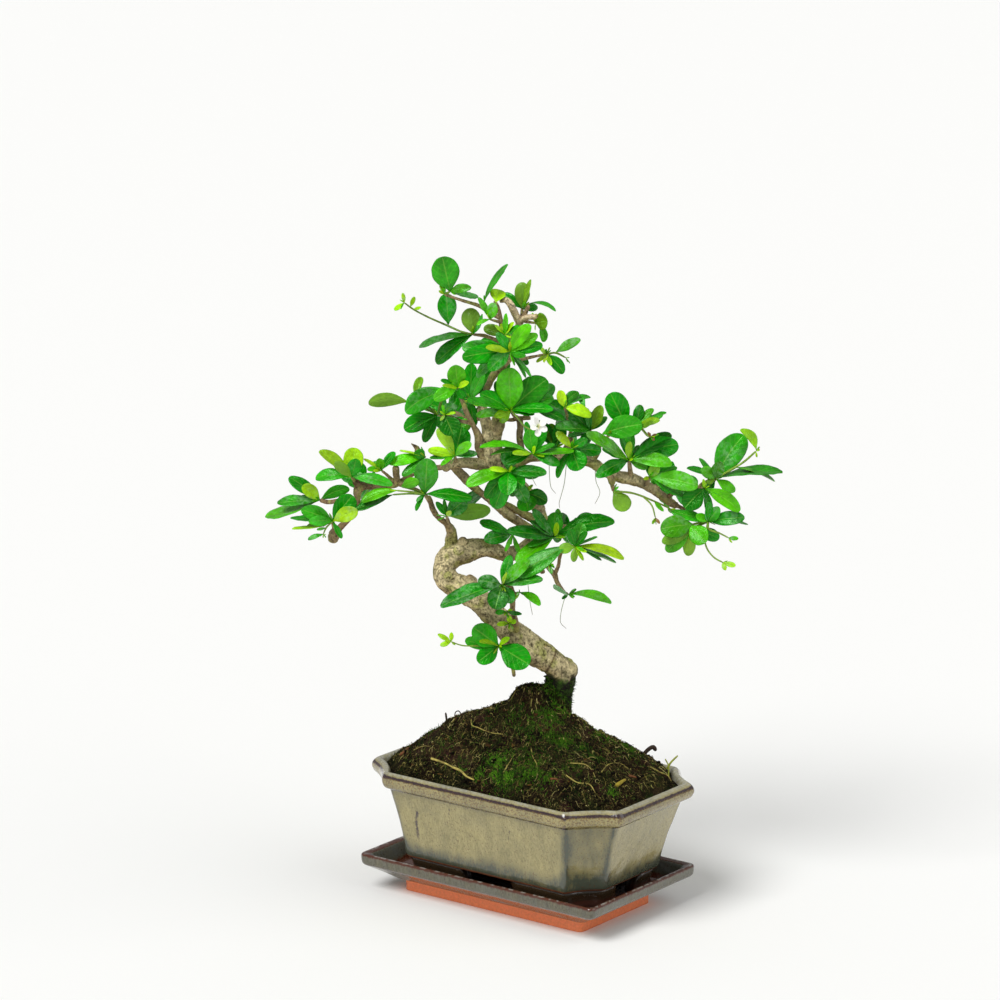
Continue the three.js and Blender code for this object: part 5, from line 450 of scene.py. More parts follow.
# What lies on the soil: colour, radius, then points u, w as seen on the mound
ROOT, FIBRE, LEAF_BIT, BARK_BIT = "#a99a50", "#a89a50", "#9c8a2c", "#6e4323"
STRAYS = [
    [ROOT, 0.75, [-49, 73], [-45, 71.5], [-41, 70], [-38, 68.5]],
    [ROOT, 0.7, [-38, 68.5], [-34, 66.5], [-31, 63.5], [-27, 61.5]],
    [FIBRE, 0.3, [-28.5, 94], [-28, 91], [-25, 89.6], [-22, 88.5], [-18, 87], [-12, 86]],
    [FIBRE, 0.3, [2, 79], [3, 74], [5, 70], [5, 68]],
    [FIBRE, 0.35, [20, 64], [26, 60.5], [32, 59.5], [35, 55]],
    [FIBRE, 0.3, [22, 71], [30, 70], [33, 67], [35, 63]],
    [FIBRE, 0.4, [63, 69], [68, 66], [72, 64], [74, 61]],
    [FIBRE, 0.28, [-12, 66], [-9, 71], [-6, 76]],
    [FIBRE, 0.25, [38, 66], [42, 70], [47, 71], [52, 68]],
    [FIBRE, 0.25, [-58, 78], [-52, 80], [-47, 78]],
    [LEAF_BIT, 1.3, [46, 58.4], [48, 60], [50.4, 61.6]],
    [BARK_BIT, 0.9, [-65, 74.6], [-62, 77.4], [-60.4, 79]],
    [BARK_BIT, 0.8, [52, 64], [56, 63]],
    [BARK_BIT, 0.7, [12, 62.4], [16, 61.4]],
]

# What stands on the mound's skyline: the dark curled twig and the green ones at the right, dead bits at the
# left
STANDING = [
    ["#2d2015", 1.1, [58.6, 73], [59.5, 75.5], [62, 78.5], [64.5, 79.8], [65.8, 77.8]],
    ["#8d9433", 0.5, [70, 66], [71.4, 68], [73.5, 71.5], [77, 75.2]],
    ["#8d9433", 0.36, [72.4, 69.6], [71.4, 72], [70.6, 73.4]],
    ["#33291a", 0.5, [-41, 92], [-41, 94], [-41.5, 98]],
    ["#33291a", 0.3, [-37, 95], [-36.4, 98.4], [-35, 99], [-33.8, 97.4], [-34.4, 95]],
    ["#6c7f3a", 0.22, [41, 80], [42, 84], [43.4, 86.4]],
    ["#6c7f3a", 0.18, [42, 83.6], [40.6, 85.4]],
]

# Moss on the soil: u, w, its reach, and how bright it is from 0 to 1; then what is out of sight, by x, y
# and reach
MOSS = [
    [-14, 66, 8, 1], [-10, 61.6, 6, 1], [-16, 71, 6, 0.9], [-4, 64, 7, 0.8], [4, 66, 6, 0.8], [10, 62, 5, 0.7],
    [43.6, 55.4, 3.4, 1], [18.6, 82, 5, 0.8], [13, 84, 6, 0.5], [-24, 65, 3.4, 1], [-33, 67.6, 4, 0.5],
    [26, 80, 6, 0.5], [-40, 84, 5, 0.4], [2, 90, 8, 0.5], [-6, 96, 6, 0.5], [10, 96, 6, 0.6], [16, 100, 5, 0.8],
    [14, 108, 5, 0.9], [18, 112, 4, 1], [11, 112, 4, 0.8], [20, 104, 4, 0.7], [34, 74, 6, 0.3],
    [-48, 90, 4, 0.5], [52, 76, 6, 0.35], [-20, 94, 5, 0.35], [0, 74, 8, 0.35], [22, 68, 6, 0.4],
]
MOSS_BEHIND = [[10, 30, 8], [-30, 24, 9], [38, 14, 7], [-8, 36, 6], [24, -10, 6], [46, 24, 6], [-44, 10, 7]]

# Fine roots and crumbs: each colour with its share of them
FIBRE_COLOURS = [
    ["#a39a58", 0.12], ["#7d7238", 0.13], ["#564a26", 0.2], ["#c4b878", 0.05], ["#33271a", 0.28],
    ["#56682a", 0.14], ["#8b7748", 0.08],
]
CRUMB_COLOURS = [
    ["#0d0905", 0.32], ["#1a120b", 0.28], ["#2c1e13", 0.2], ["#3d2716", 0.08], ["#57401f", 0.04],
    ["#232410", 0.08],
]


def srgb(text):
    """A colour written #rrggbb as three linear numbers."""
    values = np.array([int(text[i:i + 2], 16) for i in (1, 3, 5)]) / 255
    return np.where(values <= 0.04045, values / 12.92, ((values + 0.055) / 1.055) ** 2.4)


def blend(one, two, share):
    """One where the share is 0, two where it is 1."""
    return one * (1 - share) + two * share


def bell(x, middle, width):
    """1 at the middle, falling off to both sides as exp(−t²)."""
    return np.exp(-((x - middle) / width) ** 2)


def smoothstep(x, low, high):
    """0 below low, 1 above high, and 3t² − 2t³ between them."""
    t = np.clip((x - low) / (high - low), 0, 1)
    return t * t * (3 - 2 * t)


def noise(points, size, seed=0.0):
    """Smooth noise from 0 to 1: random numbers on a lattice of that size, blended between the eight corners
    round each point with the weight 3t² − 2t³."""
    at = points / size + seed * 17.37
    cell = np.floor(at).astype(np.int64)
    t = at - cell
    t = t * t * (3 - 2 * t)
    total = np.zeros(points.shape[:-1])
    for corner in np.ndindex(2, 2, 2):
        lattice = cell + np.array(corner)
        mixed = (lattice[..., 0] * 73856093) ^ (lattice[..., 1] * 19349663) ^ (lattice[..., 2] * 83492791)
        value = ((mixed * 2654435761) >> 8 & 0xFFFF) / 65535.0
        total += value * np.prod(np.where(np.array(corner) == 1, t, 1 - t), axis=-1)
    return total


def rough(points, size, seed=0.0, layers=3):
    """Several layers of noise, each half as wide and half as strong as the last, from about −1 to 1."""
    total = sum((noise(points, size / 2 ** k, seed + 3.1 * k) * 2 - 1) / 2 ** k for k in range(layers))
    return total / 1.5


def patches(points, size, seed, low, high):
    """Soft patches of noise, as a share for colours: 0 where it is under low, 1 where it is over high."""
    return smoothstep(noise(points, size, seed), low, high)[..., None]


def channels(*values):
    """Three numbers for each point of a surface, from arrays that may be broadcast."""
    return np.stack(np.broadcast_arrays(*values), axis=-1)


def deepen(w, v):
    """The crown is deeper than the named depths: v grows to twice its value from w 120 to w 200."""
    low, high, gain = DEEPEN
    return v * (1 + (gain - 1) * smoothstep(w, low, high))


def place(u, w, v):
    """A point seen at u, w on the middle plane, moved along its line of sight to the depth v, in
    millimetres."""
    k = (v - EYE[1]) / -EYE[1]
    across = EYE[0] + (u - EYE[0]) * k
    height = EYE[2] + (w - EYE[2]) * k
    cos, sin = math.cos(LOOK_TURN), math.sin(LOOK_TURN)
    return np.stack([across * cos - v * sin, across * sin + v * cos, height + 0 * v], axis=-1)


def tree_points(nodes):
    """Table points u, w, v of the tree as points in space, with their depths deepened."""
    u, w, v = np.array([n[:3] for n in nodes], float).T
    return place(u, w, deepen(w, v))


EYE_POINT = place(EYE[0], EYE[2], EYE[1])
RIGHT = np.array([math.cos(LOOK_TURN), math.sin(LOOK_TURN), 0])


def unit(a):
    return a / np.maximum(np.linalg.norm(a, axis=-1, keepdims=True), 1e-9)


def lengths(points):
    """The length along a bent line up to each of its points."""
    return np.concatenate([[0], np.cumsum(np.linalg.norm(np.diff(points, axis=0), axis=1))])


def even(points, step):
    """Points along a bent line, evenly spaced by about the step."""
    p = np.array(points, float)
    length = lengths(p)
    at = np.linspace(0, length[-1], int(length[-1] / step) + 1)
    return np.stack([np.interp(at, length, p[:, k]) for k in range(p.shape[1])], axis=1)


def eased(a, passes, axis=0, closed=False):
    """Rounds a line off by averaging each point with its neighbours, with open ends held."""
    for _ in range(passes):
        if closed:
            a = (np.roll(a, 1, axis) + 2 * a + np.roll(a, -1, axis)) / 4
        else:
            a = a.copy()
            a[1:-1] = (a[:-2] + 2 * a[1:-1] + a[2:]) / 4
    return a


def between(t, low, high, one, two):
    """The straight blend of two points while t runs from low to high."""
    return (high - t) / (high - low) * one + (t - low) / (high - low) * two


def smooth_line(points, radii, step):
    """A centripetal Catmull-Rom line through the points, sampled about every step, with its radii."""
    p = np.array(points, float)
    p = np.vstack([2 * p[0] - p[1], p, 2 * p[-1] - p[-2]])
    knots = np.concatenate([[0], np.cumsum(np.linalg.norm(np.diff(p, axis=0), axis=1) ** 0.5 + 1e-6)])
    line, size = [], []
    for i in range(1, len(p) - 2):
        count = max(2, int(round(np.linalg.norm(p[i + 1] - p[i]) / step)))
        t = (knots[i] + (knots[i + 1] - knots[i]) * np.arange(count) / count)[:, None]
        k0, k1, k2, k3 = knots[i - 1:i + 3]
        middle = between(t, k1, k2, p[i], p[i + 1])
        before = between(t, k0, k2, between(t, k0, k1, p[i - 1], p[i]), middle)
        after = between(t, k1, k3, middle, between(t, k2, k3, p[i + 1], p[i + 2]))
        line.append(between(t, k1, k2, before, after))
        share = smoothstep(np.arange(count) / count, 0, 1)
        size.append(radii[i - 1] + (radii[i] - radii[i - 1]) * share)
    return np.vstack([*line, p[-2:-1]]), np.append(np.concatenate(size), radii[-1])


def frames_along(line):
    """Two directions across the line at each of its points, carried along it without twist."""
    tangent = unit(np.gradient(line, axis=0))
    start = np.array([0, 0, 1.0]) if abs(tangent[0, 2]) < 0.9 else np.array([1.0, 0, 0])
    across = [unit(np.cross(start, tangent[0]))]
    for t in tangent[1:]:
        across.append(unit(across[-1] - t * np.dot(across[-1], t)))
    across = np.array(across)
    return across, np.cross(tangent, across)


def tube_rings(line, radii, sides, round_ends=True):
    """Rings round a line: centre + radius · (cos a · across + sin a · other), closed down at both ends."""
    across, other = frames_along(line)
    a = np.arange(sides) / sides * TURN
    r = np.array(radii, float)
    if round_ends:
        r[0] *= 0.72
        r[-1] *= 0.62
    return (line[:, None] + r[:, None, None]
            * (np.cos(a)[None, :, None] * across[:, None] + np.sin(a)[None, :, None] * other[:, None]))


def with_poles(stack):
    """A stack's values in one row, followed by the middles of its first and its last ring."""
    poles = np.stack([stack[:, 0].mean(1), stack[:, -1].mean(1)], axis=1)
    return np.concatenate([stack.reshape(len(stack), -1, 3), poles], axis=1)


def stack_faces(rows, ring):
    """Quads between the rings and triangles to the poles, as point numbers within one stack."""
    i, j = np.meshgrid(np.arange(rows - 1) * ring, np.arange(ring), indexing="ij")
    n = (j + 1) % ring
    quads = np.stack([i + j, i + n, i + ring + n, i + ring + j], -1).reshape(-1, 4)
    k = np.arange(ring)
    turned = (k + 1) % ring
    top = (rows - 1) * ring
    pole = np.full(ring, rows * ring)
    return quads, np.vstack([np.stack([pole, turned, k], -1), np.stack([pole + 1, top + k, top + turned], -1)])


def volume(rings, poles):
    """Signed volume of each stack: the sum of its triangles' triple products about its middle."""
    middle = rings.mean(axis=(1, 2), keepdims=True)
    r = rings - middle
    n = np.roll(r, -1, axis=2)
    a, b, c, d = r[:, :-1], n[:, :-1], n[:, 1:], r[:, 1:]
    total = (np.einsum("...i,...i", a, np.cross(b, c)) + np.einsum("...i,...i", a, np.cross(c, d))).sum((1, 2))
    e = poles - middle[:, 0]
    total += np.einsum("...i,...i", e[:, None, 0], np.cross(n[:, 0], r[:, 0])).sum(1)
    total += np.einsum("...i,...i", e[:, None, 1], np.cross(r[:, -1], n[:, -1])).sum(1)
    return total


class Skin:
    """Gathers closed surfaces, each a stack of rings with a pole at either end, into one mesh. A stack is
    an array (rows, ring, 3), or (many, rows, ring, 3) for many alike."""

    def __init__(self):
        self.points, self.quads, self.tris, self.tints, self.marks, self.maps = [], [], [], [], [], []
        self.count = 0

    def add(self, rings, tint, mark=(0, 0, 0), across=0.5):
        """Adds a stack, with its colour and its mark for all points, for each stack or for each point."""
        rings = np.asarray(rings, float)
        rings = rings[None] if rings.ndim == 3 else rings
        many, rows, ring = rings.shape[:3]
        points = with_poles(rings)
        for value, store in ((tint, self.tints), (mark, self.marks)):
            value = np.asarray(value, float)
            if value.ndim == 2 and many == value.shape[0] and many > 1:
                value = value[:, None, None]
            store.append(with_poles(np.broadcast_to(value, (many, rows, ring, 3))).reshape(-1, 3))
        along = np.linspace(0, 1, rows)[:, None]
        grid = channels(np.full(ring, across)[None], along)
        self.maps.append(np.tile(np.vstack([grid.reshape(-1, 2), [[0.5, 0], [0.5, 1]]]), (many, 1)))
        base = self.count + np.arange(many)[:, None] * points.shape[1]
        inside_out = volume(rings, points[:, -2:]) < 0
        for faces, store in zip(stack_faces(rows, ring), (self.quads, self.tris)):
            all_faces = base[:, :, None] + faces[None]
            all_faces[inside_out] = all_faces[inside_out][:, :, ::-1]
            store.append(all_faces.reshape(-1, faces.shape[1]))
        self.points.append(points.reshape(-1, 3))
        self.count += many * points.shape[1]

    def mesh(self, name):
        """The gathered surfaces as one smooth mesh, with the attributes tint and mark and the map."""
        faces = self.quads + self.tris
        sizes = np.concatenate([np.full(len(f), f.shape[1]) for f in faces])
        corners = np.concatenate([f.reshape(-1) for f in faces])
        mesh = bpy.data.meshes.new(name)
        mesh.vertices.add(self.count)
        mesh.vertices.foreach_set("co", (np.concatenate(self.points) * MM).astype(np.float32).reshape(-1))
        mesh.loops.add(len(corners))
        mesh.loops.foreach_set("vertex_index", corners.astype(np.int32))
        mesh.polygons.add(len(sizes))
        mesh.polygons.foreach_set("loop_start", (np.cumsum(sizes) - sizes).astype(np.int32))
        mesh.polygons.foreach_set("use_smooth", np.ones(len(sizes), bool))
        mesh.update(calc_edges=True)
        for key, store in (("tint", self.tints), ("mark", self.marks)):
            values = np.pad(np.concatenate(store), ((0, 0), (0, 1)), constant_values=1)
            layer = mesh.attributes.new(key, "FLOAT_COLOR", "POINT")
            layer.data.foreach_set("color", values.astype(np.float32).reshape(-1))
        flat = np.concatenate(self.maps)[corners]
        mesh.uv_layers.new(name="map").data.foreach_set("uv", flat.astype(np.float32).reshape(-1))
        mesh.validate()
        return mesh

    def build(self, name, material, nodes=()):
        """Makes the object at the origin, gives it its material, and lets it ride and stand for nodes."""
        mesh = self.mesh(name)
        mesh.materials.append(material)
        piece = bpy.data.objects.new(name, mesh)
        bpy.context.scene.collection.objects.link(piece)
        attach(piece, "root")
        if nodes:
            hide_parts(*nodes)


# Materials


class Paint:
    """A small helper that writes a material's nodes and links."""

    def __init__(self, name):
        self.material = bpy.data.materials.new(name)
        self.material.use_nodes = True
        self.tree = self.material.node_tree
        self.shader = self.tree.nodes["Principled BSDF"]

    def node(self, kind, inputs=None, **settings):
        node = self.tree.nodes.new(kind)
        for key, value in settings.items():
            setattr(node, key, value)
        for key, value in (inputs or {}).items():
            self.feed(node.inputs[key], value)
        return node

    def feed(self, socket, value):
        """Links a socket, or gives it a plain number, vector or colour."""
        if isinstance(value, bpy.types.NodeSocket):
            self.tree.links.new(value, socket)
        elif socket.type == "RGBA":
            socket.default_value = (*value, 1)
        else:
            socket.default_value = value

    def attribute(self, name):
        return self.node("ShaderNodeAttribute", attribute_name=name).outputs["Color"]

    def parts(self, name):
        """The three channels of an attribute."""
        return self.node("ShaderNodeSeparateColor", {0: self.attribute(name)}).outputs

    def noise(self, size_mm, detail=3.0, stretch=(1, 1, 1), roughness=0.55):
        """Noise of a size in millimetres, drawn out along an axis where its stretch is below 1."""
        coordinate = self.node("ShaderNodeTexCoord").outputs["Object"]
        at = self.node("ShaderNodeMapping", {"Vector": coordinate, "Scale": stretch}).outputs[0]
        inputs = {"Vector": at, "Scale": 1000 / size_mm, "Detail": detail, "Roughness": roughness}
        return self.node("ShaderNodeTexNoise", inputs).outputs["Fac"]

    def ramp(self, value, low, high, to_low=0.0, to_high=1.0):
        inputs = {"Value": value, "From Min": low, "From Max": high, "To Min": to_low, "To Max": to_high}
        return self.node("ShaderNodeMapRange", inputs).outputs[0]

    def math(self, operation, one, two=0.0):
        return self.node("ShaderNodeMath", {0: one, 1: two}, operation=operation).outputs[0]

    def plus(self, one, two):
        return self.math("ADD", one, two)

    def times(self, one, two):
        return self.math("MULTIPLY", one, two)

    def minus(self, one, two):
        return self.math("SUBTRACT", one, two)

    def off_half(self, value):
        """How far a value lies from a half."""
        return self.math("ABSOLUTE", self.minus(value, 0.5))

    def ragged(self, value, rag, amount):
        """A value made uneven by a noise round its middle."""
        return self.plus(value, self.times(self.minus(rag, 0.5), amount))

    def mix(self, share, one, two, blend_type="MIX"):
        node = self.node("ShaderNodeMix", data_type="RGBA", blend_type=blend_type, clamp_factor=True)
        for socket, value in ((0, share), (6, one), (7, two)):
            self.feed(node.inputs[socket], value)
        return node.outputs[2]

    def shade(self, colour, factor):
        """The colour times a grey factor."""
        grey = self.node("ShaderNodeCombineColor", {0: factor, 1: factor, 2: factor}).outputs[0]
        return self.mix(1.0, colour, grey, "MULTIPLY")

    def bump(self, height, distance_mm, strength=1.0):
        inputs = {"Height": height, "Distance": distance_mm * MM, "Strength": strength}
        return self.node("ShaderNodeBump", inputs).outputs[0]

    def finish(self, colour, roughness, normal=None, **plain):
        self.feed(self.shader.inputs["Base Color"], colour)
        self.feed(self.shader.inputs["Roughness"], roughness)
        if normal is not None:
            self.feed(self.shader.inputs["Normal"], normal)
        for key, value in plain.items():
            self.shader.inputs[key.replace("_", " ")].default_value = value
        return self.material


def leaf_material():
    """Leaf blades: the mottled tint, a paler midrib and faint side veins on the map, an olive underside, and a
    painted sheen: pale patches that stand in for glossy highlights. The mark says which side it is, how clear
    the veins are, and how much painted sheen the leaf has."""
    p = Paint("leaf blade")
    uv = p.node("ShaderNodeSeparateXYZ", {0: p.node("ShaderNodeUVMap", uv_map="map").outputs[0]}).outputs
    under, veined, sheen_share = p.parts("mark")
    off = p.off_half(uv[0])
    rib = p.ramp(off, 0.0, 0.04, 1.0, 0.0)
    bend = p.plus(p.times(off, 4.2), p.times(p.noise(5, 2), 0.9))
    phase = p.math("FRACT", p.minus(p.times(uv[1], 7.0), bend))
    vein = p.ramp(p.off_half(phase), 0.0, 0.16, 1.0, 0.0)
    lines = p.math("MAXIMUM", p.times(rib, 0.6), p.times(vein, 0.16))
    base = p.shade(p.attribute("tint"), p.ramp(p.noise(1.6, 4), 0.3, 0.7, 0.8, 1.16))
    base = p.shade(base, p.ramp(p.noise(8, 2), 0.3, 0.7, 0.62, 1.28))
    base = p.mix(p.times(lines, veined), base, p.mix(0.6, base, srgb("#9ccf52")))
    olive = p.mix(0.5, base, srgb("#6d9438"))
    # Painted sheen: pale grey-green patches on leaves whose third mark is high, in place of glossy highlights.
    painted_sheen = p.times(p.ramp(sheen_share, 0.5, 0.95), p.ramp(p.noise(1.8, 5), 0.42, 0.62))
    painted_sheen = p.times(painted_sheen, p.times(p.ramp(p.noise(9, 2), 0.4, 0.6), 0.42))
    colour = p.mix(under, p.mix(painted_sheen, base, srgb("#a4cfa0")), olive)
    dents = p.plus(p.times(p.noise(1.3, 3), 0.7), p.times(p.noise(3.6, 2), 0.9))
    relief = p.plus(p.times(lines, -0.45), dents)
    dull = p.plus(p.ramp(p.noise(3.5, 3), 0.3, 0.75, 0.14, 0.34), p.times(under, 0.25))
    return p.finish(colour, dull, p.bump(relief, 0.5, 0.9), Specular_IOR_Level=0.5,
                    Specular_Tint=(0.35, 1, 0.25, 1), Coat_Weight=0.12, Coat_Roughness=0.12)


def bark_material():
    """Bark: the tint broken up by fine scales, with darker cracks here and there, and rough."""
    p = Paint("bark")
    base = p.shade(p.attribute("tint"), p.ramp(p.noise(1.1, 5), 0.32, 0.68, 0.55, 1.3))
    base = p.shade(base, p.ramp(p.noise(5, 3), 0.35, 0.65, 0.78, 1.18))
    some = p.ramp(p.noise(9, 2), 0.4, 0.6, 0.15, 0.8)
    crack = p.ramp(p.noise(2.2, 5, roughness=0.75), 0.34, 0.43, 1.0, 0.0)
    colour = p.mix(p.times(crack, some), base, srgb("#30261a"))
    height = p.plus(p.noise(0.9, 5), p.times(crack, -0.7))
    return p.finish(colour, 0.88, p.bump(height, 0.6, 0.8), Specular_IOR_Level=0.25)


def soil_material():
    """Peat: the tint with crumbs and dark pores, and the finest roots as pale lines where a noise passes
    through its middle value."""
    p = Paint("peat")
    base = p.shade(p.attribute("tint"), p.ramp(p.noise(0.8, 5, roughness=0.75), 0.36, 0.68, 0.05, 1.9))
    roots = ((2.4, 0.012, 0.75, "#8d8148"), (1.5, 0.011, 0.6, "#6a5f30"), (3.6, 0.008, 0.9, "#a2935a"))
    for size, wide, share, text in roots:
        line = p.ramp(p.off_half(p.noise(size, 1.5)), 0.0, wide, 1.0, 0.0)
        some = p.ramp(p.noise(size * 2.2, 2), 0.42, 0.56)
        base = p.mix(p.times(p.times(line, some), share), base, srgb(text))
    return p.finish(base, 0.95, p.bump(p.noise(0.9, 5, roughness=0.75), 1.3), Specular_IOR_Level=0.06)


def plain_material(name, roughness=0.7, spread=0.2, level=0.3):
    """Fibres, moss, threads and petals: the tint with a little fine variation."""
    p = Paint(name)
    fine = p.ramp(p.noise(1.4, 3), 0.3, 0.7, 1 - spread, 1 + spread)
    colour = p.shade(p.attribute("tint"), fine)
    return p.finish(colour, roughness, p.bump(fine, 0.15, 0.5), Specular_IOR_Level=level)


def glaze_material(name, base, streak, edge, blue, speckle, bare):
    """A run glaze: fine vertical grain over the base, a dark line where it thins on edges and, on the pot,
    painted shade under its rim in the same dark colour, blue-grey where it pools, brown speckles, pale painted
    glints and reflection, and bare clay below. The mark says worn edge with painted shade, pool and bare clay,
    the tint painted glint and gold."""
    p = Paint(name)
    dark_share, pool, clay = p.parts("mark")
    painted_glint, freckle, _ = p.parts("tint")
    grain = p.ramp(p.noise(0.75, 3, (1, 1, 0.3)), 0.36, 0.64)
    runs = p.ramp(p.noise(4.5, 4, (1, 1, 0.2)), 0.36, 0.66)
    colour = p.mix(p.plus(p.times(grain, 0.6), p.times(runs, 0.35)), base, streak)
    colour = p.mix(p.times(p.ramp(p.noise(18, 3), 0.35, 0.65), 0.2), colour, blue)
    for rag, amount in ((p.noise(5, 5, (1, 1, 0.35)), 0.8), (grain, 0.3), (p.noise(17, 2), 0.8)):
        pool = p.ragged(pool, rag, amount)
    colour = p.mix(p.ramp(pool, 0.2, 0.95), colour, blue)
    # The edge colour goes on worn edges, and on the pot also as painted shade under its rim.
    colour = p.mix(p.ramp(p.ragged(dark_share, p.noise(1.6, 4), 1.0), 0.32, 0.7), colour, edge)
    gold = p.times(p.ramp(p.noise(0.8, 2), 0.5, 0.62), p.times(freckle, 0.6))
    colour = p.mix(gold, colour, srgb("#8f763a"))
    dots = p.ramp(p.plus(p.noise(0.9, 2), p.times(freckle, 0.09)), 0.6, 0.68)
    colour = p.mix(p.times(dots, 0.65), colour, speckle)
    # Painted glints and reflection: pale grey on the pot's rim top and along the saucer's lip.
    glint_patches = p.times(painted_glint, p.ramp(p.noise(1.7, 4), 0.36, 0.62, 0.3, 1.0))
    colour = p.mix(glint_patches, colour, srgb("#b9bab2"))
    rough_clay = p.shade(bare, p.ramp(p.noise(1.2, 4), 0.3, 0.7, 0.86, 1.1))
    colour = p.mix(p.ramp(clay, 0.4, 0.6), colour, rough_clay)
    shine = p.plus(p.ramp(p.noise(6, 3), 0.3, 0.7, 0.08, 0.2), p.times(clay, 0.6))
    relief = p.plus(p.noise(6, 2, (1, 1, 0.5)), p.times(p.noise(1.4, 2), 0.22))
    return p.finish(colour, shine, p.bump(relief, 0.8, 0.7), Specular_IOR_Level=0.55, Coat_Weight=0.5,
                    Coat_Roughness=0.06)


# Pot and saucer


def sampled(keys, widest, count):
    """Rows of key points round a closed outline, sampled at the same even places by the length of the
    widest row. Also gives those places as lengths and as key numbers, and the keys' own lengths."""
    ring = np.concatenate([*keys, keys[0][:, :1]], axis=1)
    length = lengths(ring[widest])
    at = np.arange(count) / count * length[-1]
    key = np.interp(at, length, np.arange(len(length)))
    low = np.floor(key).astype(int)
    part = (key - low)[None, :, None]
    return blend(ring[:, low], ring[:, low + 1], part), at, key, length


def raised(flat, height):
    """Flat rings at their heights."""
    z = np.broadcast_to(height[:, None], flat.shape[:2])
    return np.concatenate([flat, z[..., None]], axis=2)


def pot_outline(inset, height, inset_y=None, count=OUTLINE_POINTS):
    """Rings of the pot, one a row: a rectangle with cut corners that dip inwards by 4t(1 − t), evenly
    sampled round and eased at its arrises. Also gives how near each point lies to an arris, and to a cut
    corner."""
    inset, height = np.array(inset, float), np.array(height, float)
    inset_y = inset * SIDE_SHARE if inset_y is None else np.array(inset_y, float)
    half_x, half_y = RIM_HALF[0] - inset, RIM_HALF[1] - inset_y
    cut_x, cut_y = RIM_CHAMFER[0] - inset * 0.55, RIM_CHAMFER[1] - inset * 0.15
    keys = []
    for k, (sx, sy) in enumerate(CORNERS):
        t = np.linspace(k % 2, 1 - k % 2, CHAMFER_POINTS)
        dip = CHAMFER_DIP * 4 * t * (1 - t)
        x = POT_CENTRE[0] + sx * (half_x[:, None] - cut_x[:, None] * t - dip * 0.65)
        y = POT_CENTRE[1] + sy * (half_y[:, None] - cut_y[:, None] * (1 - t) - dip * 0.75)
        keys.append(np.stack([x, y], axis=-1))
    flat, at, key, length = sampled(keys, np.argmin(inset), count)
    ends = [CHAMFER_POINTS * k + end for k in range(4) for end in (0, CHAMFER_POINTS - 1)]
    gap = np.abs(at[:, None] - length[ends][None])
    near = np.min(np.minimum(gap, length[-1] - gap), axis=1)
    cut = ((key % CHAMFER_POINTS) < CHAMFER_POINTS - 1).astype(float)
    return raised(eased(flat, 3, axis=1, closed=True), height), near, cut


def pot_marks(rings, side, near, cut):
    """How the glaze lies on the pot: its tint says painted glints and gold, its mark worn edges with painted
    shade under the rim, pools and bare clay."""
    z = rings[:, :1, 2]
    along = np.arange(len(z))[:, None] * POT_STEP
    shoulder = along[np.argmin(np.abs(z[:, 0] - SHOULDER) + 9 * ~side[:, 0])]
    # Painted shade: a dark band just under the rim's band, where its shadow falls.
    shade_under_rim = bell(z, RIM_UNDERSIDE, 1.0) * side * 0.72
    arris = bell(near, 0, 2.0)[None] * side * np.where(z > 58, 0.42, 0.1)
    edge = np.clip(bell(along, shoulder, 1.1) * 0.95 + shade_under_rim + arris, 0, 1)
    wall = side * (z < WALL_TOP)
    pool = wall * (smoothstep(-z, -35, -23) * 0.95 + bell(near, 0, 3.0)[None] * 0.66 + cut[None] * 0.42)
    pool = pool + (along > shoulder + 1.5) * 0.3 + side * (z > 60) * (along <= shoulder) * 0.25
    for u, low, high, width in POT_RUNS:
        far = np.abs((rings - place(u, (low + high) / 2, -52.0)) @ RIGHT - 0.5 * np.sin(z / 4))
        front = (rings[..., 1] < 0) * smoothstep(z, low - 3, low + 2) * smoothstep(-z, -high - 3, -high + 2)
        edge = np.maximum(edge, wall * front * bell(far, 0, width) * 0.72)
    # Painted highlight: a pale glint line beside the dark shoulder line, and pale reflection over the rim's top
    # and inside.
    painted_glint = bell(along, shoulder + 2.25, 0.65) * 0.5 + 0.55 * smoothstep(along, shoulder + 2.5, shoulder + 3.5)
    freckle = side * smoothstep(z, RIM_UNDERSIDE, 60.5) * (along < shoulder)
    bare = smoothstep(-z, -23.2, -21.8) * side
    return channels(painted_glint, freckle, 0 * edge), channels(edge, np.clip(pool, 0, 1), bare)


def make_pot(props):
    """The pot: its profile is carried round the outline, out and up the wall, over the rim and down
    inside."""
    profile = np.vstack([eased(even(POT_OUTSIDE, POT_STEP), 3), even([POT_OUTSIDE[-1], *POT_INSIDE], 2.5)[1:]])
    height = profile[:, 1]
    rings, near, cut = pot_outline(profile[:, 0], height)
    side = (np.arange(len(profile)) < np.argmax(height))[:, None]
    out = unit((rings - np.array([*POT_CENTRE, 0])) * FLAT)
    wavy = rough(rings, 13, 5, 2) * props.waviness * 0.35 * np.where(side, 1, 0.5)
    rings = rings + out * np.where(height[:, None] < 62, wavy, -np.maximum(wavy, 0))[..., None]
    skin = Skin()
    skin.add(rings, *pot_marks(rings, side, near, cut))
    glaze = glaze_material("pot glaze", props.glaze, props.streaks, props.edge, props.pool, srgb("#5a3f28"),
                           srgb("#7b4426"))
    skin.build("pot_glazed", glaze, ["pot"])


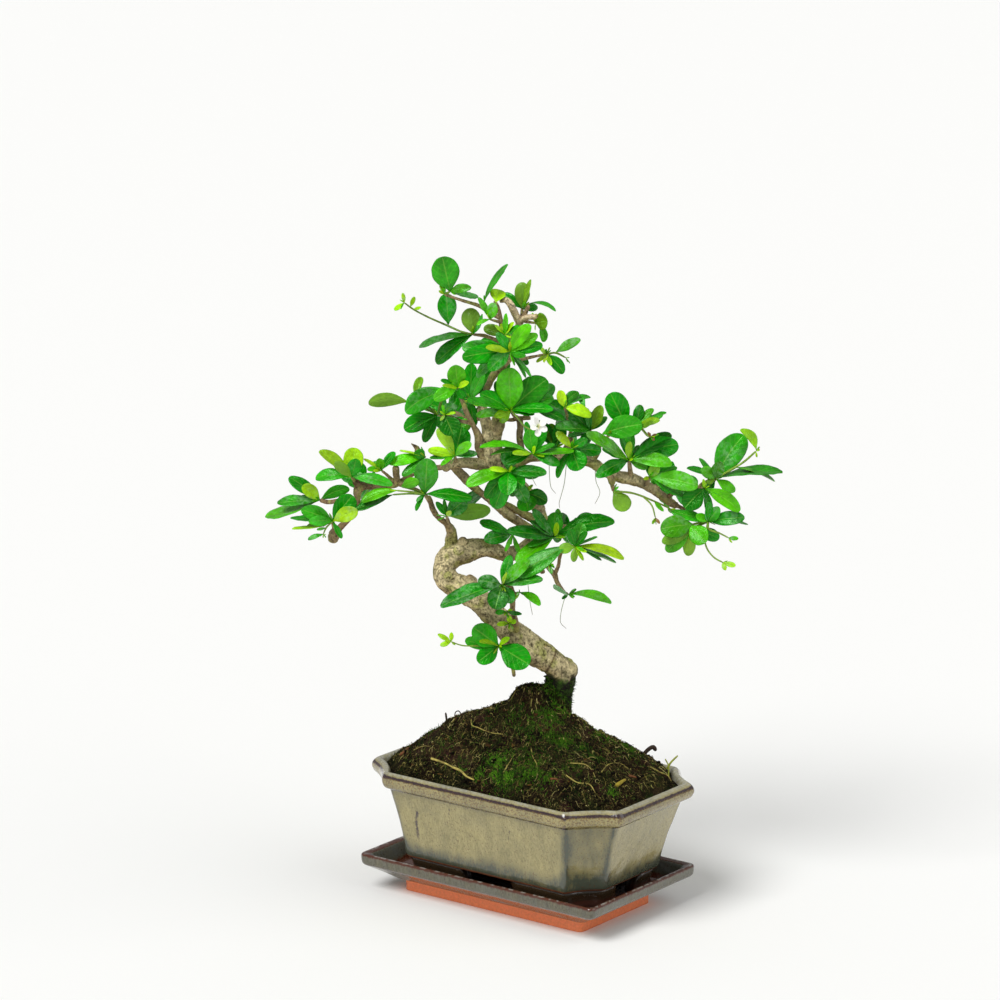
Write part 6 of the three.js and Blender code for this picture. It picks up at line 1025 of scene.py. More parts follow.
def foot_rings(upper, lower, corner):
    """One foot: a rounded upright section carried round its corner from one arch to the next."""
    middle = np.array([*POT_CENTRE, 0])
    own = (upper - middle) * np.array([*corner, 1])
    keep = (own[:, 0] > FOOT_ARCHES[0]) & (own[:, 1] > FOOT_ARCHES[1])
    index = np.nonzero(keep)[0]
    start = index[np.argmax(np.diff(np.append(index, index[0] + len(upper))) > 1)] + 1
    order = (start + np.arange(len(upper))) % len(upper)
    order = order[keep[order]][::5]
    up, down = upper[order], lower[order]
    inward = unit(np.stack([-np.gradient(up[:, 1]), np.gradient(up[:, 0]), 0 * up[:, 0]], axis=1))
    inward *= np.sign(np.einsum("ij,ij->i", inward, middle - up))[:, None]
    wall, edge = FOOT_WALL, FOOT_ROUND
    outside = [(0, 0), (0, 0.35), (0, 0.8), (0, 0.96), (edge, 1)]
    inside = [(wall - edge, 1), (wall, 0.96), (wall, 0.5), (wall, 0)]
    return np.stack([up + (down - up) * t + inward * d for d, t in outside + inside], axis=1)


def make_feet(props):
    """The pot's four feet."""
    low, high = FOOT_HEIGHTS
    insets = [FOOT_TOP_INSET, FOOT_LOW_INSET[0]], [FOOT_TOP_INSET * SIDE_SHARE, FOOT_LOW_INSET[1]]
    (upper, lower), _, _ = pot_outline(insets[0], [high, low], insets[1])
    skin = Skin()
    for corner in ((1, 1), (1, -1), (-1, 1), (-1, -1)):
        rings = foot_rings(upper, lower, corner)
        skin.add(rings, (0, 0, 0), channels(0.0, 0.5, smoothstep(-rings[..., 2], -17, -13)))
    # The feet's dark browns are partly their clay and glaze and partly painted shade from under the pot.
    clay = glaze_material("foot glaze", srgb("#3d2f1e"), srgb("#4a3622"), props.edge, srgb("#2c241a"),
                          srgb("#241a12"), srgb("#4a2718"))
    skin.build("pot_feet", clay, ["pot"])


def saucer_marks(rings, profile):
    """How the glaze lies on the saucer: worn on its lip, pooled inside, and bare on its foot, with glints."""
    z = profile[:, 2:]
    row = np.arange(len(profile))[:, None]
    top = np.argmax(profile[:, 2])
    inner = row > top
    lip = bell(z, 20.2, 1.7) * ((row < top + 5) & (row > top - 7))
    floor = inner * smoothstep(-z, -15.5, -11)
    edge = np.clip(lip * 0.92 + bell(z, 14.4, 0.8) * ~inner * 0.5 + floor * 0.85, 0, 1)
    pool = ~inner * smoothstep(z, 6, 14) * 0.35 + inner * (1 - floor) * 0.75
    glint = bell(row, top, 1.2) * smoothstep(noise(rings, 1.6, 27), 0.5, 0.62) * 0.85
    return channels(glint, 0.0, 0.0), channels(edge, pool, smoothstep(-z, -6.6, -5.8) * ~inner)


def make_saucer(props):
    """The saucer: its profile is carried round a rectangle with rounded corners."""
    profile = eased(even(SAUCER_RINGS, SAUCER_STEP), 2)
    keys = []
    for k, (sx, sy) in enumerate(CORNERS):
        a = (k + np.linspace(0, 1, 7)) * np.pi / 2
        x = sx * (profile[:, :1] - SAUCER_CORNER) + SAUCER_CORNER * np.cos(a)
        y = sy * (profile[:, 1:2] - SAUCER_CORNER) + SAUCER_CORNER * np.sin(a)
        keys.append(np.stack([x, y], axis=-1))
    rings = raised(sampled(keys, np.argmax(profile[:, 0]), OUTLINE_POINTS)[0], profile[:, 2])
    wavy = rough(rings, 16, 9, 2) * 0.25 * (rings[..., 2] > 8)
    rings = rings - unit(rings * FLAT) * np.maximum(wavy, 0)[..., None]
    skin = Skin()
    skin.add(rings, *saucer_marks(rings, profile))
    glaze = glaze_material("saucer glaze", props.saucer_glaze, srgb("#6b6449"), props.saucer_edge,
                           srgb("#575a54"), srgb("#3a2a20"), props.clay)
    skin.build("saucer_glazed", glaze, ["saucer"])


# Soil


def soil_ring(inset, z):
    return pot_outline([inset + SOIL_GAP], [z], count=SOIL_POINTS)[0][0]


EDGE = soil_ring(*SOIL_SIDE[-1])
EDGE_TURN = np.unwrap(np.arctan2(EDGE[:, 1] - SOIL_CROWN[1], EDGE[:, 0] - SOIL_CROWN[0]))
EDGE_FAR = np.hypot(EDGE[:, 0] - SOIL_CROWN[0], EDGE[:, 1] - SOIL_CROWN[1])
SHARES = np.linspace(0, 1, 201)
EASED_PROFILE = eased(np.interp(SHARES, *np.array(SOIL_PROFILE).T), 30)


def collar(x, y):
    """The soil that stands up round the trunk's foot."""
    far = np.hypot(x - TRUNK_FOOT["x"], y - TRUNK_FOOT["y"])
    return TRUNK_FOOT["top"] - TRUNK_FOOT["slope"] * np.maximum(far - TRUNK_FOOT["reach"], 0)


def saddle(x, y):
    """The ridge between the mound's crown and the trunk's foot; x and y run from the crown."""
    run = np.array([TRUNK_FOOT["x"] - SOIL_CROWN[0], TRUNK_FOOT["y"] - SOIL_CROWN[1]])
    part = np.clip((x * run[0] + y * run[1]) / (run @ run), 0, 1)
    beside = np.hypot(x - part * run[0], y - part * run[1])
    return SADDLE["top"] - SADDLE["slope"] * np.maximum(beside - SADDLE["reach"], 0)


def mound(x, y, relief=1.0):
    """The height of the mound: its profile by the share of the way out, its left lump, the saddle and the
    collar, each joined softly, and crumbly noise."""
    across, deep = x - SOIL_CROWN[0], y - SOIL_CROWN[1]
    turn = (np.arctan2(deep, across) - EDGE_TURN[0]) % TURN
    edge = np.interp(turn, EDGE_TURN - EDGE_TURN[0], EDGE_FAR, period=TURN)
    share = np.clip(np.hypot(across, deep) / edge, 0, 1)
    far = np.hypot(x - SOIL_LUMP["x"], y - SOIL_LUMP["y"]) / SOIL_LUMP["reach"]
    height = np.interp(share, SHARES, EASED_PROFILE) + SOIL_LUMP["height"] * bell(far, 0, 1) * (1 - share ** 6)
    for other in (saddle(across, deep), collar(x, y)):
        height = np.logaddexp(height / SOFT_JOINT, other / SOFT_JOINT) * SOFT_JOINT
    flat = np.stack([x, y, 0 * x], axis=-1)
    crumbs = rough(flat, 7, 1, 3) * 1.6 + rough(flat, 1.9, 2, 2) * 0.7
    return height + crumbs * relief * (1 - smoothstep(share, 0.93, 1)) * smoothstep(share, 0.02, 0.15)


def on_mound(u, w):
    """Where the line of sight at u, w meets the mound, seen from the front."""
    line = place(u, w, np.linspace(-75, 75, 301))
    above = line[:, 2] - mound(line[:, 0], line[:, 1])
    under = np.nonzero(above < 0)[0]
    x, y, _ = line[under[0]] if len(under) else line[np.argmin(above)]
    return np.array([x, y, mound(x, y)])


def skyline(u):
    """The depth v at which the mound's outline is seen at u."""
    v = np.linspace(-30, 45, 151)
    x, y, _ = place(u, 90.0, v).T
    seen = EYE[2] + (mound(x, y) - EYE[2]) / ((v - EYE[1]) / -EYE[1])
    seen[mound(x, y, 0) < 68] = 0
    return float(v[np.argmax(seen)])


def moss_spots():
    """Middles, reach and brightness of the moss patches, in front by sight and behind by place."""
    front = [[*on_mound(u, w), reach, bright] for u, w, reach, bright in MOSS]
    return np.array(front + [[x, y, mound(x, y), reach, 0.6] for x, y, reach in MOSS_BEHIND])


def make_soil(props):
    """The mound: its height over rings that shrink from the pot's inner outline to the crown, with its
    hidden side."""
    rows = [soil_ring(inset, z) for inset, z in SOIL_SIDE[:-1]]
    for share in np.concatenate([np.linspace(1, 0.2, 88), np.linspace(0.2, 0.012, 32)[1:]]):
        x, y = (blend(SOIL_CROWN[k], EDGE[:, k], share) for k in (0, 1))
        rows.append(np.stack([x, y, mound(x, y)], axis=-1))
    rings = np.array(rows)
    green = np.zeros(rings.shape[:2])
    for *spot, reach, bright in moss_spots():
        green = np.maximum(green, bell(np.linalg.norm(rings - np.array(spot), axis=-1) / reach, 0, 1) * bright)
    green = smoothstep(green + (noise(rings, 2.4, 6) - 0.5) * 1.3, 0.35, 0.8)[..., None]
    tint = srgb("#0e0a06")
    layers = (
        ("#22180e", patches(rings, 6, 3, 0.3, 0.7)),
        ("#33201a", patches(rings, 11, 8, 0.6, 0.78)),
        ("#2b3a16", patches(rings, 9, 12, 0.45, 0.7) * 0.22),
        ("#1f3d0e", green),
    )
    for text, share in layers:
        tint = blend(tint, srgb(text), share)
    skin = Skin()
    skin.add(rings, tint)
    skin.build("soil_mound", soil_material(), ["soil"])


def steepness(x, y, reach=0.5):
    """How many millimetres the mound rises in one, at each place."""
    here = mound(x, y, 0)
    return np.hypot(mound(x + reach, y, 0) - here, mound(x, y + reach, 0) - here) / reach


def scatter(count, bias):
    """Random places on the mound; the smaller the bias, the more of them lie far out."""
    share = RNG.random(count) ** bias * 0.97
    at = RNG.random(count) * len(EDGE)
    low = at.astype(int) % len(EDGE)
    edge = blend(EDGE[low], EDGE[(low + 1) % len(EDGE)], (at - at.astype(int))[:, None])
    return blend(SOIL_CROWN[0], edge[:, 0], share), blend(SOIL_CROWN[1], edge[:, 1], share)


def drawn(table, count):
    """That many colours, drawn from a table of colours and their shares."""
    palette = np.array([srgb(text) for text, _ in table])
    return palette[RNG.choice(len(table), count, p=[share for _, share in table])]


def strands(skin, paths, radii, tint):
    """Many thin strands alike: (many, steps, 3) paths, each a tube with three sides."""
    first = unit(np.cross(unit(np.gradient(paths, axis=1)), np.array([0.31, 0.17, 0.94])))
    second = np.cross(unit(np.gradient(paths, axis=1)), first)
    a = np.arange(3)[:, None] / 3 * TURN
    radii = np.broadcast_to(radii, paths.shape[:2])[..., None, None]
    skin.add(paths[:, :, None] + radii * (np.cos(a) * first[:, :, None] + np.sin(a) * second[:, :, None]), tint)


def make_fibres(props):
    """Fine roots that wander over the mound, rising and dipping as they go, shorter and rarer where it is
    steep."""
    count, steps = props.fibres, 5
    x, y = scatter(count, 0.52)
    heading = RNG.random(count) * TURN
    length = (1.3 + RNG.random(count) ** 2.4 * 7) / np.hypot(1, steepness(x, y))
    turn = heading[:, None] + np.cumsum(RNG.normal(0, 0.78, (count, steps)), axis=1)
    px = x[:, None] + np.cumsum(np.cos(turn), axis=1) * length[:, None] / steps
    py = y[:, None] + np.cumsum(np.sin(turn), axis=1) * length[:, None] / steps
    hump = np.sin(np.linspace(0, np.pi, steps))[None]
    lift = 0.05 + 0.9 * RNG.random((count, 1)) ** 2 * hump + RNG.random((count, steps)) * 0.3
    keep = (mound(px, py, 0) > SOIL_RIM).all(axis=1) & (RNG.random(count) * 6 > steepness(x, y))
    paths = np.stack([px, py, mound(px, py) + lift], axis=-1)[keep]
    radii = (0.06 + RNG.random((count, 1)) ** 2 * 0.14)[keep] * np.array([0.6, 1, 1, 0.9, 0.4])
    skin = Skin()
    strands(skin, paths, radii, drawn(FIBRE_COLOURS, count)[keep])
    skin.build("soil_fibres", plain_material("root fibre", 0.8, 0.35, 0.12))


def make_crumbs(props):
    """Crumbs and flakes of peat: small uneven bodies, three rings of five points, half sunk in the mound."""
    count = props.crumbs
    x, y = scatter(count, 0.5)
    size = 0.28 + RNG.random(count) ** 4 * 0.95
    centre = np.stack([x, y, mound(x, y) + size * 0.1], axis=-1)
    a = np.arange(5) / 5 * TURN
    lat = np.array([-0.75, 0, 0.75])[:, None]
    base = channels(np.cos(a)[None] * np.cos(lat), np.sin(a)[None] * np.cos(lat), np.sin(lat))
    stretch = np.array([0.7, 0.5, 0.3]) + RNG.random((count, 3)) * np.array([1.5, 0.7, 0.6])
    body = base[None] * stretch[:, None, None] * (1 + RNG.normal(0, 0.25, (count, 3, 5, 1)))
    turn = RNG.random(count)[:, None, None] * TURN
    x, y, z = np.moveaxis(body, -1, 0)
    body = np.stack([x * np.cos(turn) - y * np.sin(turn), x * np.sin(turn) + y * np.cos(turn), z], -1)
    skin = Skin()
    skin.add(centre[:, None, None] + body * size[:, None, None, None], drawn(CRUMB_COLOURS, count))
    skin.build("soil_crumbs", plain_material("peat crumb", 0.9, 0.35, 0.06))


def trunk_foot(count):
    """Random places on the trunk's foot between the soil and the bare bark, with the ways straight out of
    it."""
    u, level, v, radius = np.array(LIMBS[0][:5], float).T
    w = 98 + RNG.random(count) ** 0.8 * 19.5
    turn = RNG.random(count) * TURN
    out = np.stack([np.cos(turn), np.sin(turn), 0 * turn], axis=-1)
    middle = place(np.interp(w, level, u), w, np.interp(w, level, v))
    return middle + out * (np.interp(w, level, radius) * 1.02)[:, None], out


def patch_moss(count):
    """Feet and brightness of the moss blades in the patches, which noise breaks up."""
    spots = moss_spots()
    weight = spots[:, 3] ** 2 * (0.35 + spots[:, 4])
    pick = RNG.choice(len(spots), count, p=weight / weight.sum())
    x, y = (spots[pick, :2] + RNG.normal(0, 0.5, (count, 2)) * spots[pick, 3:4]).T
    root = np.stack([x, y, mound(x, y) - 0.15], axis=-1)
    keep = (mound(x, y, 0) > SOIL_RIM + 0.1) & (noise(root, 2.6, 47) > 0.36 + 0.1 * RNG.random(count))
    bright = spots[pick, 4] * (0.55 + 0.45 * RNG.random(count))
    return root[keep], bright[keep]


def make_moss(props):
    """Moss: short pointed blades, brighter at the patches, that stand up from the mound and out of the
    trunk's foot."""
    patch, bright = patch_moss(props.moss)
    x, y = scatter(props.fuzz, 0.6)
    fuzz = np.stack([x, y, mound(x, y) - 0.1], axis=-1)
    bright = np.concatenate([bright, RNG.random(len(fuzz)) * 0.3])
    long = np.concatenate([0.7 + RNG.random(len(patch)) * 1.2, 0.4 + RNG.random(len(fuzz)) ** 2 * 1.3])
    lean = unit(np.concatenate([RNG.normal(0, 0.55, (len(long), 2)), np.ones((len(long), 1))], axis=1))
    foot, out = trunk_foot(props.sleeve)
    root = np.concatenate([patch, fuzz, foot])
    lean = np.concatenate([lean, unit(out + RNG.normal(0, 0.4, out.shape))])
    bright = np.concatenate([bright, RNG.random(len(foot)) ** 2 * 0.8])
    long = np.concatenate([long, 0.5 + RNG.random(len(foot)) ** 2 * 1.5])
    t = np.array([0, 0.5, 1])[None, :, None]
    bow = RNG.normal(0, 0.18, (len(root), 1, 3)) * t ** 2
    paths = root[:, None] + (lean[:, None] * t + bow) * long[:, None, None]
    dark, light = srgb("#17260a"), srgb("#69a823")
    tint = dark + (light - dark) * (bright * (0.3 + 0.7 * noise(root, 3.2, 61)))[:, None]
    skin = Skin()
    strands(skin, paths, np.array([0.19, 0.15, 0.04])[None], tint)
    skin.build("soil_moss", plain_material("moss", 0.85, 0.3, 0.08))


def make_strays(props):
    """The larger roots, bark bits and twigs: those that lie along the mound, and those that stand on its
    skyline."""
    skin = Skin()
    for colour, radius, *points in STRAYS:
        at = np.array([on_mound(u, w) for u, w in points])
        at[:, 2] += radius * 0.5
        line, size = smooth_line(at, np.full(len(at), radius), 0.8)
        line[:, 2] = np.maximum(line[:, 2], mound(line[:, 0], line[:, 1], 0.5))
        size = size * (1 + 0.25 * rough(line, 2.5, 4, 2)) * np.linspace(1, 0.55, len(size))
        # Worn patches darken the roots here and there.
        dark_share = patches(line, 2.2, 71, 0.45, 0.8)[:, None] * 0.55
        skin.add(tube_rings(line, size, 7), blend(srgb(colour), srgb("#4a3a20"), dark_share))
    for colour, radius, *points in STANDING:
        at = place(*np.array(points, float).T, skyline(points[0][0]) - 1)
        ground = mound(at[0, 0], at[0, 1])
        if at[0, 2] > ground:
            at = np.vstack([[at[0, 0], at[0, 1], ground - 0.6], at])
        line, size = smooth_line(at, np.full(len(at), radius), 0.7)
        size = size * (1 + 0.2 * rough(line, 2, 6, 2))
        skin.add(tube_rings(line, size, 7), srgb(colour))
    skin.build("soil_roots", plain_material("old root", 0.75, 0.3))


# Wood


def bark_tube(skin, nodes, sides, step, relief, colours, swell=1):
    """A limb as a tube whose surface is pushed in and out by noise: low lumps, plates between fissures, fine
    scales. Its colour has painted shade where it faces down."""
    radii = np.array([n[3] for n in nodes], float) * swell
    line, size = smooth_line(tree_points(nodes), radii, step)
    rings = tube_rings(line, size, sides)
    out = unit(rings - line[:, None])
    r = size[:, None]
    ridges = 1 - np.abs(rough(rings, 2.6, 7, 2))
    lumps = rough(rings, 6.5, 3, 2) * 0.17 * r
    cracks = -smoothstep(ridges, 0.86, 0.99) * np.minimum(0.55, 0.12 * r)
    scales = rough(rings, 1.2, 11, 2) * np.minimum(0.22, 0.07 * r)
    push = (lumps + cracks + scales) * relief
    from_end = np.arange(len(line))
    fade = np.minimum(1, np.minimum(from_end, from_end[::-1]) / 2)[:, None]
    rings = rings + out * (push * fade)[..., None]
    # Painted shade: darker and browner where the bark faces down.
    underside_shade = 1 - 0.42 * smoothstep(-out[..., 2:], -0.1, 0.85) * np.array([0.8, 1, 1.25])
    skin.add(rings, colours(rings, r + 0 * push, cracks) * underside_shade)


def bark_colours(rings, r, cracks):
    """Tan and grey bark: browner on thin twigs and far out, with green-yellow lichen, dark fissures,
    bleached dead tips at the top, and black mossy peat at the foot."""
    z = rings[..., 2] + rough(rings, 4, 31) * 5
    foot = smoothstep(-z, -PEAT_LINE[1], -PEAT_LINE[0]) * (np.abs(rings[..., 0] - 14) < 40)
    tint = blend(srgb("#b1a47c"), srgb("#d8c89a"), patches(rings, 5, 2, 0.3, 0.7))
    layers = (
        ("#8c7554", smoothstep(-r, -3, -1.4) * 0.8),
        ("#7a5c42", smoothstep(np.abs(rings @ RIGHT), 62, 84) * 0.6),
        ("#a3a457", smoothstep(noise(rings, 4, 21) + 0.3 * noise(rings, 1.5, 22), 0.68, 0.9) * 0.75),
        ("#2f2619", smoothstep(-cracks, 0.1, 0.5) * 0.6),
        ("#dcc8a4", smoothstep(rings[..., 2], *DEAD_TIPS) * smoothstep(r, 1.3, 1.5) * 0.85),
        ("#17110a", foot),
        ("#3a5a16", foot * smoothstep(rough(rings, 3, 41), -0.3, 0.4) * 0.6),
    )
    for text, share in layers:
        tint = blend(tint, srgb(text), share[..., None])
    return tint


def trunk_colours(rings, r, cracks):
    """The bark's colours, with the dark groove low on the trunk."""
    from_groove = rings - place(*GROOVE)
    lean = unit(np.array([0.93 * RIGHT[0], 0.93 * RIGHT[1], -0.45]))
    near = bell(from_groove @ lean, rough(rings, 3, 51, 2) * 0.9, 0.65)
    near = near * (np.linalg.norm(from_groove, axis=-1) < 13) * 0.85
    return blend(bark_colours(rings, r, cracks), srgb("#4a2d1c"), near[..., None])


def make_trunk(props):
    """The trunk, from under the soil round its elbows to the fork."""
    skin = Skin()
    bark_tube(skin, LIMBS[0], 66, 0.64, props.bark_relief, trunk_colours, 1.02)
    skin.build("trunk", bark_material(), ["wood"])


def plain_bark(skin, rings, r):
    """Adds a small piece of wood without fissures, coloured as bark of that radius."""
    skin.add(rings, bark_colours(rings, np.full(rings.shape[:2], r), rings[..., 0] * 0))


def make_limbs(props):
    """All the limbs that leave the trunk, and the knots, each a rough ball."""
    skin = Skin()
    for nodes in LIMBS[1:]:
        bark_tube(skin, nodes, 26, 0.75, props.bark_relief, bark_colours)
    t = np.linspace(-0.92, 0.92, 9)
    for knot in KNOTS:
        centre, r = tree_points([knot])[0], knot[3]
        rings = tube_rings(centre + t[:, None] * r * np.array([0, 0, 1.0]), r * np.sqrt(1 - t ** 2), 16, False)
        rings = rings + unit(rings - centre) * (rough(rings, 1.8, 15, 2) * 0.3)[..., None]
        plain_bark(skin, rings, 3.0)
    skin.build("limbs", bark_material(), ["wood"])


def make_twigs(props):
    """The thin uneven twigs that carry the sprays."""
    skin = Skin()
    for _, _, (foot, end, *nodes), heart, _, _ in SPRAYS:
        points = tree_points([*nodes, heart])
        line, size = smooth_line(points, np.linspace(foot, end * 0.8, len(points)), 0.9)
        rings = tube_rings(line, size * (1 + 0.16 * rough(line, 3, 5, 2)), 12)
        rings = rings + unit(rings - line[:, None]) * (rough(rings, 1.1, 11, 2) * 0.08)[..., None]
        plain_bark(skin, rings, 1.2)
    skin.build("twigs", bark_material(), ["wood"])


# Leaves


def blade_outline(t, broadest):
    """A blade's half width at t along its rib, from 0 to 1: it widens as a sine to its broadest place and
    closes in a rounded tip."""
    body = np.sin(np.pi / 2 * np.clip((t - 0.015) / (broadest - 0.015), 0, 1)) ** 1.05
    tip = np.sqrt(np.maximum(0, 1 - np.clip((t - broadest) / (1 - broadest), 0, 1) ** 2.15))
    return np.maximum(body * tip, 0.06)


def blade_rings(foot, tip, width, rise=0, turn=0.0, size=(14, 8), thick=0.5, fold=0.17, broad=None):
    """A leaf blade. At t along the rib and s across, the point is foot + along·t − sideways·rise·4t(1−t) +
    front·(arch·4t(1−t) + curl·t³) + up·fold·(1.5s − 0.7s² − 0.5) + side·s·half·outline(t), rippled and
    wobbly at the margin; the two sheets stand off it by thick·√(1−s²)/2 and meet there. A width below 0
    shows its underside. Also gives each point's place across and whether it lies on the underside."""
    along = tip - foot
    length = np.linalg.norm(along)
    side0 = unit(np.cross(along, EYE_POINT - foot))
    front = unit(np.cross(side0, along))
    broad = broad or max(abs(width), NATURAL_WIDTH * length)
    hand = 1 if along @ RIGHT >= 0 else -1
    tilt = math.acos(abs(width) / broad)
    roll = hand * (math.pi - tilt if width < 0 else tilt) + turn
    side = side0 * math.cos(roll) + front * math.sin(roll)
    up = front * math.cos(roll) - side0 * math.sin(roll)
    rows, across = size
    t = 0.995 * np.sin(np.linspace(0, 1, rows) * np.pi / 2) ** 1.15
    share = blade_outline(t, 0.5 + 0.12 * RNG.random())[:, None]
    s = np.sin(np.linspace(-1, 1, across + 1) * np.pi / 2)
    sheet = np.concatenate([s, s[-2:0:-1]])
    top = np.concatenate([np.ones(across + 1), -np.ones(across - 1)])
    wave, wobble = (np.cumsum(RNG.normal(0, spread, (rows, 2)), axis=0) for spread in (0.05, 0.02))
    ripple = np.where(sheet[None] > 0, wave[:, :1], wave[:, 1:]) * sheet[None] ** 2
    reach = broad / 2 * share * (1 + np.where(sheet[None] > 0, wobble[:, :1], wobble[:, 1:]) * np.abs(sheet))
    bow = 4 * t * (1 - t)
    curl = RNG.normal(0, 0.05) * length * t ** 3
    lift = reach * (fold * (1.5 * np.abs(sheet) - 0.7 * sheet ** 2 - 0.5)[None] + ripple)
    lens = np.sqrt(np.maximum(0, 1 - sheet ** 2))
    stand = top * lens * thick / 2 * np.minimum(1, 0.35 + share * 1.2)
    rib = foot + along * t[:, None] - side0 * hand * rise * bow[:, None]
    rib = rib + front * (ARCH * length * bow + curl)[:, None]
    rings = rib[:, None] + up * (lift + stand)[..., None] + side * (reach * sheet[None])[..., None]
    return rings, sheet * 0.5 + 0.5, np.where(top < 0, 1.0, 0.0) * np.ones((rows, 1))


def leaf_tint(tone):
    """The tone's colour, a little lighter or darker and yellower or bluer for each leaf."""
    return srgb(LEAF_COLOURS[tone]) * np.clip(1 + RNG.normal(0, 0.24), 0.5, 1.22) * (1 + RNG.normal(0, 0.06, 3))


def foot_depth(heart, stems, u, w):
    """The depth of the nearest point of a spray's stems to a leaf's foot, or the heart's, and whether one
    is near."""
    best, least = heart[2], NEAR_STEM
    for _, *nodes in stems:
        a = np.array(nodes, float)
        t = np.linspace(0, 1, 21)[:, None]
        dense = np.vstack([p + (q - p) * t for p, q in zip(a[:-1], a[1:])])
        far = np.hypot(dense[:, 0] - u, dense[:, 1] - w)
        if far.min() < least:
            best, least = dense[far.argmin(), 2], far.min()
    return best, least < NEAR_STEM


def rosette(skin, middle, outward, count, size, tones):
    """Very small new leaves that stand out of a shoot's end, spread about one direction."""
    for _ in range(count):
        aim = unit(outward + RNG.normal(0, 0.55, 3))
        length = size * (0.6 + 0.7 * RNG.random())
        rings, across, under = blade_rings(middle, middle + aim * length, length * 0.2, 0, RNG.normal(0, 0.9),
                                           TINY_BLADE, 0.34, 0.3, length * 0.34)
        skin.add(rings, leaf_tint(int(RNG.choice(tones))), channels(under, 0.4, 0.0), across)


def back_leaves(skin, twig, middle, props):
    """More leaves that fill the crown behind: they stand out all along a spray's own twig, mostly
    backwards."""
    points = np.vstack([tree_points(twig[2:]), middle])
    line, _ = smooth_line(points, np.ones(len(points)), 0.5)
    away = unit(middle - EYE_POINT)
    for k in range(props.back_leaves):
        foot = line[int((0.18 + 0.76 * k / props.back_leaves) * (len(line) - 1))]
        aim = unit(away * (0.7 + 0.4 * RNG.random()) + RNG.normal(0, 0.5, 3) * np.array([1, 1, 1.3]))
        length = 8 + 7 * RNG.random()
        width = length * (0.36 + 0.1 * RNG.random())
        rings, across, under = blade_rings(foot, foot + aim * length, width, 0, RNG.normal(0, 0.8), BIG_BLADE,
                                           props.thickness / MM, props.fold, width)
        skin.add(rings, leaf_tint(int(RNG.choice((1, 2, 2, 3)))), channels(under, 1.0, 0.0), across)


def add_leaf(skin, leaf, heart, stems, middle, props):
    """One leaf of the table, with a petiole where its foot lies neither at the heart nor on a stem."""
    u, w, width, lean, tone, rise, foot_u, foot_w = [*leaf, *[0, *heart[:2]][len(leaf) - 5:]]
    depth, on_stem = foot_depth(heart, stems, foot_u, foot_w)
    depth = float(deepen(foot_w, depth))
    foot, tip = place(foot_u, foot_w, depth), place(u, w, depth + lean)
    if len(leaf) > 6 and not on_stem:
        bent = [middle, (middle + foot) / 2 + np.array([0, 0, 0.4]), foot]
        skin.add(tube_rings(*smooth_line(bent, [0.6, 0.5, 0.45], 0.9), 7), srgb("#6f8f30"))
    big = np.linalg.norm(tip - foot) > BIG_LEAF
    size = BIG_BLADE if big else SMALL_BLADE
    rings, across, under = blade_rings(foot, tip, width * 1.05, rise * 0.75, 0.0, size, props.thickness / MM,
                                       props.fold)
    # The mark's third channel is how much painted sheen the leaf gets.
    mark = channels(under, 1 if big else 0.5, RNG.random())
    skin.add(rings, leaf_tint(tone), mark, across)


def make_spray(spray, material, props):
    """One spray: green stems with new leaves at their ends, the leaves of the table, and the bud at its
    heart."""
    name, tone, twig, heart, stems, leaves = spray
    skin = Skin()
    middle = tree_points([heart])[0]
    for radius, *nodes in stems:
        points = tree_points(nodes)
        line, size = smooth_line(points, np.linspace(radius * 1.05, radius * 0.7, len(points)), 0.9)
        size = size * (1 + 0.14 * rough(line, 2.6, 5, 2))
        skin.add(tube_rings(line, size, 8), srgb("#7f9a3a") * (1 + RNG.normal(0, 0.1)))
        rosette(skin, points[-1], unit(points[-1] - points[-2]), 4, 3.2, (0, 0, 1))
    for leaf in leaves:
        add_leaf(skin, leaf, heart, stems, middle, props)
    rosette(skin, middle, unit(unit(middle - np.array(CROWN)) + np.array([0, 0, 0.7])), 5, 4.4, (0, 0, 1, 1))
    if name.startswith("back_"):
        back_leaves(skin, twig, middle, props)
    skin.build("leaves_" + name, material, ["spray_" + name])


def make_leaves(props):
    """All the sprays, with one material."""
    material = leaf_material()
    for spray in SPRAYS:
        make_spray(spray, material, props)


def make_flower(props):
    """The white flower: five rounded petals and the fine stamens before them."""
    skin = Skin()
    middle = tree_points([FLOWER])[0]
    for u, w in PETALS:
        tip = place(u, w, float(deepen(w, FLOWER[2])) - 1.6)
        rings, across, _ = blade_rings(middle, tip, 3.0, 0, RNG.normal(0, 0.35), (12, 8), 0.4, 0.5, 3.4)
        skin.add(rings, srgb("#f6f6f0") * (1 - 0.08 * RNG.random()), (0, 0, 0), across)
    eye = unit(EYE_POINT - middle)
    for _ in range(5):
        aim = unit(eye + RNG.normal(0, 0.35, 3))
        line = middle + aim * np.linspace(0, 2.6, 5)[:, None]
        skin.add(tube_rings(line, [0.2, 0.16, 0.14, 0.24, 0.26], 6), srgb("#e9e6a8"))
    skin.build("flower_white", plain_material("petal", 0.6, 0.05), ["flower_petals"])


def make_threads(props):
    """Dead flower threads that hang from the twigs, each a thin line that sways as it falls and browns to
    its end."""
    skin = Skin()
    fresh, dry = srgb("#9fb08a"), srgb("#6b5b3c")
    for v, *points in THREADS:
        at = tree_points([[u, w, v] for u, w in points])
        line, size = smooth_line(at, np.linspace(0.2, 0.13, len(at)), 1.2)
        tint = fresh + (dry - fresh) * np.linspace(0, 1, len(line))[:, None, None] ** 3
        skin.add(tube_rings(line, size, 5), tint)
    skin.build("hanging_threads", plain_material("dry thread", 0.8, 0.2))


# Stage


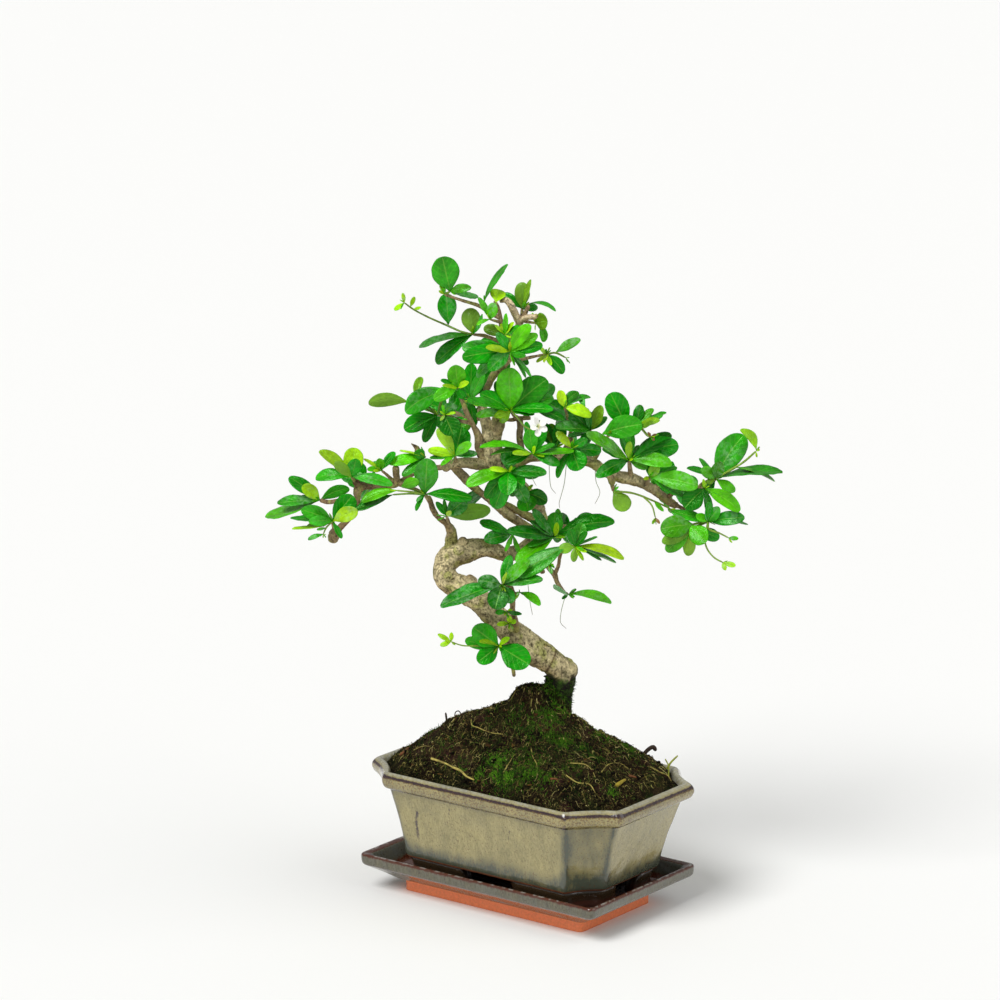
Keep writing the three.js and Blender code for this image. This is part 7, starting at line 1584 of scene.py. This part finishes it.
def aim(thing, at, target):
    """Stands a lamp or camera at a place and turns its −Z to the target, with Y up."""
    thing.location = at
    thing.rotation_euler = (Vector(target) - Vector(at)).to_track_quat("-Z", "Y").to_euler()
    bpy.context.scene.collection.objects.link(thing)


def make_stage(props):
    """A flat pale floor, a pale surrounding light, two wide suns, and the camera where the photograph was
    taken."""
    scene = bpy.context.scene
    scene.view_settings.view_transform = "Standard"
    far = FLOOR_HALF
    mesh = bpy.data.meshes.new("floor")
    mesh.from_pydata([(-far, -far, 0), (far, -far, 0), (far, far, 0), (-far, far, 0)], [], [(0, 1, 2, 3)])
    mesh.materials.append(Paint("pale floor").finish(props.floor, 0.9, Specular_IOR_Level=0.1))
    floor = bpy.data.objects.new("floor", mesh)
    scene.collection.objects.link(floor)
    scene.world = bpy.data.worlds.new("pale air")
    scene.world.use_nodes = True
    air = scene.world.node_tree.nodes["Background"]
    air.inputs[0].default_value = (1, 1, 1, 1)
    air.inputs[1].default_value = props.light
    for name, at, wide, power in SUNS:
        sun = bpy.data.lights.new(name, "SUN")
        sun.angle, sun.energy = math.radians(wide), power
        aim(bpy.data.objects.new(name, sun), at, (0, 0, 0))
    data = bpy.data.cameras.new("camera")
    data.sensor_width, data.lens = 36, LENS
    data.clip_start, data.clip_end = 0.1, 50
    scene.camera = bpy.data.objects.new("camera", data)
    aim(scene.camera, EYE_AT, AIM_AT)


# Settings, operators and the panel


def colour(name, description, text):
    return bpy.props.FloatVectorProperty(name=name, description=description, default=tuple(srgb(text)), size=3,
                                         min=0, max=1, subtype="COLOR")


def amount(name, description, default, least=0, most=3, unit="NONE"):
    return bpy.props.FloatProperty(name=name, description=description, default=default, min=least, max=most,
                                   unit=unit)


def number(name, description, default, least=1, most=20000):
    return bpy.props.IntProperty(name=name, description=description, default=default, min=least, max=most)


class PotSettings(bpy.types.PropertyGroup):
    glaze: colour("Glaze", "The khaki ground of the pot's glaze", "#847b4f")
    streaks: colour("Streaks", "The paler runs down the wall", "#aca06c")
    # This colour also paints the shade under the rim.
    edge: colour("Edges", "The dark line where the glaze thins on the rim", "#35262a")
    pool: colour("Pools", "Where the glaze pools, low down and at the cut corners", "#474c3f")
    waviness: amount("Waviness", "How uneven the wall is", 1.0)


class SaucerSettings(bpy.types.PropertyGroup):
    saucer_glaze: colour("Glaze", "The dark olive ground of the saucer's glaze", "#45412f")
    saucer_edge: colour("Edge", "The red-brown of its rim and floor", "#4f2616")
    clay: colour("Clay", "The bare clay of its foot", "#ee8550")


class SoilSettings(bpy.types.PropertyGroup):
    fibres: number("Fibres", "How many fine roots lie on the mound", 5000)
    crumbs: number("Crumbs", "How many crumbs lie on the mound", 2000)
    moss: number("Moss", "How many blades the moss patches have", 6400)
    fuzz: number("Fuzz", "How many blades stand between the patches", 3000)
    sleeve: number("Foot moss", "Moss blades on the trunk's foot", 1500, 0, 9000)


class WoodSettings(bpy.types.PropertyGroup):
    bark_relief: amount("Bark relief", "How deep the bark's plates and fissures are", 1.0)


class LeafSettings(bpy.types.PropertyGroup):
    thickness: amount("Thickness", "Thickness of a blade at its rib", 0.0005, 0.0001, 0.002, "LENGTH")
    fold: amount("Fold", "How far the margins rise, as a share of the half width", 0.3, 0, 1)
    back_leaves: number("Back leaves", "Leaves that fill each spray behind", 13, 0, 40)


class StageSettings(bpy.types.PropertyGroup):
    floor: colour("Floor", "The pale floor", "#f7f7f5")
    light: amount("Light", "Strength of the surrounding light", 0.34)


class Maker:
    """What the operators share: each runs its functions with its own settings."""

    def execute(self, context):
        for make in self.makes:
            make(getattr(context.scene, self.settings))
        return {"FINISHED"}


class BONSAI_OT_stage(Maker, bpy.types.Operator):
    """Make the floor, the lights and the camera"""
    bl_idname = "bonsai.stage"
    bl_label = "Stage"
    settings = "bonsai_stage"
    makes = [make_stage]


class BONSAI_OT_saucer(Maker, bpy.types.Operator):
    """Make the saucer"""
    bl_idname = "bonsai.saucer"
    bl_label = "Saucer"
    settings = "bonsai_saucer"
    makes = [make_saucer]


class BONSAI_OT_pot(Maker, bpy.types.Operator):
    """Make the pot and its feet"""
    bl_idname = "bonsai.pot"
    bl_label = "Pot"
    settings = "bonsai_pot"
    makes = [make_pot, make_feet]


class BONSAI_OT_soil(Maker, bpy.types.Operator):
    """Make the mound of soil with its roots, fibres, crumbs and moss"""
    bl_idname = "bonsai.soil"
    bl_label = "Soil"
    settings = "bonsai_soil"
    makes = [make_soil, make_strays, make_fibres, make_crumbs, make_moss]


class BONSAI_OT_wood(Maker, bpy.types.Operator):
    """Make the trunk, the limbs and the twigs"""
    bl_idname = "bonsai.wood"
    bl_label = "Wood"
    settings = "bonsai_wood"
    makes = [make_trunk, make_limbs, make_twigs]


class BONSAI_OT_leaves(Maker, bpy.types.Operator):
    """Make the sprays of leaves"""
    bl_idname = "bonsai.leaves"
    bl_label = "Leaves"
    settings = "bonsai_leaves"
    makes = [make_leaves]


class BONSAI_OT_flower(Maker, bpy.types.Operator):
    """Make the flower and the hanging threads"""
    bl_idname = "bonsai.flower"
    bl_label = "Flower"
    settings = "bonsai_leaves"
    makes = [make_flower, make_threads]


class BONSAI_PT_panel(bpy.types.Panel):
    """Lists the pieces of the bonsai and their settings"""
    bl_idname = "BONSAI_PT_panel"
    bl_label = "Fukien tea bonsai"
    bl_space_type = "VIEW_3D"
    bl_region_type = "UI"
    bl_category = "Bonsai"

    def draw(self, context):
        for operator in OPERATORS:
            column = self.layout.column(align=True)
            column.operator(operator.bl_idname)
            settings = getattr(context.scene, operator.settings)
            for name in settings.__annotations__:
                column.prop(settings, name)


OPERATORS = [
    BONSAI_OT_stage, BONSAI_OT_saucer, BONSAI_OT_pot, BONSAI_OT_soil, BONSAI_OT_wood, BONSAI_OT_leaves,
    BONSAI_OT_flower,
]
GROUPS = {
    "bonsai_stage": StageSettings, "bonsai_saucer": SaucerSettings, "bonsai_pot": PotSettings,
    "bonsai_soil": SoilSettings, "bonsai_wood": WoodSettings, "bonsai_leaves": LeafSettings,
}


def register():
    for key, group in GROUPS.items():
        bpy.utils.register_class(group)
        setattr(bpy.types.Scene, key, bpy.props.PointerProperty(type=group))
    for operator in OPERATORS:
        bpy.utils.register_class(operator)
    bpy.utils.register_class(BONSAI_PT_panel)


def unregister():
    bpy.utils.unregister_class(BONSAI_PT_panel)
    for operator in reversed(OPERATORS):
        bpy.utils.unregister_class(operator)
    for key, group in GROUPS.items():
        delattr(bpy.types.Scene, key)
        bpy.utils.unregister_class(group)


def main():
    register()
    bpy.ops.bonsai.stage()
    bpy.ops.bonsai.saucer()
    bpy.ops.bonsai.pot()
    bpy.ops.bonsai.soil()
    bpy.ops.bonsai.wood()
    bpy.ops.bonsai.leaves()
    bpy.ops.bonsai.flower()


if __name__ == "__main__":
    main()
